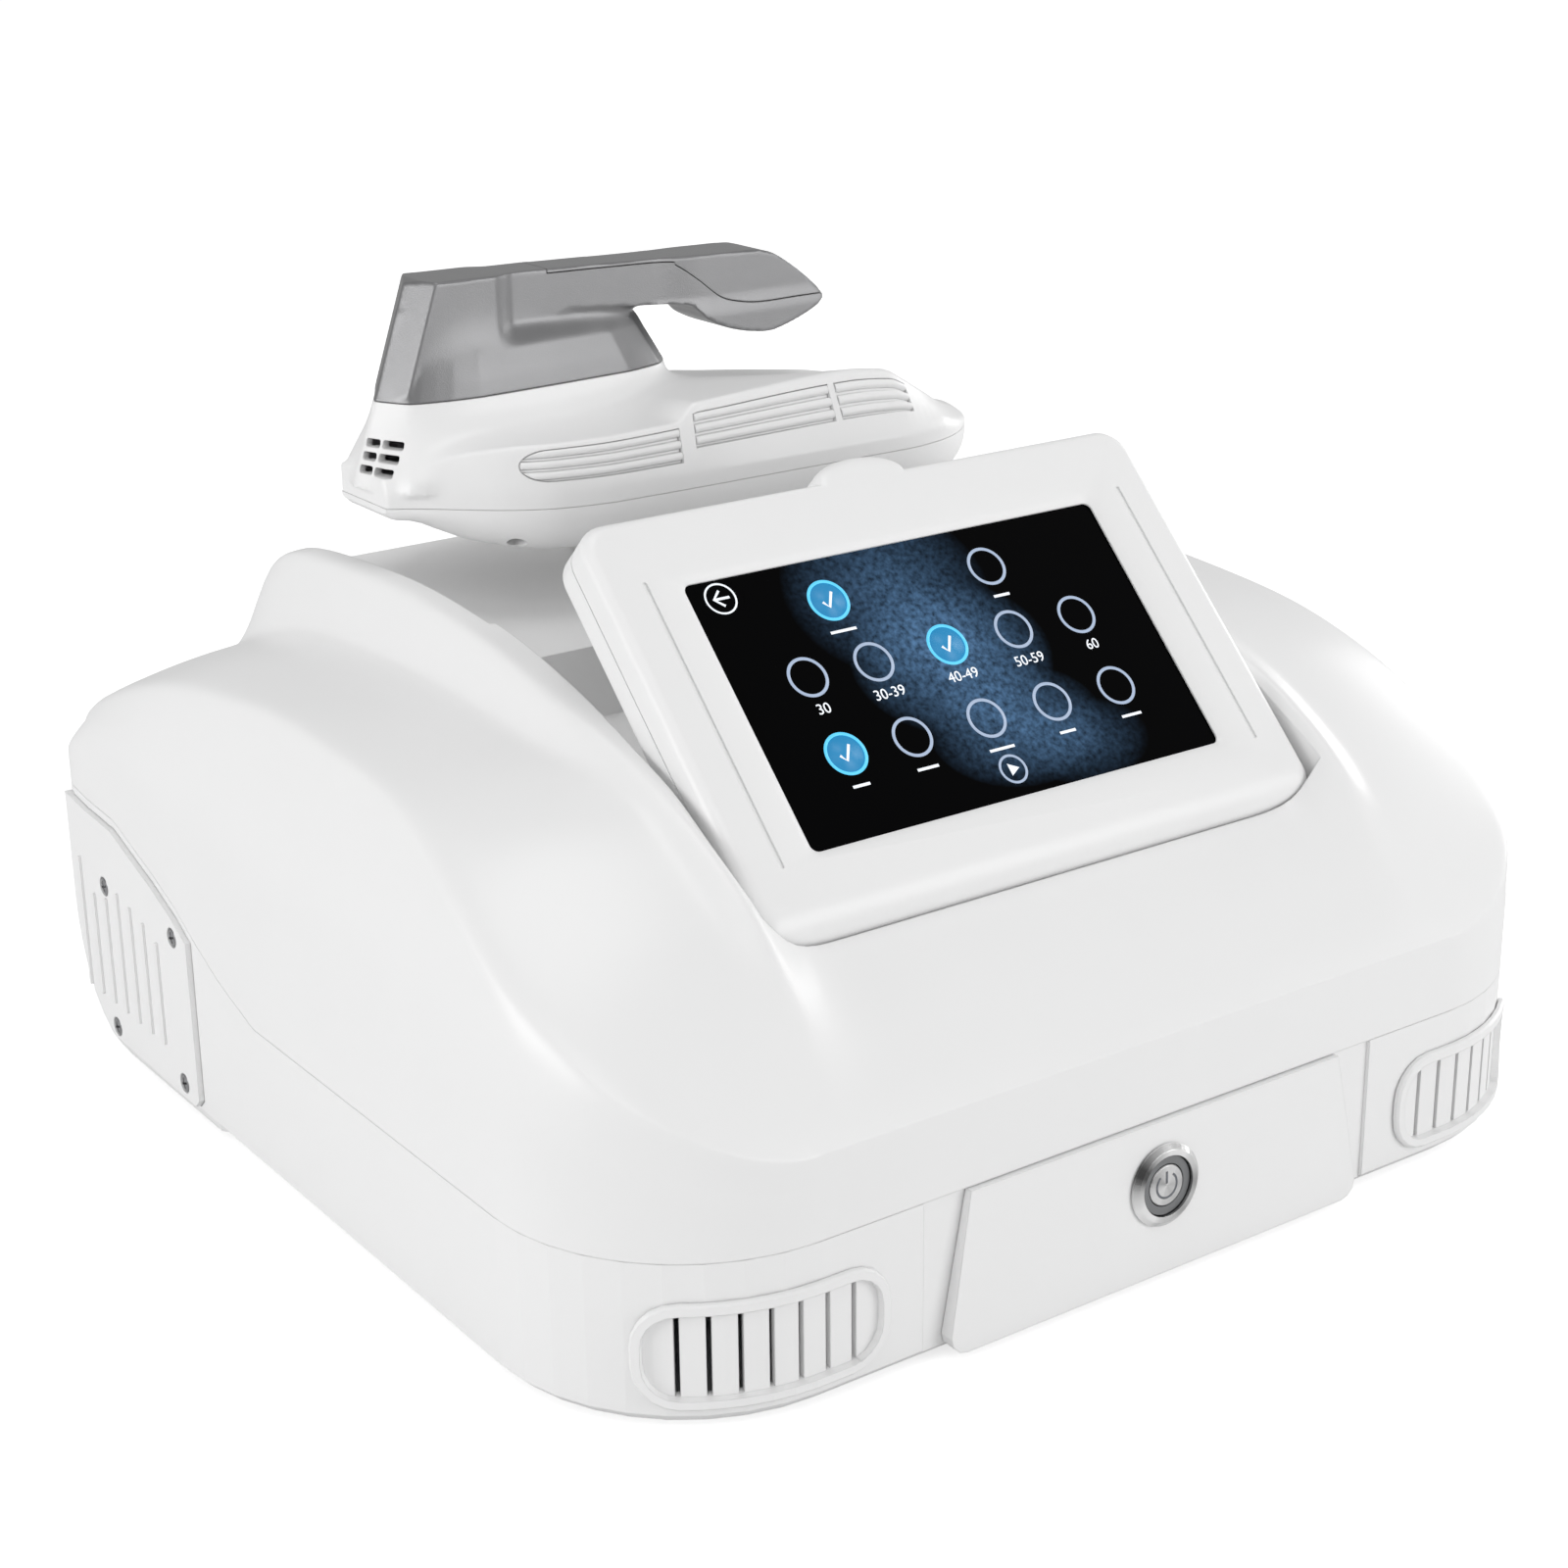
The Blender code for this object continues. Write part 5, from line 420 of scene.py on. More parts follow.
def placed(name, data):
    """A new object of the scene."""
    thing = bpy.data.objects.new(name, data)
    bpy.context.scene.collection.objects.link(thing)
    return thing


def evaluated(thing):
    """The object's mesh after its modifiers; the object itself goes."""
    graph = bpy.context.evaluated_depsgraph_get()
    made = bpy.data.meshes.new_from_object(thing.evaluated_get(graph))
    bpy.data.objects.remove(thing)
    return made


def sheet_of(*meshes):
    sheet = bmesh.new()
    for mesh in meshes:
        sheet.from_mesh(mesh)
    return sheet


def written(sheet, mesh):
    sheet.to_mesh(mesh)
    sheet.free()
    return mesh


def gathered(meshes):
    """Several meshes in one."""
    return written(sheet_of(*meshes), bpy.data.meshes.new("gathered"))


def mesh_of(rings, closed):
    """Faces between neighbouring rings; closed: the last ring joins the first, or else both ends are faces."""
    size, count = len(rings[0]), len(rings)
    points = [tuple(point) for ring in rings for point in ring]
    faces = [] if closed else [tuple(range(size)), tuple(range(len(points) - size, len(points)))]
    for ring in range(count if closed else count - 1):
        low, high = ring * size, (ring + 1) % count * size
        for spot in range(size):
            after = (spot + 1) % size
            faces.append((low + spot, low + after, high + after, high + spot))
    mesh = bpy.data.meshes.new("shape")
    mesh.from_pydata(points, [], faces)
    sheet = sheet_of(mesh)
    bmesh.ops.recalc_face_normals(sheet, faces=sheet.faces)
    return written(sheet, mesh)


def loft(rings):
    """A closed solid through rings that have the same number of points."""
    return mesh_of(rings, False)


def turned(profile, steps):
    """A solid of revolution about Z, from a closed profile of (radius, height) points."""
    angles = [math.tau * turn / steps for turn in range(steps)]
    mesh = mesh_of([[(r * math.cos(angle), r * math.sin(angle), z) for r, z in profile] for angle in angles], True)
    sheet = sheet_of(mesh)
    bmesh.ops.remove_doubles(sheet, verts=sheet.verts, dist=GAP / 30)
    bmesh.ops.dissolve_degenerate(sheet, edges=sheet.edges, dist=GAP / 30)
    bmesh.ops.recalc_face_normals(sheet, faces=sheet.faces)
    return written(sheet, mesh)


def rod(radius, low, high, steps=24):
    """A cylinder along Z between two heights."""
    return turned(((0.0, low), (radius, low), (radius, high), (0.0, high)), steps)


def extruded(outline, low, high, axes="xyz"):
    """A prism: the outline lies on the first two named axes and runs along the third."""
    places = ["xyz".index(axis) for axis in axes]

    def point(pair, level):
        spot = [0.0, 0.0, 0.0]
        spot[places[0]], spot[places[1]], spot[places[2]] = pair[0], pair[1], level
        return Vector(spot)

    return loft([[point(pair, level) for pair in outline] for level in (low, high)])


def box(low, high):
    outline = ((low[0], low[1]), (high[0], low[1]), (high[0], high[1]), (low[0], high[1]))
    return extruded(outline, low[2], high[2])


def slab(low, high):
    """A block between two heights, wider and deeper than the applicator."""
    return box((-SLAB_X, 0.0, low), (SLAB_X, SLAB_Y, high))


def placing(spot, angle, axis):
    """The matrix of a turn about an axis and a move to a spot."""
    return Matrix.Translation(spot) @ Matrix.Rotation(angle, 4, axis)


def moved(mesh, matrix):
    """The mesh itself after a move, its faces still outwards after a mirror."""
    mesh.transform(matrix)
    if matrix.determinant() < 0:
        mesh.flip_normals()
    return mesh


def combined(operation, mesh, tools):
    """The mesh after an EXACT Boolean with each tool in turn."""
    body = placed("body", mesh)
    spare = [placed("tool", shape) for shape in tools]
    for tool in spare:
        step = body.modifiers.new("step", "BOOLEAN")
        step.operation, step.solver, step.object = operation, "EXACT", tool
    made = evaluated(body)
    for tool in spare:
        bpy.data.objects.remove(tool)
    return made


def cut(mesh, *tools):
    return combined("DIFFERENCE", mesh, tools)


def common(mesh, tool):
    return combined("INTERSECT", mesh, (tool,))


def vertex_rows(mesh, kind="co"):
    """Places or normals of the vertices, one row each."""
    out = np.empty(len(mesh.vertices) * 3)
    mesh.vertices.foreach_get(kind, out)
    return out.reshape(-1, 3)


def put_vertices(mesh, spots):
    """Move the vertices to their places in the rows."""
    mesh.vertices.foreach_set("co", spots.ravel())
    mesh.update()
    return mesh


def blended(shapes, size, weight, extra):
    """One skin round overlapping solids, softened all over, its hollows filled where the weight says so."""
    body = placed("body", gathered(shapes))
    remesh = body.modifiers.new("skin", "REMESH")
    remesh.mode, remesh.voxel_size = "VOXEL", size
    skin = evaluated(body)
    spots = vertex_rows(skin)
    count = len(spots)
    ends = np.empty(len(skin.edges) * 2, dtype=np.int64)
    skin.edges.foreach_get("vertices", ends)
    first, second = ends[0::2], ends[1::2]
    degree = np.maximum(np.bincount(ends, minlength=count), 1)
    share = weight(spots)

    def mean(values):
        total = np.zeros_like(values)
        for axis in range(3):
            total[:, axis] = (np.bincount(first, values[second, axis], count)
                              + np.bincount(second, values[first, axis], count))
        return total / degree[:, None]

    for turn in range(SKIN_ROUNDS):
        spots = spots + SKIN_PULL * (mean(spots) - spots)
        spots = spots - SKIN_PUSH * (mean(spots) - spots)
    for turn in range(extra):
        if turn % NORMAL_ROUNDS == 0:
            normals = vertex_rows(put_vertices(skin, spots), "normal")
        pull = mean(spots) - spots
        hollow = (pull * normals).sum(axis=1) > 0
        spots = spots + SKIN_PULL * (share * hollow)[:, None] * pull
    return put_vertices(skin, spots)


def softened(mesh, width):
    """The mesh with its long edges rounded."""
    sheet = sheet_of(mesh)
    sharp = [edge for edge in sheet.edges if len(edge.link_faces) == 2 and edge.calc_face_angle(0.0) > BEVEL_FROM]
    bmesh.ops.bevel(sheet, geom=sharp, offset=width, segments=5, profile=0.5, affect="EDGES", clamp_overlap=True)
    return written(sheet, mesh)


def settle(mesh, name, material, sharp, place):
    """The mesh in its place as an object, shaded smooth up to an angle."""
    mesh.transform(place if place is not None else Matrix.Translation(OFFSET))
    mesh.name = name
    mesh.materials.clear()
    mesh.materials.append(material)
    mesh.shade_smooth()
    if sharp:
        mesh.set_sharp_from_angle(angle=math.radians(sharp))
    return placed(name, mesh)


def stand_in(mesh, node, body, name, material, sharp, place=None):
    """A piece that stands for a CAD node of the same form on the same body."""
    thing = settle(mesh, name, material, sharp, place)
    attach(thing, body)
    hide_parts(node)


def rider(mesh, body, name, material, place):
    """A small flat extra piece that moves with a body."""
    thing = settle(mesh, name, material, 0, place)
    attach(thing, body)


# Casing, from the same curves as the CAD source but far finer

def plan_half_width(y, inset=0.0):
    """Half the body's width at a depth, for the plan outline moved in by an inset."""
    rear_corner_y = BODY_DEPTH - REAR_RADIUS
    if y < FRONT_CORNER_Y:
        radius = FRONT_RADIUS - inset
        reach = min(FRONT_CORNER_Y - y, radius)
        return FRONT_CORNER_X + math.sqrt(radius ** 2 - reach ** 2)
    if y > rear_corner_y:
        radius = REAR_RADIUS - inset
        reach = min(y - rear_corner_y, radius)
        return BODY_HALF_WIDTH - REAR_RADIUS + math.sqrt(radius ** 2 - reach ** 2)
    return BODY_HALF_WIDTH - inset


def height_at(rows, y):
    """A height at a depth, from rows of shares of the body's depth and height."""
    return BODY_HEIGHT * smooth(rows, y / BODY_DEPTH)


def width_at(rows, y):
    """A distance from the middle at a depth, from rows of shares of the body's sizes."""
    return BODY_HALF_WIDTH * smooth(rows, y / BODY_DEPTH)


def seam(y):
    return BODY_HEIGHT * straight(SEAM_SHARES, y / BODY_DEPTH)


def crease(y):
    return height_at(CREASE_SHARES, y)


def deck(y):
    return height_at(DECK_SHARES, y)


def crest(y):
    return max(height_at(CREST_SHARES, y), deck(y))


def centre(y):
    """Height of the casing's middle before the lid's pocket and the tray are cut."""
    low = deck(y) - height_at(DISH_SHARES, y)
    return low + (crest(y) - low) * smooth(FILL_SHARES, y / BODY_DEPTH)


def stations():
    """Depths of the casing's sections, close together round the corners."""
    front = [FRONT_CORNER_Y - FRONT_RADIUS * math.cos(math.radians(90 * step / CORNER_STEPS))
             for step in range(CORNER_STEPS + 1)]
    rear_corner_y = BODY_DEPTH - REAR_RADIUS
    count = round((rear_corner_y - FRONT_CORNER_Y) / STATION_PITCH)
    sides = [FRONT_CORNER_Y + (rear_corner_y - FRONT_CORNER_Y) * step / count for step in range(1, count)]
    rear = [rear_corner_y + REAR_RADIUS * math.sin(math.radians(15 * step)) for step in range(7)]
    return front + sides + rear


def half_section(y):
    """Right half of the casing's section: up the wall, over the crease, deck and ridge."""
    wall = plan_half_width(y)
    foot = seam(y) + GAP / 3
    edge_x = wall - width_at(CREASE_INSET_SHARES, y)
    edge_z = crease(y)
    lean_z = foot + LEAN_SHARE * (edge_z - foot)
    peak_x = width_at(CREST_X_SHARES, y)
    foot_x = min(peak_x + RIDGE_SLOPE, edge_x - RIDGE_LIP / 2)
    width = min(FILLET, FILLET_SHARE * (edge_x - foot_x))
    end_z = edge_z + FILLET_RISE_SHARE * (deck(y) - edge_z)
    points = [(wall, foot + (lean_z - foot) * along) for along in fractions(6)]
    for along in fractions(8)[1:-1]:
        points.append((wall - (wall - edge_x) * along ** BULGE, lean_z + (edge_z - lean_z) * along))
    for along in fractions(8):
        back, turn = (1 - along) ** 2, 2 * along * (1 - along)
        x = back * edge_x + turn * (edge_x - FILLET_PULLS[0] * width) + along ** 2 * (edge_x - width)
        z = back * edge_z + turn * (edge_z + FILLET_PULLS[1] * (end_z - edge_z)) + along ** 2 * end_z
        points.append((x, z))
    start_x = edge_x - width
    for along in fractions(12)[1:-1]:
        rise = 1 - (1 - along) ** BULGE
        points.append((start_x + (foot_x - start_x) * along, end_z + (deck(y) - end_z) * rise))
    height = crest(y) - deck(y)
    for along in fractions(16):
        points.append((foot_x + (peak_x - foot_x) * along, deck(y) + height * smooth(RIDGE_SHARES, along)))
    dip = crest(y) - centre(y)
    last = 1 - RIDGE_LIP / peak_x
    for along in fractions(28):
        share = last * (1 - along)
        points.append((peak_x * share, centre(y) + dip * share ** 2 - sill_drop(y, share)))
    return points


def sill_drop(y, share):
    """How far the deck in front of the lid sinks below its dished form, so that the lid's foot shows."""
    low = height_at(SILL_SHARES, y)
    dished = centre(y) + (crest(y) - centre(y)) * share ** 2
    level = low + (crest(y) - low) * smooth(SILL_SIDE_SHARES, share)
    return max(dished - level, 0.0) * smooth(SILL_END_SHARES, y / BODY_DEPTH)


def full_ring(half, y):
    """Both halves of a section at a depth."""
    right = [Vector((x, y, z)) for x, z in half]
    left = [Vector((-x, y, z)) for x, z in reversed(half[:-1])]
    return right + left


def softened_rings(rings):
    """The rings with their sharp folds eased; the wall, the foot and both ends stay."""
    grid = np.array([[tuple(point) for point in ring] for ring in rings])
    free = np.zeros(grid.shape[:2])
    free[slice(*FOLD_STATIONS), FOLD_KEEP:-FOLD_KEEP] = 1.0
    for turn in range(FOLD_ROUNDS):
        around = (np.roll(grid, 1, 0) + np.roll(grid, -1, 0) + np.roll(grid, 1, 1) + np.roll(grid, -1, 1)) / 4
        grid = grid + 0.5 * free[:, :, None] * (around - grid)
    return [[Vector(point) for point in ring] for ring in grid]


def pocket_floor(y):
    """Height of the floor under the closed lid, which leaves the hinge trough on a tangent."""
    tilt = math.radians(POCKET_FLOOR_TILT)
    radius = LID_HALF_THICKNESS + TROUGH_CLEARANCE
    start_y = HINGE_Y + radius * math.sin(tilt)
    start_z = HINGE_Z - radius * math.cos(tilt)
    return start_z + (max(y, start_y) - start_y) * math.tan(tilt)


def cavity_section(y):
    """Right half of the casing's hollow, a wall's thickness inside its skin and its tray."""
    wall = plan_half_width(y, WALL)
    edge_x = wall - width_at(CREASE_INSET_SHARES, y)
    foot_x = min(width_at(CREST_X_SHARES, y) + RIDGE_SLOPE, edge_x - WALL)
    side_x = min(BOSS_X if y < POCKET_END_Y / 2 else SIDE_CAVITY_X, foot_x - WALL)
    lid_trough = HINGE_Z - LID_HALF_THICKNESS - TROUGH_CLEARANCE - WALL
    roof = min(centre(y) - sill_drop(y, 0.0) - WALL - TROUGH_CLEARANCE, max(lid_trough, pocket_floor(y) - WALL))
    if y > POCKET_END_Y + WALL:
        roof = min(TRAY_HEIGHT - WALL, crest(y) - 2 * WALL)
    top = deck(y) - WALL - TROUGH_CLEARANCE
    if y <= POCKET_END_Y:
        roof = min(roof, top)
    return [
        (wall, seam(y) - OVERRUN), (wall, seam(y) + LEAN_SHARE * (crease(y) - seam(y))),
        (edge_x - TROUGH_CLEARANCE, crease(y) - WALL), (edge_x - FILLET, min(crease(y), top)),
        (foot_x, top), (side_x, top), (side_x - GAP, roof), (0.0, roof),
    ]


def casing_cavity():
    """The hollow under the casing, with a block left round the lid's finger notch."""
    first = FRONT_WALL_Y + 2 * WALL
    spots = [y for y in stations()[::4] if first < y < BODY_DEPTH - 2 * WALL]
    spots += [POCKET_END_Y + WALL + GAP, POCKET_END_Y + WALL - GAP]
    spots = [first] + sorted(spots) + [BODY_DEPTH - 1.5 * WALL]
    hollow = loft([full_ring(cavity_section(y), y) for y in spots])
    side = NOTCH_HALF_WIDTH + WALL
    block = box((-side, POCKET_END_Y, NOTCH_FLOOR - WALL), (side, POCKET_END_Y + NOTCH_DEPTH + WALL, BODY_HEIGHT))
    return cut(hollow, block)


def lid_pocket():
    """Room for the lid: the round hinge trough and the sloping floor behind it."""
    radius = LID_HALF_THICKNESS + TROUGH_CLEARANCE
    outline = arc((HINGE_Y, HINGE_Z), radius, radius, 180, 270 + POCKET_FLOOR_TILT, 24)
    outline += [(POCKET_END_Y, pocket_floor(POCKET_END_Y)), (POCKET_END_Y, BODY_HEIGHT + OVERRUN)]
    outline.append((HINGE_Y - radius, BODY_HEIGHT + OVERRUN))
    half = LID_HALF_WIDTH + POCKET_CLEARANCE
    return extruded(outline, -half, half, "yzx")


def pin_bores(low, high):
    """Bores for both hinge pins, along X from the middle."""
    return [moved(rod(PIN_RADIUS + GAP, low, high), Matrix.Rotation(side * math.pi / 2, 4, "Y")) for side in (-1, 1)]


def casing_mesh():
    """The casing's skin with its pocket, tray, notch, pin bores and hollow."""
    rings = softened_rings([full_ring(half_section(y), y) for y in stations()])
    tray = box((-TRAY_HALF_WIDTH, POCKET_END_Y - GAP, TRAY_HEIGHT),
               (TRAY_HALF_WIDTH, BODY_DEPTH, BODY_HEIGHT + OVERRUN))
    notch = arc((0.0, POCKET_END_Y), NOTCH_HALF_WIDTH, NOTCH_DEPTH, 0, 180, 24)
    notch += [(-NOTCH_HALF_WIDTH, POCKET_END_Y - OVERRUN), (NOTCH_HALF_WIDTH, POCKET_END_Y - OVERRUN)]
    tools = [casing_cavity(), lid_pocket(), tray, extruded(notch, NOTCH_FLOOR, TRAY_HEIGHT + OVERRUN)]
    for bore in pin_bores(LID_HALF_WIDTH, PIN_OUTER_X + GAP):
        tools.append(moved(bore, Matrix.Translation((0, HINGE_Y, HINGE_Z))))
    return cut(loft(rings), *tools)


# Lid

def lid_outline(level):
    """Front view of the lid at a level of its thickness: round foot, rounded corners, finger tab."""
    depth = abs(level)
    rounding = max(0.0, depth - (LID_HALF_THICKNESS - LID_EDGE))
    inset = LID_EDGE - math.sqrt(LID_EDGE ** 2 - min(rounding, LID_EDGE) ** 2)
    foot = -math.sqrt(max(LID_HALF_THICKNESS ** 2 - depth ** 2, 0.0))
    half, top = LID_HALF_WIDTH - inset, LID_LENGTH - inset
    outline = []
    for x, y in rounded((-half, foot), (half, top), LID_CORNER - inset / 2, 10):
        if y < (foot + top) / 2:
            corner = (math.copysign(half, x), foot)
            x, y = (middle + (value - middle) * LID_FOOT_CORNER_SHARE for value, middle in zip((x, y), corner))
        outline.append((x, y))
    tab = []
    if level > 0:
        tab = arc((0.0, top), TAB_HALF_WIDTH - inset, TAB_LENGTH - inset / 2, 0, 180, 24)
    return outline[:11] + tab + outline[11:]


def lid_mesh(sign):
    """One half of the lid's housing, hollow behind its face and solid round the hinge."""
    edge = LID_HALF_THICKNESS - LID_EDGE
    levels = [GAP / 2, edge * 0.4, edge * 0.8, edge]
    levels += [edge + LID_EDGE * math.sin(math.radians(9 * step)) for step in range(1, 11)]
    rings = [[Vector((x, y, sign * level)) for x, y in lid_outline(sign * level)] for level in levels]
    inner = sign * (LID_HALF_THICKNESS - LID_WALL)
    half = LID_HALF_WIDTH - LID_WALL
    outline = rounded((-half, LID_FOOT_WALL), (half, LID_LENGTH - LID_WALL), LID_CORNER - LID_WALL, 4)
    tools = [extruded(outline, min(inner, -sign * OVERRUN), max(inner, -sign * OVERRUN))]
    tools += pin_bores(LID_HALF_WIDTH - PIN_INSET, LID_HALF_WIDTH + OVERRUN)
    if sign > 0:
        face, end = LID_HALF_THICKNESS, SCREEN_START + SCREEN_LENGTH
        rings_open = []
        for level, flare in ((inner - OVERRUN, 0.0), (face - SCREEN_BEVEL_DEPTH, 0.0),
                             (face + GAP, SCREEN_BEVEL * (1 + GAP / SCREEN_BEVEL_DEPTH))):
            around = rounded((-SCREEN_HALF_WIDTH - flare, SCREEN_START - flare),
                             (SCREEN_HALF_WIDTH + flare, end + flare), SCREEN_BEVEL + flare, 6)
            rings_open.append([Vector((x, y, level)) for x, y in around])
        tools.append(loft(rings_open))
        for side in (-1, 1):
            low, high = side * GROOVE_X - GROOVE_WIDTH / 2, side * GROOVE_X + GROOVE_WIDTH / 2
            track = rounded((low, GROOVE_START), (high, GROOVE_END), GROOVE_WIDTH * 0.49, 4)
            tools.append(extruded(track, face - GROOVE_DEPTH, face + OVERRUN))
    return cut(loft(rings), *tools)


# Applicator head

def head_half(share):
    return HEAD_HALF_DEPTH * smooth(HEAD_PLAN_SHARES, share)


def head_front(share):
    return HEAD_RISE * smooth(HEAD_FRONT_SHARES, share)


def head_ring(share, points):
    x = HEAD_LEFT + HEAD_LENGTH * share
    return [Vector((x, HEAD_Y + y, z)) for y, z in points]


def upper_section(share, inset=0.0):
    """Section of the head's upper shell across X, from the front seam over to the rear seam."""
    half = head_half(share) - inset
    front = head_front(share) - inset
    middle = HEAD_RISE * smooth(HEAD_CENTRE_SHARES, share) - inset
    lean, step = face_lean(share, half), min(HEAD_FACE_FOOT, front / 2)
    foot = HEAD_SEAM - OVERRUN
    points = [(-half, foot), (-half, HEAD_SEAM + step * 0.35), (-half, HEAD_SEAM + step * 0.7)]
    points += [(-half + FACE_LEANS[0] * lean, HEAD_SEAM + step)]
    points += [(-half + 0.5 * lean, HEAD_SEAM + step + 0.5 * (FACE_TOP_SHARE * front - step))]
    points += [(-half + FACE_LEANS[1] * lean, HEAD_SEAM + FACE_TOP_SHARE * front)]
    rows = [(-half + 1.15 * lean, front), (-0.40 * half, (front + middle) / 2)]
    rows += [(across * half, middle * level) for across, level in HEAD_TOP_ROWS]
    if rows[1][0] <= rows[0][0]:
        rows[1] = ((rows[0][0] + rows[2][0]) / 2, rows[1][1])
    square = max(0.0, 1 - share / END_WALL_SHARE) * END_SQUARENESS
    rows = [(y, z + (front - z) * square) for y, z in rows]
    for along in fractions(24):
        y = rows[0][0] + (half - rows[0][0]) * along
        points.append((y, HEAD_SEAM + smooth(rows, y)))
    return head_ring(share, points + [(half, foot)])


def face_lean(share, half):
    """How far back the louvred face leans, more towards the nose."""
    return min(LOUVRE_LEAN * smooth(LOUVRE_LEAN_SHARES, share), 0.3 * half)


def lower_section(share):
    """Section of the head's lower shell across X: round flanks and a level underside."""
    half = head_half(share)
    drop = HEAD_DROP * smooth(HEAD_DROP_SHARES, share)
    flank = min(HEAD_DROP, half * 0.6) * min(0.3 + 0.7 * share / END_WALL_SHARE, 1.0)
    points = [(-half, HEAD_SEAM - GAP / 5)]
    points += arc((-half + flank, HEAD_SEAM - FLANK_FOOT_SHARE * drop), -flank, (FLANK_FOOT_SHARE - 1) * drop,
                  0, 90, 12)
    return head_ring(share, points + [(-y, z) for y, z in reversed(points)])


def head_shares(count, low=0.0, high=1.0):
    """Places along the head, closer together towards both of its ends."""
    middle = [low + (high - low) * step / count for step in range(count + 1)]
    ends = [low + (high - low) * share for share in END_SPOTS]
    return sorted(middle + ends)


def neck_size(z):
    """How far the neck's ring reaches to the right and to both sides at a height."""
    share = (NECK_TOP - z) / (NECK_TOP - NECK_FOOT)
    return straight(NECK_RINGS, share), straight(NECK_RINGS, share, 2)


def prow_x(z):
    """Left end of the neck and the grip at a height."""
    return NECK_LEFT - NECK_LEAN * (NECK_TOP - z) - PROW


def plan_ring(z, front, behind):
    """A ring at a height: its front points and, mirrored, those behind the head's middle."""
    return [Vector((x, HEAD_Y + y, z)) for x, y in front + [(x, -y) for x, y in reversed(behind)]]


def boat_ring(z, right, half, inset=0.0):
    """Plan outline of the neck or the post at a height: a pointed left end, a full middle, a slim end."""
    left = prow_x(z) + inset
    right -= inset
    front = []
    for along in fractions(30):
        share = along ** BOAT_SPREAD
        width = max(half * straight(BOAT_SHARES, share) - inset, inset / 2)
        front.append((left + (right - left) * share, -width))
    return plan_ring(z, front, front)


def louvre_point(x, along, out):
    """A point on the leaning louvre face: a share up its slope and a distance out from it."""
    share = (x - HEAD_LEFT) / HEAD_LENGTH
    half = head_half(share)
    rise = head_front(share)
    lean = face_lean(share, half)
    low = Vector((x, HEAD_Y - half + FACE_LEANS[0] * lean, HEAD_SEAM + min(HEAD_FACE_FOOT, rise / 2)))
    high = Vector((x, HEAD_Y - half + FACE_LEANS[1] * lean, HEAD_SEAM + FACE_TOP_SHARE * rise))
    slope = (high - low).normalized()
    return low + (high - low) * along + Vector((0, -slope.z, slope.y)) * out


def louvre_loft(ends, profile, clearance=0.0, round_left=0.0):
    """A strip along the louvre face from its profile of (share up the slope, distance out)."""
    left = HEAD_LEFT + HEAD_LENGTH * ends[0] - clearance
    right = HEAD_LEFT + HEAD_LENGTH * ends[1] + clearance
    rings = []
    spots = [left + (right - left) * along for along in fractions(28)]
    if round_left:
        start = [left + round_left * (1 - math.cos(math.radians(9 * step))) for step in range(1, 10)]
        spots = start + [x for x in spots if x > left + round_left]
    middle = (profile[0][0] + profile[-1][0]) / 2
    for x in spots:
        reach = min((left + round_left - x) / round_left, 1.0) if round_left and x < left + round_left else 0.0
        pinch = math.sqrt(max(1 - reach ** 2, 0.0004))
        rings.append([louvre_point(x, middle + (along - middle) * pinch, out) for along, out in profile])
    return loft(rings)


def louvre_block(ends, shares, clearance, low_out, high_out, round_left):
    """A block along the louvre face between two distances out from it."""
    low, high = shares
    trim = 0.0 if clearance else (high - low) / 40
    low, high = low + trim, high - trim
    profile = ((low, low_out), (low, high_out), (high, high_out), (high, low_out))
    return louvre_loft(ends, profile, clearance, round_left)


def louvre_mesh(ends, shares, round_left):
    """Louvre insert: a back plate with three round slats above deep slots."""
    low, high = shares
    back, floor, face = -LOUVRE_RECESS + GAP, -LOUVRE_RECESS * 0.72, GAP * 1.5
    profile = [(low, back), (low, floor)]
    pitch = (high - low) / LOUVRE_SLATS
    for slat in range(LOUVRE_SLATS):
        foot = low + slat * pitch
        profile.append((foot + SLAT_FOOT * pitch, floor))
        for step in range(9):
            angle = math.pi * step / 8
            along = foot + (SLAT_MIDDLE - SLAT_HALF * math.cos(angle)) * pitch
            profile.append((along, floor + (face - floor) * math.sin(angle) ** SLAT_ROUND))
    profile += [(high, floor), (high, back)]
    plain = louvre_loft(ends, profile)
    return common(plain, louvre_block(ends, shares, 0.0, -2 * LOUVRE_RECESS, 2 * LOUVRE_RECESS, round_left))


def vent_slots():
    """Slots through the left of the neck, in two columns."""
    turn = Matrix.Rotation(-math.radians(VENT_ANGLE), 4, "Z")
    slots = []
    for along, half in VENT_PLACES:
        for row in range(VENT_ROWS):
            z = VENT_FOOT + row * VENT_PITCH
            outline = rounded((-half, 0.0), (half, VENT_HEIGHT), VENT_HEIGHT * 0.3, 3)
            spot = Vector((prow_x(z + VENT_HEIGHT / 2), HEAD_Y, z)) + turn @ Vector((along, 0, 0))
            slots.append(moved(extruded(outline, *VENT_REACH, "xzy"), Matrix.Translation(spot) @ turn))
    return slots


def hose_pit():
    """Room for the hose's connector at the back of the neck, with the bore behind it."""
    profile = (
        (0.0, -HOSE_BORE_DEPTH), (HOSE_BORE_RADIUS, -HOSE_BORE_DEPTH), (HOSE_BORE_RADIUS, 0.0),
        (HOSE_PIT_RADIUS, 0.0), (HOSE_PIT_RADIUS, HOSE_PIT_LENGTH), (0.0, HOSE_PIT_LENGTH),
    )
    return moved(turned(profile, 40), placing(HOSE_SEAT, -math.pi / 2, "X"))


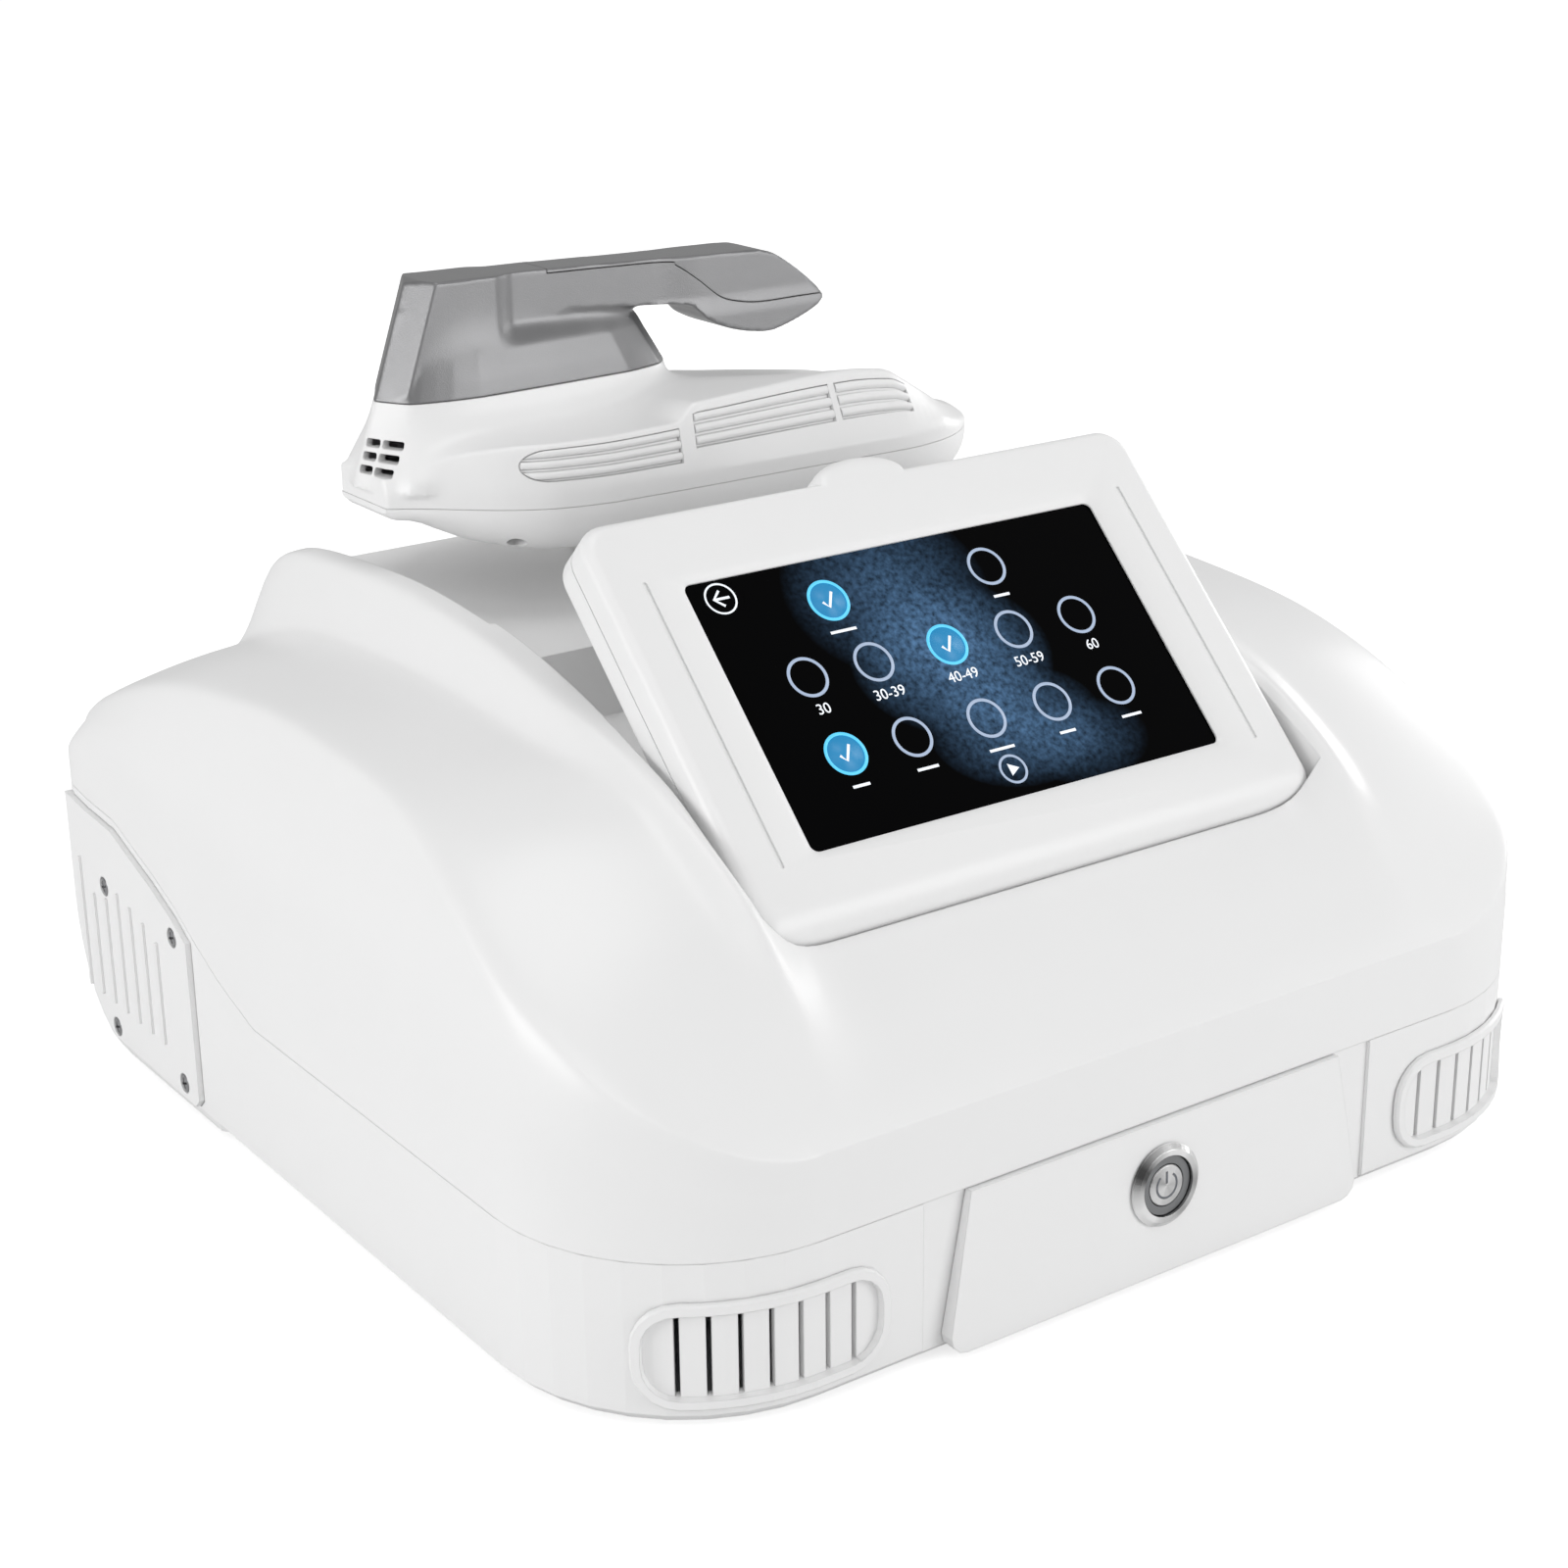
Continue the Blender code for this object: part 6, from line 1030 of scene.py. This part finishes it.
def neck_fill(spots):
    """Where the hollow between neck and head is filled."""
    along, across, above = NECK_FILL
    return (fade(np.abs(spots[:, 1] - HEAD_Y), *across) * fade(spots[:, 0], *along)
            * fade(spots[:, 2] - HEAD_SEAM, *above))


def head_meshes():
    """Upper and lower shells of the head, with the neck grown into the upper one."""
    shell = loft([upper_section(share) for share in head_shares(70)])
    _, right, half = NECK_RINGS[0]
    rings = [boat_ring(z, *neck_size(z)) for z in np.linspace(NECK_FOOT - NECK_ROOT, NECK_TOP, 14)]
    rings += [boat_ring(NECK_TOP + rise, right - rise / 3, half) for rise in (0.006, 0.012)]
    skin = blended([shell, loft(rings)], HEAD_VOXEL, neck_fill, HEAD_FILL_ROUNDS)
    inner_heights = np.linspace(NECK_FOOT - NECK_ROOT, NECK_TOP - HEAD_WALL, 5)
    tools = [
        slab(0.0, HEAD_SEAM + GAP / 5), slab(NECK_TOP, NECK_TOP + 0.1),
        loft([upper_section(share, HEAD_WALL) for share in head_shares(20, 0.03, 0.97)]),
        loft([boat_ring(z, *neck_size(z), HEAD_WALL) for z in inner_heights]),
    ]
    for _, ends, shares, round_left in LOUVRES:
        tools.append(louvre_block(ends, shares, GAP, -LOUVRE_RECESS, OVERRUN, round_left))
    upper = cut(skin, *tools, hose_pit(), *vent_slots())
    aim = LAMP_PIT_AIM.to_track_quat("Z", "Y").to_matrix().to_4x4()
    pit = moved(rod(LAMP_PIT_RADIUS, *LAMP_PIT_ENDS, 32), Matrix.Translation(LAMP_PIT) @ aim)
    return upper, cut(loft([lower_section(share) for share in head_shares(60)]), pit)


# Handle

def slimmed(mesh):
    """The grip's skin with its arm drawn in behind the post's flanks."""
    spots = vertex_rows(mesh)
    along, up = spots[:, 0], spots[:, 2]
    draw = eased(along, *ARM_ROOT) * eased(up, *ARM_LEDGE) * (1 - 0.7 * eased(along, *ARM_WIDENING))
    spots[:, 1] = HEAD_Y + (spots[:, 1] - HEAD_Y) * (1 - ARM_DRAW * draw)
    return put_vertices(mesh, spots)


def prow_ring(z):
    """Plan outline that cuts the grip's left end to the two facets of its prow."""
    front = [(prow_x(z) + x, y) for x, y in PROW_PLAN]
    return plan_ring(z, front, front[1:])


def arm_fill(spots):
    """Where the hollow between post and arm is filled."""
    left, right, top = ARM_FILL
    return fade(spots[:, 0], *left) * fade(spots[:, 0], *right) * fade(spots[:, 2], *top)


def handle_meshes():
    """Silver grip and its cap, cut from one skin along the seam."""
    foot = NECK_TOP + GAP

    def place(share_x, share_z):
        return NECK_LEFT + GRIP_LENGTH * share_x, foot + GRIP_HEIGHT * share_z

    lift = NECK_LEAN * GRIP_HEIGHT / GRIP_LENGTH
    over = curve_through([place(COVER_START_SHARE, COVER_TOP_SHARE)] + [place(*pair) for pair in GRIP_TOP_SHARES])
    under = curve_through([place(*pair) for pair in GRIP_TIP_SHARES])
    ahead = PROW / GRIP_LENGTH
    outline = [place(lift * across - ahead, up) for across, up in GRIP_END_SHARES]
    outline += over + under + [place(*GRIP_ROOT_SHARES)]
    low, high = HEAD_Y - GRIP_HALF_WIDTH, HEAD_Y + GRIP_HALF_WIDTH
    body = softened(extruded(outline, low, high, "xzy"), GRIP_BEVEL)
    body = common(body, loft([prow_ring(foot - GRIP_MARGIN), prow_ring(foot + GRIP_HEIGHT + GRIP_MARGIN)]))
    _, right, half = POST_RINGS[0]
    rings = [boat_ring(foot - POST_ROOT, right + 0.001, half)]
    for along in fractions(18):
        share = POST_RINGS[-1][0] * along
        rings.append(boat_ring(foot + GRIP_HEIGHT * share, smooth(POST_RINGS, share), smooth(POST_RINGS, share, 2)))
    skin = slimmed(blended([body, loft(rings)], GRIP_VOXEL, arm_fill, GRIP_FILL_ROUNDS))
    skin = cut(skin, slab(0.0, foot))
    seam_line = curve_through([place(COVER_START_SHARE, COVER_TOP_SHARE - COVER_STRIP / GRIP_HEIGHT)]
                              + [place(*shares) for shares in GRIP_SEAM_SHARES[:-1]])

    def cap_block(shift):
        line = [(x, z + shift) for x, z in seam_line]
        line[0] = (seam_line[0][0] + shift, line[0][1])
        ends = [(COVER_END_X, line[-1][1]), (COVER_END_X, COVER_END_Z), (line[0][0], COVER_END_Z)]
        return extruded(line + ends, low - GRIP_MARGIN, high + GRIP_MARGIN, "xzy")

    return cut(skin.copy(), cap_block(-GAP / 2)), common(skin, cap_block(GAP / 2))


# Materials

def feed(tree, node, values):
    """Give a node's inputs their numbers, or links where the value is another node's output."""
    for name, value in values.items():
        if isinstance(value, bpy.types.NodeSocket):
            tree.links.new(value, node.inputs[name])
        else:
            node.inputs[name].default_value = value


def add(tree, kind, values, **settings):
    """A new shader node with its settings and inputs."""
    node = tree.nodes.new("ShaderNode" + kind)
    for name, value in settings.items():
        setattr(node, name, value)
    feed(tree, node, values)
    return node


def sum_of(tree, operation, *values):
    """The result of a maths node on numbers and outputs."""
    return add(tree, "Math", dict(enumerate(values)), operation=operation).outputs["Value"]


def ramp(tree, source, low, high):
    """A value between two limits from a value between nought and one."""
    return add(tree, "MapRange", {"Value": source, "To Min": low, "To Max": high}).outputs["Result"]


def own_place(tree, **values):
    """The piece's own coordinates, moved, turned or scaled."""
    spot = tree.nodes.new("ShaderNodeTexCoord").outputs["Object"]
    return add(tree, "Mapping", {"Vector": spot, **values}).outputs["Vector"]


def grain(tree, scale, detail, stretch=(1.0, 1.0, 1.0)):
    """Noise fixed to the piece itself."""
    place = own_place(tree, Scale=stretch)
    return add(tree, "TexNoise", {"Scale": scale, "Detail": detail, "Vector": place}).outputs["Fac"]


def shade(tree, factor, dark, bright):
    """A colour between two colours."""
    values = {"Factor": factor, "A": (*dark, 1), "B": (*bright, 1)}
    return add(tree, "Mix", values, data_type="RGBA").outputs["Result"]


def for_camera(tree, others, own):
    """One value for the camera's own rays and another for all others."""
    rays = tree.nodes.new("ShaderNodeLightPath")
    return ramp(tree, rays.outputs["Is Camera Ray"], others, own)


def blank(name):
    """A new material with its node tree and its shader."""
    made = bpy.data.materials.new(name)
    made.use_nodes = True
    return made, made.node_tree, made.node_tree.nodes["Principled BSDF"]


def finish(name, colour, rough, metal=0.0, spread=0.05, rough_spread=0.06, patch=28.0, pores=900.0, bump=0.04,
           edge=0.0004, stretch=(1.0, 1.0, 1.0), coat=0.0, glow=None):
    """A procedural finish: slightly uneven colour and gloss, fine texture and softly worn edges."""
    made, tree, shader = blank(name)
    broad = grain(tree, patch, 4.0)
    fine = grain(tree, pores, 3.0, stretch)
    dark = [part * (1 - spread) for part in colour]
    bright = [min(part * (1 + spread * 0.5), 1.0) for part in colour]
    mixed = sum_of(tree, "MULTIPLY_ADD", broad, 0.5, sum_of(tree, "MULTIPLY", fine, 0.5))
    relief = {"Strength": bump, "Distance": 0.0004, "Height": fine}
    if edge:
        relief["Normal"] = add(tree, "Bevel", {"Radius": edge}, samples=4).outputs["Normal"]
    feed(tree, shader, {
        "Base Color": shade(tree, broad, dark, bright), "Metallic": metal,
        "Roughness": ramp(tree, mixed, max(rough - rough_spread, 0.02), rough + rough_spread),
        "Normal": add(tree, "Bump", relief).outputs["Normal"], "Coat Weight": coat, "Coat Roughness": 0.08,
    })
    if glow:
        feed(tree, shader, {"Emission Color": (*glow[0], 1), "Emission Strength": glow[1]})
    return made


def lid_frame():
    """The lid's own frame at rest: X along the hinge, Y up the screen, Z out of it."""
    return placing(OFFSET + Vector((0, HINGE_Y, HINGE_Z)), math.radians(LID_TILT), "X")


def display_finish():
    """Black cover glass with a dim mottled blue glow behind its middle."""
    made = finish("display_glass_look", (0.001, 0.001, 0.0012), 0.07, spread=0.2, rough_spread=0.02, bump=0.002,
                  edge=0)
    tree = made.node_tree
    total = 0.0
    for x, up, size, level in GLOW_SPOTS:
        middle = lid_frame() @ Vector((x, up, GLOW_LEVEL))
        place = own_place(tree, Location=[-spot / reach for spot, reach in zip(middle, size)],
                          Scale=[1 / reach for reach in size])
        round_glow = add(tree, "TexGradient", {"Vector": place}, gradient_type="SPHERICAL")
        total = sum_of(tree, "ADD", total, ramp(tree, round_glow.outputs["Fac"], 0.0, level))
    mottle = ramp(tree, grain(tree, 620.0, 10.0), -0.5, 2.5)
    feed(tree, tree.nodes["Principled BSDF"], {
        "Emission Strength": sum_of(tree, "MULTIPLY", total, mottle), "Emission Color": (0.16, 0.34, 0.62, 1),
        "Specular IOR Level": 0.04,
    })
    return made


def button_frame():
    """The power button's own frame, Z out of the panel."""
    lean = math.atan2(PANEL_TOP_Y, PANEL_HEIGHT)
    place = OFFSET + Vector((0, PANEL_TOP_Y * BUTTON_HEIGHT / PANEL_HEIGHT, BUTTON_HEIGHT))
    return placing(place, math.pi / 2 - lean, "X")


def white_finish(name, rough, edge):
    return finish(name, (0.90, 0.90, 0.90), rough, spread=0.012, rough_spread=0.05, bump=0.03, edge=edge)


def reflection_streaked_steel(name, dark, bright):
    """Steel with painted reflections: dark and bright streaks in its colour that run out from the button's axis, in
    place of the reflections round the bezel.
    """
    made = finish(name, [bright] * 3, 0.24, 1.0, rough_spread=0.08, pores=1400.0, bump=0.03, edge=0.0002)
    tree = made.node_tree
    back = button_frame().inverted()
    place = own_place(tree, Rotation=back.to_euler(), Location=back.translation)
    turn = add(tree, "TexGradient", {"Vector": place}, gradient_type="RADIAL").outputs["Fac"]
    # Painted reflection: sine waves round the axis make the dark and bright streaks in the base colour.
    total = STEEL_REFLECTION_MEAN
    for waves, shift, level in STEEL_REFLECTION_STREAKS:
        angle = sum_of(tree, "MULTIPLY_ADD", turn, 2 * math.pi * waves, shift)
        total = sum_of(tree, "MULTIPLY_ADD", sum_of(tree, "SINE", angle), level, total)
    colour = shade(tree, total, [dark] * 3, [bright] * 3)
    feed(tree, tree.nodes["Principled BSDF"], {"Base Color": colour})
    return made


LOOKS = {
    "white_plastic": white_finish("white_plastic_look", 0.34, 0.0005),
    "silver_paint": finish("silver_paint_look", (0.27, 0.27, 0.275), 0.40, 0.85, 0.10, 0.08, 60.0, 2600.0, 0.16,
                           0.0005, coat=0.1),
    # The bezel's steel carries painted reflection streaks in its colour.
    "stainless_steel": reflection_streaked_steel("steel_painted_reflection_look", 0.10, 0.95),
    "plated_steel": finish("plated_steel_look", (0.50, 0.51, 0.52), 0.38, 1.0, 0.08, 0.08, 30.0, 600.0, 0.06, 0.0003),
    "aluminium": finish("aluminium_look", (0.58, 0.58, 0.60), 0.38, 1.0, 0.08, 0.08, 30.0, 700.0, 0.06, 0.0003),
    "display_black": display_finish(),
    "light_ring_grey": finish("light_ring_look", (0.17, 0.175, 0.18), 0.3, spread=0.05, coat=0.4),
    "black_plastic": finish("black_plastic_look", (0.025, 0.025, 0.026), 0.48, spread=0.12, bump=0.08),
    "rocker_red": finish("rocker_look", (0.50, 0.035, 0.028), 0.34, spread=0.06),
    "capacitor_sleeve": finish("capacitor_sleeve_look", (0.045, 0.09, 0.23), 0.36, spread=0.08),
    "pad_white": finish("pad_look", (0.74, 0.74, 0.73), 0.5, spread=0.02),
    "copper_winding": finish("copper_winding_look", (0.58, 0.26, 0.13), 0.34, 1.0, 0.10, 0.08, 90.0, 1200.0, 0.2,
                             0.0002, (1.0, 1.0, 8.0)),
    "board_green": finish("board_look", (0.025, 0.14, 0.06), 0.42, spread=0.15, patch=160.0, bump=0.08),
    "foot_rubber": finish("foot_rubber_look", (0.035, 0.035, 0.035), 0.75, spread=0.12, bump=0.12),
}
CASING_LOOK = white_finish("casing_look", 0.32, 0.0007)
# The button's cap carries painted reflection streaks in its colour, in a narrower range of dark and bright.
CAP_PAINTED_REFLECTION_LOOK = reflection_streaked_steel("cap_steel_painted_reflection_look", 0.46, 0.78)
SCREW_LOOK = finish("screw_steel_look", (0.34, 0.34, 0.35), 0.22, 1.0, 0.15, 0.06, 200.0, 1500.0, 0.05, 0.0002)
SYMBOL_LOOK = finish("symbol_look", (0.16, 0.17, 0.19), 0.4, spread=0.05, edge=0)
SIGN_LOOKS = [finish("sign_%s_look" % name, colour, 0.4, edge=0, bump=0.0, glow=(light, level))
              for name, colour, light, level in SIGN_COLOURS]


def dress_nodes():
    """Give every CAD node that still shows the finish of its material slot."""
    slots = {part["node"]: part["material_slot"] for part in frame["record"]["subparts"]}
    for name, node in nodes.items():
        node.data.materials.clear()
        node.data.materials.append(CAP_PAINTED_REFLECTION_LOOK if name == "button_cap" else LOOKS[slots[name]])


# Small pieces

def flat_ring(middle, outer, inner, level, start=0.0, end=360.0, thick=SIGN_THICKNESS):
    """A thin ring, arc or disc on a face."""
    count = round(RING_STEPS * (end - start) / 360)
    outline, bore = (arc(middle, reach, reach, start, end, count) for reach in (outer, inner))
    if end - start < 360:
        return extruded(outline + bore[::-1], level, level + thick)
    disc = extruded(outline[:-1], level, level + thick)
    return cut(disc, extruded(bore[:-1], level - thick, level + 2 * thick)) if inner else disc


def bar(points, width, level, thick=SIGN_THICKNESS):
    """A thin stroke through points on a face, with square ends."""
    left, right = [], []
    for spot, point in enumerate(points):
        before, after = Vector(points[max(spot - 1, 0)]), Vector(points[min(spot + 1, len(points) - 1)])
        run = (after - before).normalized()
        side = Vector((-run.y, run.x)) * width / 2
        left.append(tuple(Vector(point) + side))
        right.append(tuple(Vector(point) - side))
    return extruded(left + right[::-1], level, level + thick)


def number_mesh(words, x, y):
    """A plain number as a thin mesh on the display."""
    curve = bpy.data.curves.new("number", "FONT")
    curve.body, curve.size, curve.align_x, curve.extrude = words, NUMBER_SIZE, "CENTER", SIGN_THICKNESS / 2
    mesh = evaluated(placed("number", curve))
    mesh.materials.clear()
    return moved(mesh, Matrix.Translation((x, y, SIGN_LEVEL + 0.00005)))


def beside(spot, offsets):
    return [(spot[0] + x, spot[1] + y) for x, y in offsets]


def screen_signs():
    """Rings, ticked discs, arrows, plain numbers and short strokes that the display shows."""
    over = SIGN_LEVEL + SIGN_OVER
    lines = [flat_ring(spot, SIGN_RADIUS, SIGN_RADIUS - SIGN_LINE_WIDTH, SIGN_LEVEL) for spot in RING_SPOTS]
    lines.append(flat_ring(PLAY_SPOT, 0.0048, 0.0040, SIGN_LEVEL))
    fills = [flat_ring(spot, SIGN_RADIUS * 0.94, 0.0, SIGN_LEVEL) for spot in FILLED_SPOTS]
    rims = [flat_ring(spot, SIGN_RADIUS * 1.05, SIGN_RADIUS * 0.9, over) for spot in FILLED_SPOTS]
    pale = [bar(beside(spot, TICK), STROKE_WIDTH, over) for spot in FILLED_SPOTS]
    pale += [number_mesh(words, x, y - LABEL_DROP - 0.0010) for words, x, y in NUMBERS]
    for number, (x, y) in enumerate(RING_SPOTS[:1] + RING_SPOTS[5:] + FILLED_SPOTS[::2]):
        reach = 0.0030 + 0.0008 * (number % 3)
        level = y - LABEL_DROP + 0.0008
        pale.append(bar([(x - reach, level), (x + reach, level)], STROKE_WIDTH, SIGN_LEVEL))
    pale += [
        extruded(beside(PLAY_SPOT, PLAY), SIGN_LEVEL, SIGN_LEVEL + SIGN_THICKNESS),
        flat_ring(ARROW_SPOT, 0.0052, 0.0046, SIGN_LEVEL),
        bar(beside(ARROW_SPOT, ARROW_HEAD), ARROW_WIDTH, over),
        bar(beside(ARROW_SPOT, ARROW_SHAFT), ARROW_WIDTH, SIGN_LEVEL),
    ]
    return [gathered(meshes) for meshes in (lines, fills, rims, pale)]


def power_symbol():
    """The arc and bar on the button's cap."""
    curve = flat_ring((0, 0), 0.0041, 0.0034, SYMBOL_LEVEL, 128.0, 412.0, SYMBOL_THICKNESS)
    stroke = bar([(0, 0.0006), (0, 0.0043)], 0.0008, SYMBOL_LEVEL, SYMBOL_THICKNESS)
    return gathered([curve, stroke])


def screw_mesh():
    """A domed screw with a cross slot in its head, along +Z from its seat."""
    radius, height = SCREW_HEAD_RADIUS, SCREW_HEAD_HEIGHT
    dome = arc((0.0, height * 0.45), radius, height * 0.55, 0, 80, 8)
    profile = [(0.0, -SCREW_LENGTH), (SCREW_RADIUS, -SCREW_LENGTH), (SCREW_RADIUS, 0.0), (radius, 0.0)]
    profile += dome + [(0.0, height)]
    cross = []
    for turn in (0.0, math.pi / 2):
        slot = box((-radius * 0.62, -SLOT_HALF_WIDTH, height * 0.35), (radius * 0.62, SLOT_HALF_WIDTH, height * 2))
        cross.append(moved(slot, Matrix.Rotation(turn + SCREW_TURN, 4, "Z")))
    return cut(turned(profile, 40), *cross)


def pieces():
    """Build the finer pieces and hand each to its body."""
    stand_in(casing_mesh(), "upper_casing", "base", "casing", CASING_LOOK, 30.0)
    lid, white = lid_frame(), LOOKS["white_plastic"]
    stand_in(lid_mesh(1), "lid_bezel", "lid", "lid_front", white, 40.0, lid)
    stand_in(lid_mesh(-1), "lid_back", "lid", "lid_rear", white, 40.0, lid)
    upper, lower = head_meshes()
    stand_in(upper, "head_upper_shell", "applicator", "head_upper", white, 40.0)
    stand_in(lower, "head_lower_shell", "applicator", "head_lower", white, 40.0)
    for name, *spans in LOUVRES:
        stand_in(louvre_mesh(*spans), "louvre_" + name, "applicator", "louvre_slats_" + name, white, 40.0)
    grip, cap = handle_meshes()
    stand_in(grip, "handle_grip", "applicator", "grip", LOOKS["silver_paint"], 45.0)
    stand_in(cap, "handle_cover", "applicator", "grip_cap", LOOKS["silver_paint"], 45.0)
    for mesh, name, material in zip(screen_signs(), ("lines", "fills", "rims", "pale"), SIGN_LOOKS):
        rider(mesh, "lid", "screen_" + name, material, lid)
    rider(power_symbol(), "button", "power_symbol", SYMBOL_LOOK, button_frame())
    screw = screw_mesh()
    seat = COVER_FACE_X - SCREW_HEAD_HEIGHT + GAP
    for side, name in ((-1, "left"), (1, "right")):
        for number, (y, z) in enumerate(SCREW_SEATS, start=1):
            place = placing(OFFSET + Vector((side * seat, y, z)), side * math.pi / 2, "Y")
            node = "screw_%s_%d" % (name, number)
            stand_in(screw.copy(), node, "base", "cross_" + node, SCREW_LOOK, 35.0, place)


# Camera, lamps and floor

def camera():
    """The photograph's camera, from its place, heading, dip and roll."""
    heading, dip = math.radians(CAMERA_HEADING), math.radians(CAMERA_DIP)
    ahead = Vector((math.sin(heading) * math.cos(dip), math.cos(heading) * math.cos(dip), -math.sin(dip)))
    level = ahead.cross(Vector((0, 0, 1))).normalized()
    rise = level.cross(ahead)
    roll = math.radians(CAMERA_ROLL)
    right = level * math.cos(roll) + rise * math.sin(roll)
    up = rise * math.cos(roll) - level * math.sin(roll)
    data = bpy.data.cameras.new("camera")
    data.lens, data.sensor_width = CAMERA_LENS, SENSOR
    data.clip_start, data.clip_end = 0.05, 20.0
    made = placed("camera", data)
    turn = Matrix((right, up, -ahead)).transposed().to_4x4()
    made.matrix_world = Matrix.Translation(Vector(CAMERA_PLACE) + OFFSET) @ turn
    bpy.context.scene.camera = made


def lamp(name, place, aim, size, power):
    """A soft square lamp that looks at a point."""
    data = bpy.data.lights.new(name, "AREA")
    data.shape, data.size, data.size_y, data.energy = "RECTANGLE", size, size, power
    made = placed(name, data)
    made.location = place
    made.rotation_euler = (Vector(aim) - Vector(place)).to_track_quat("-Z", "Y").to_euler()


def floor_finish():
    """Pale floor with its own light for the camera alone, so that only the shadow shows on white."""
    made, tree, shader = blank("floor_look")
    feed(tree, shader, {
        "Base Color": (0.82, 0.82, 0.82, 1), "Roughness": 0.9, "Specular IOR Level": 0.1,
        "Emission Color": (1, 1, 1, 1), "Emission Strength": for_camera(tree, 0.0, FLOOR_LIFT),
    })
    return made


def world_finish():
    """White for the camera, softer for the light it gives."""
    world = bpy.data.worlds.new("studio")
    bpy.context.scene.world = world
    world.use_nodes = True
    tree = world.node_tree
    strength = for_camera(tree, WORLD_LEVEL, 1.0)
    feed(tree, tree.nodes["Background"], {"Color": (1, 1, 1, 1), "Strength": strength})


def stage():
    """White floor, white world and soft lamps."""
    mesh = bpy.data.meshes.new("floor")
    reach = FLOOR_REACH
    corners = [(-reach, -reach, 0), (reach, -reach, 0), (reach, reach, 0), (-reach, reach, 0)]
    mesh.from_pydata(corners, [], [(0, 1, 2, 3)])
    mesh.materials.append(floor_finish())
    floor = placed("floor", mesh)
    world_finish()
    for row in LAMPS:
        lamp(*row)
    bpy.context.scene.view_settings.view_transform = "Standard"


dress_nodes()
pieces()
camera()
stage()
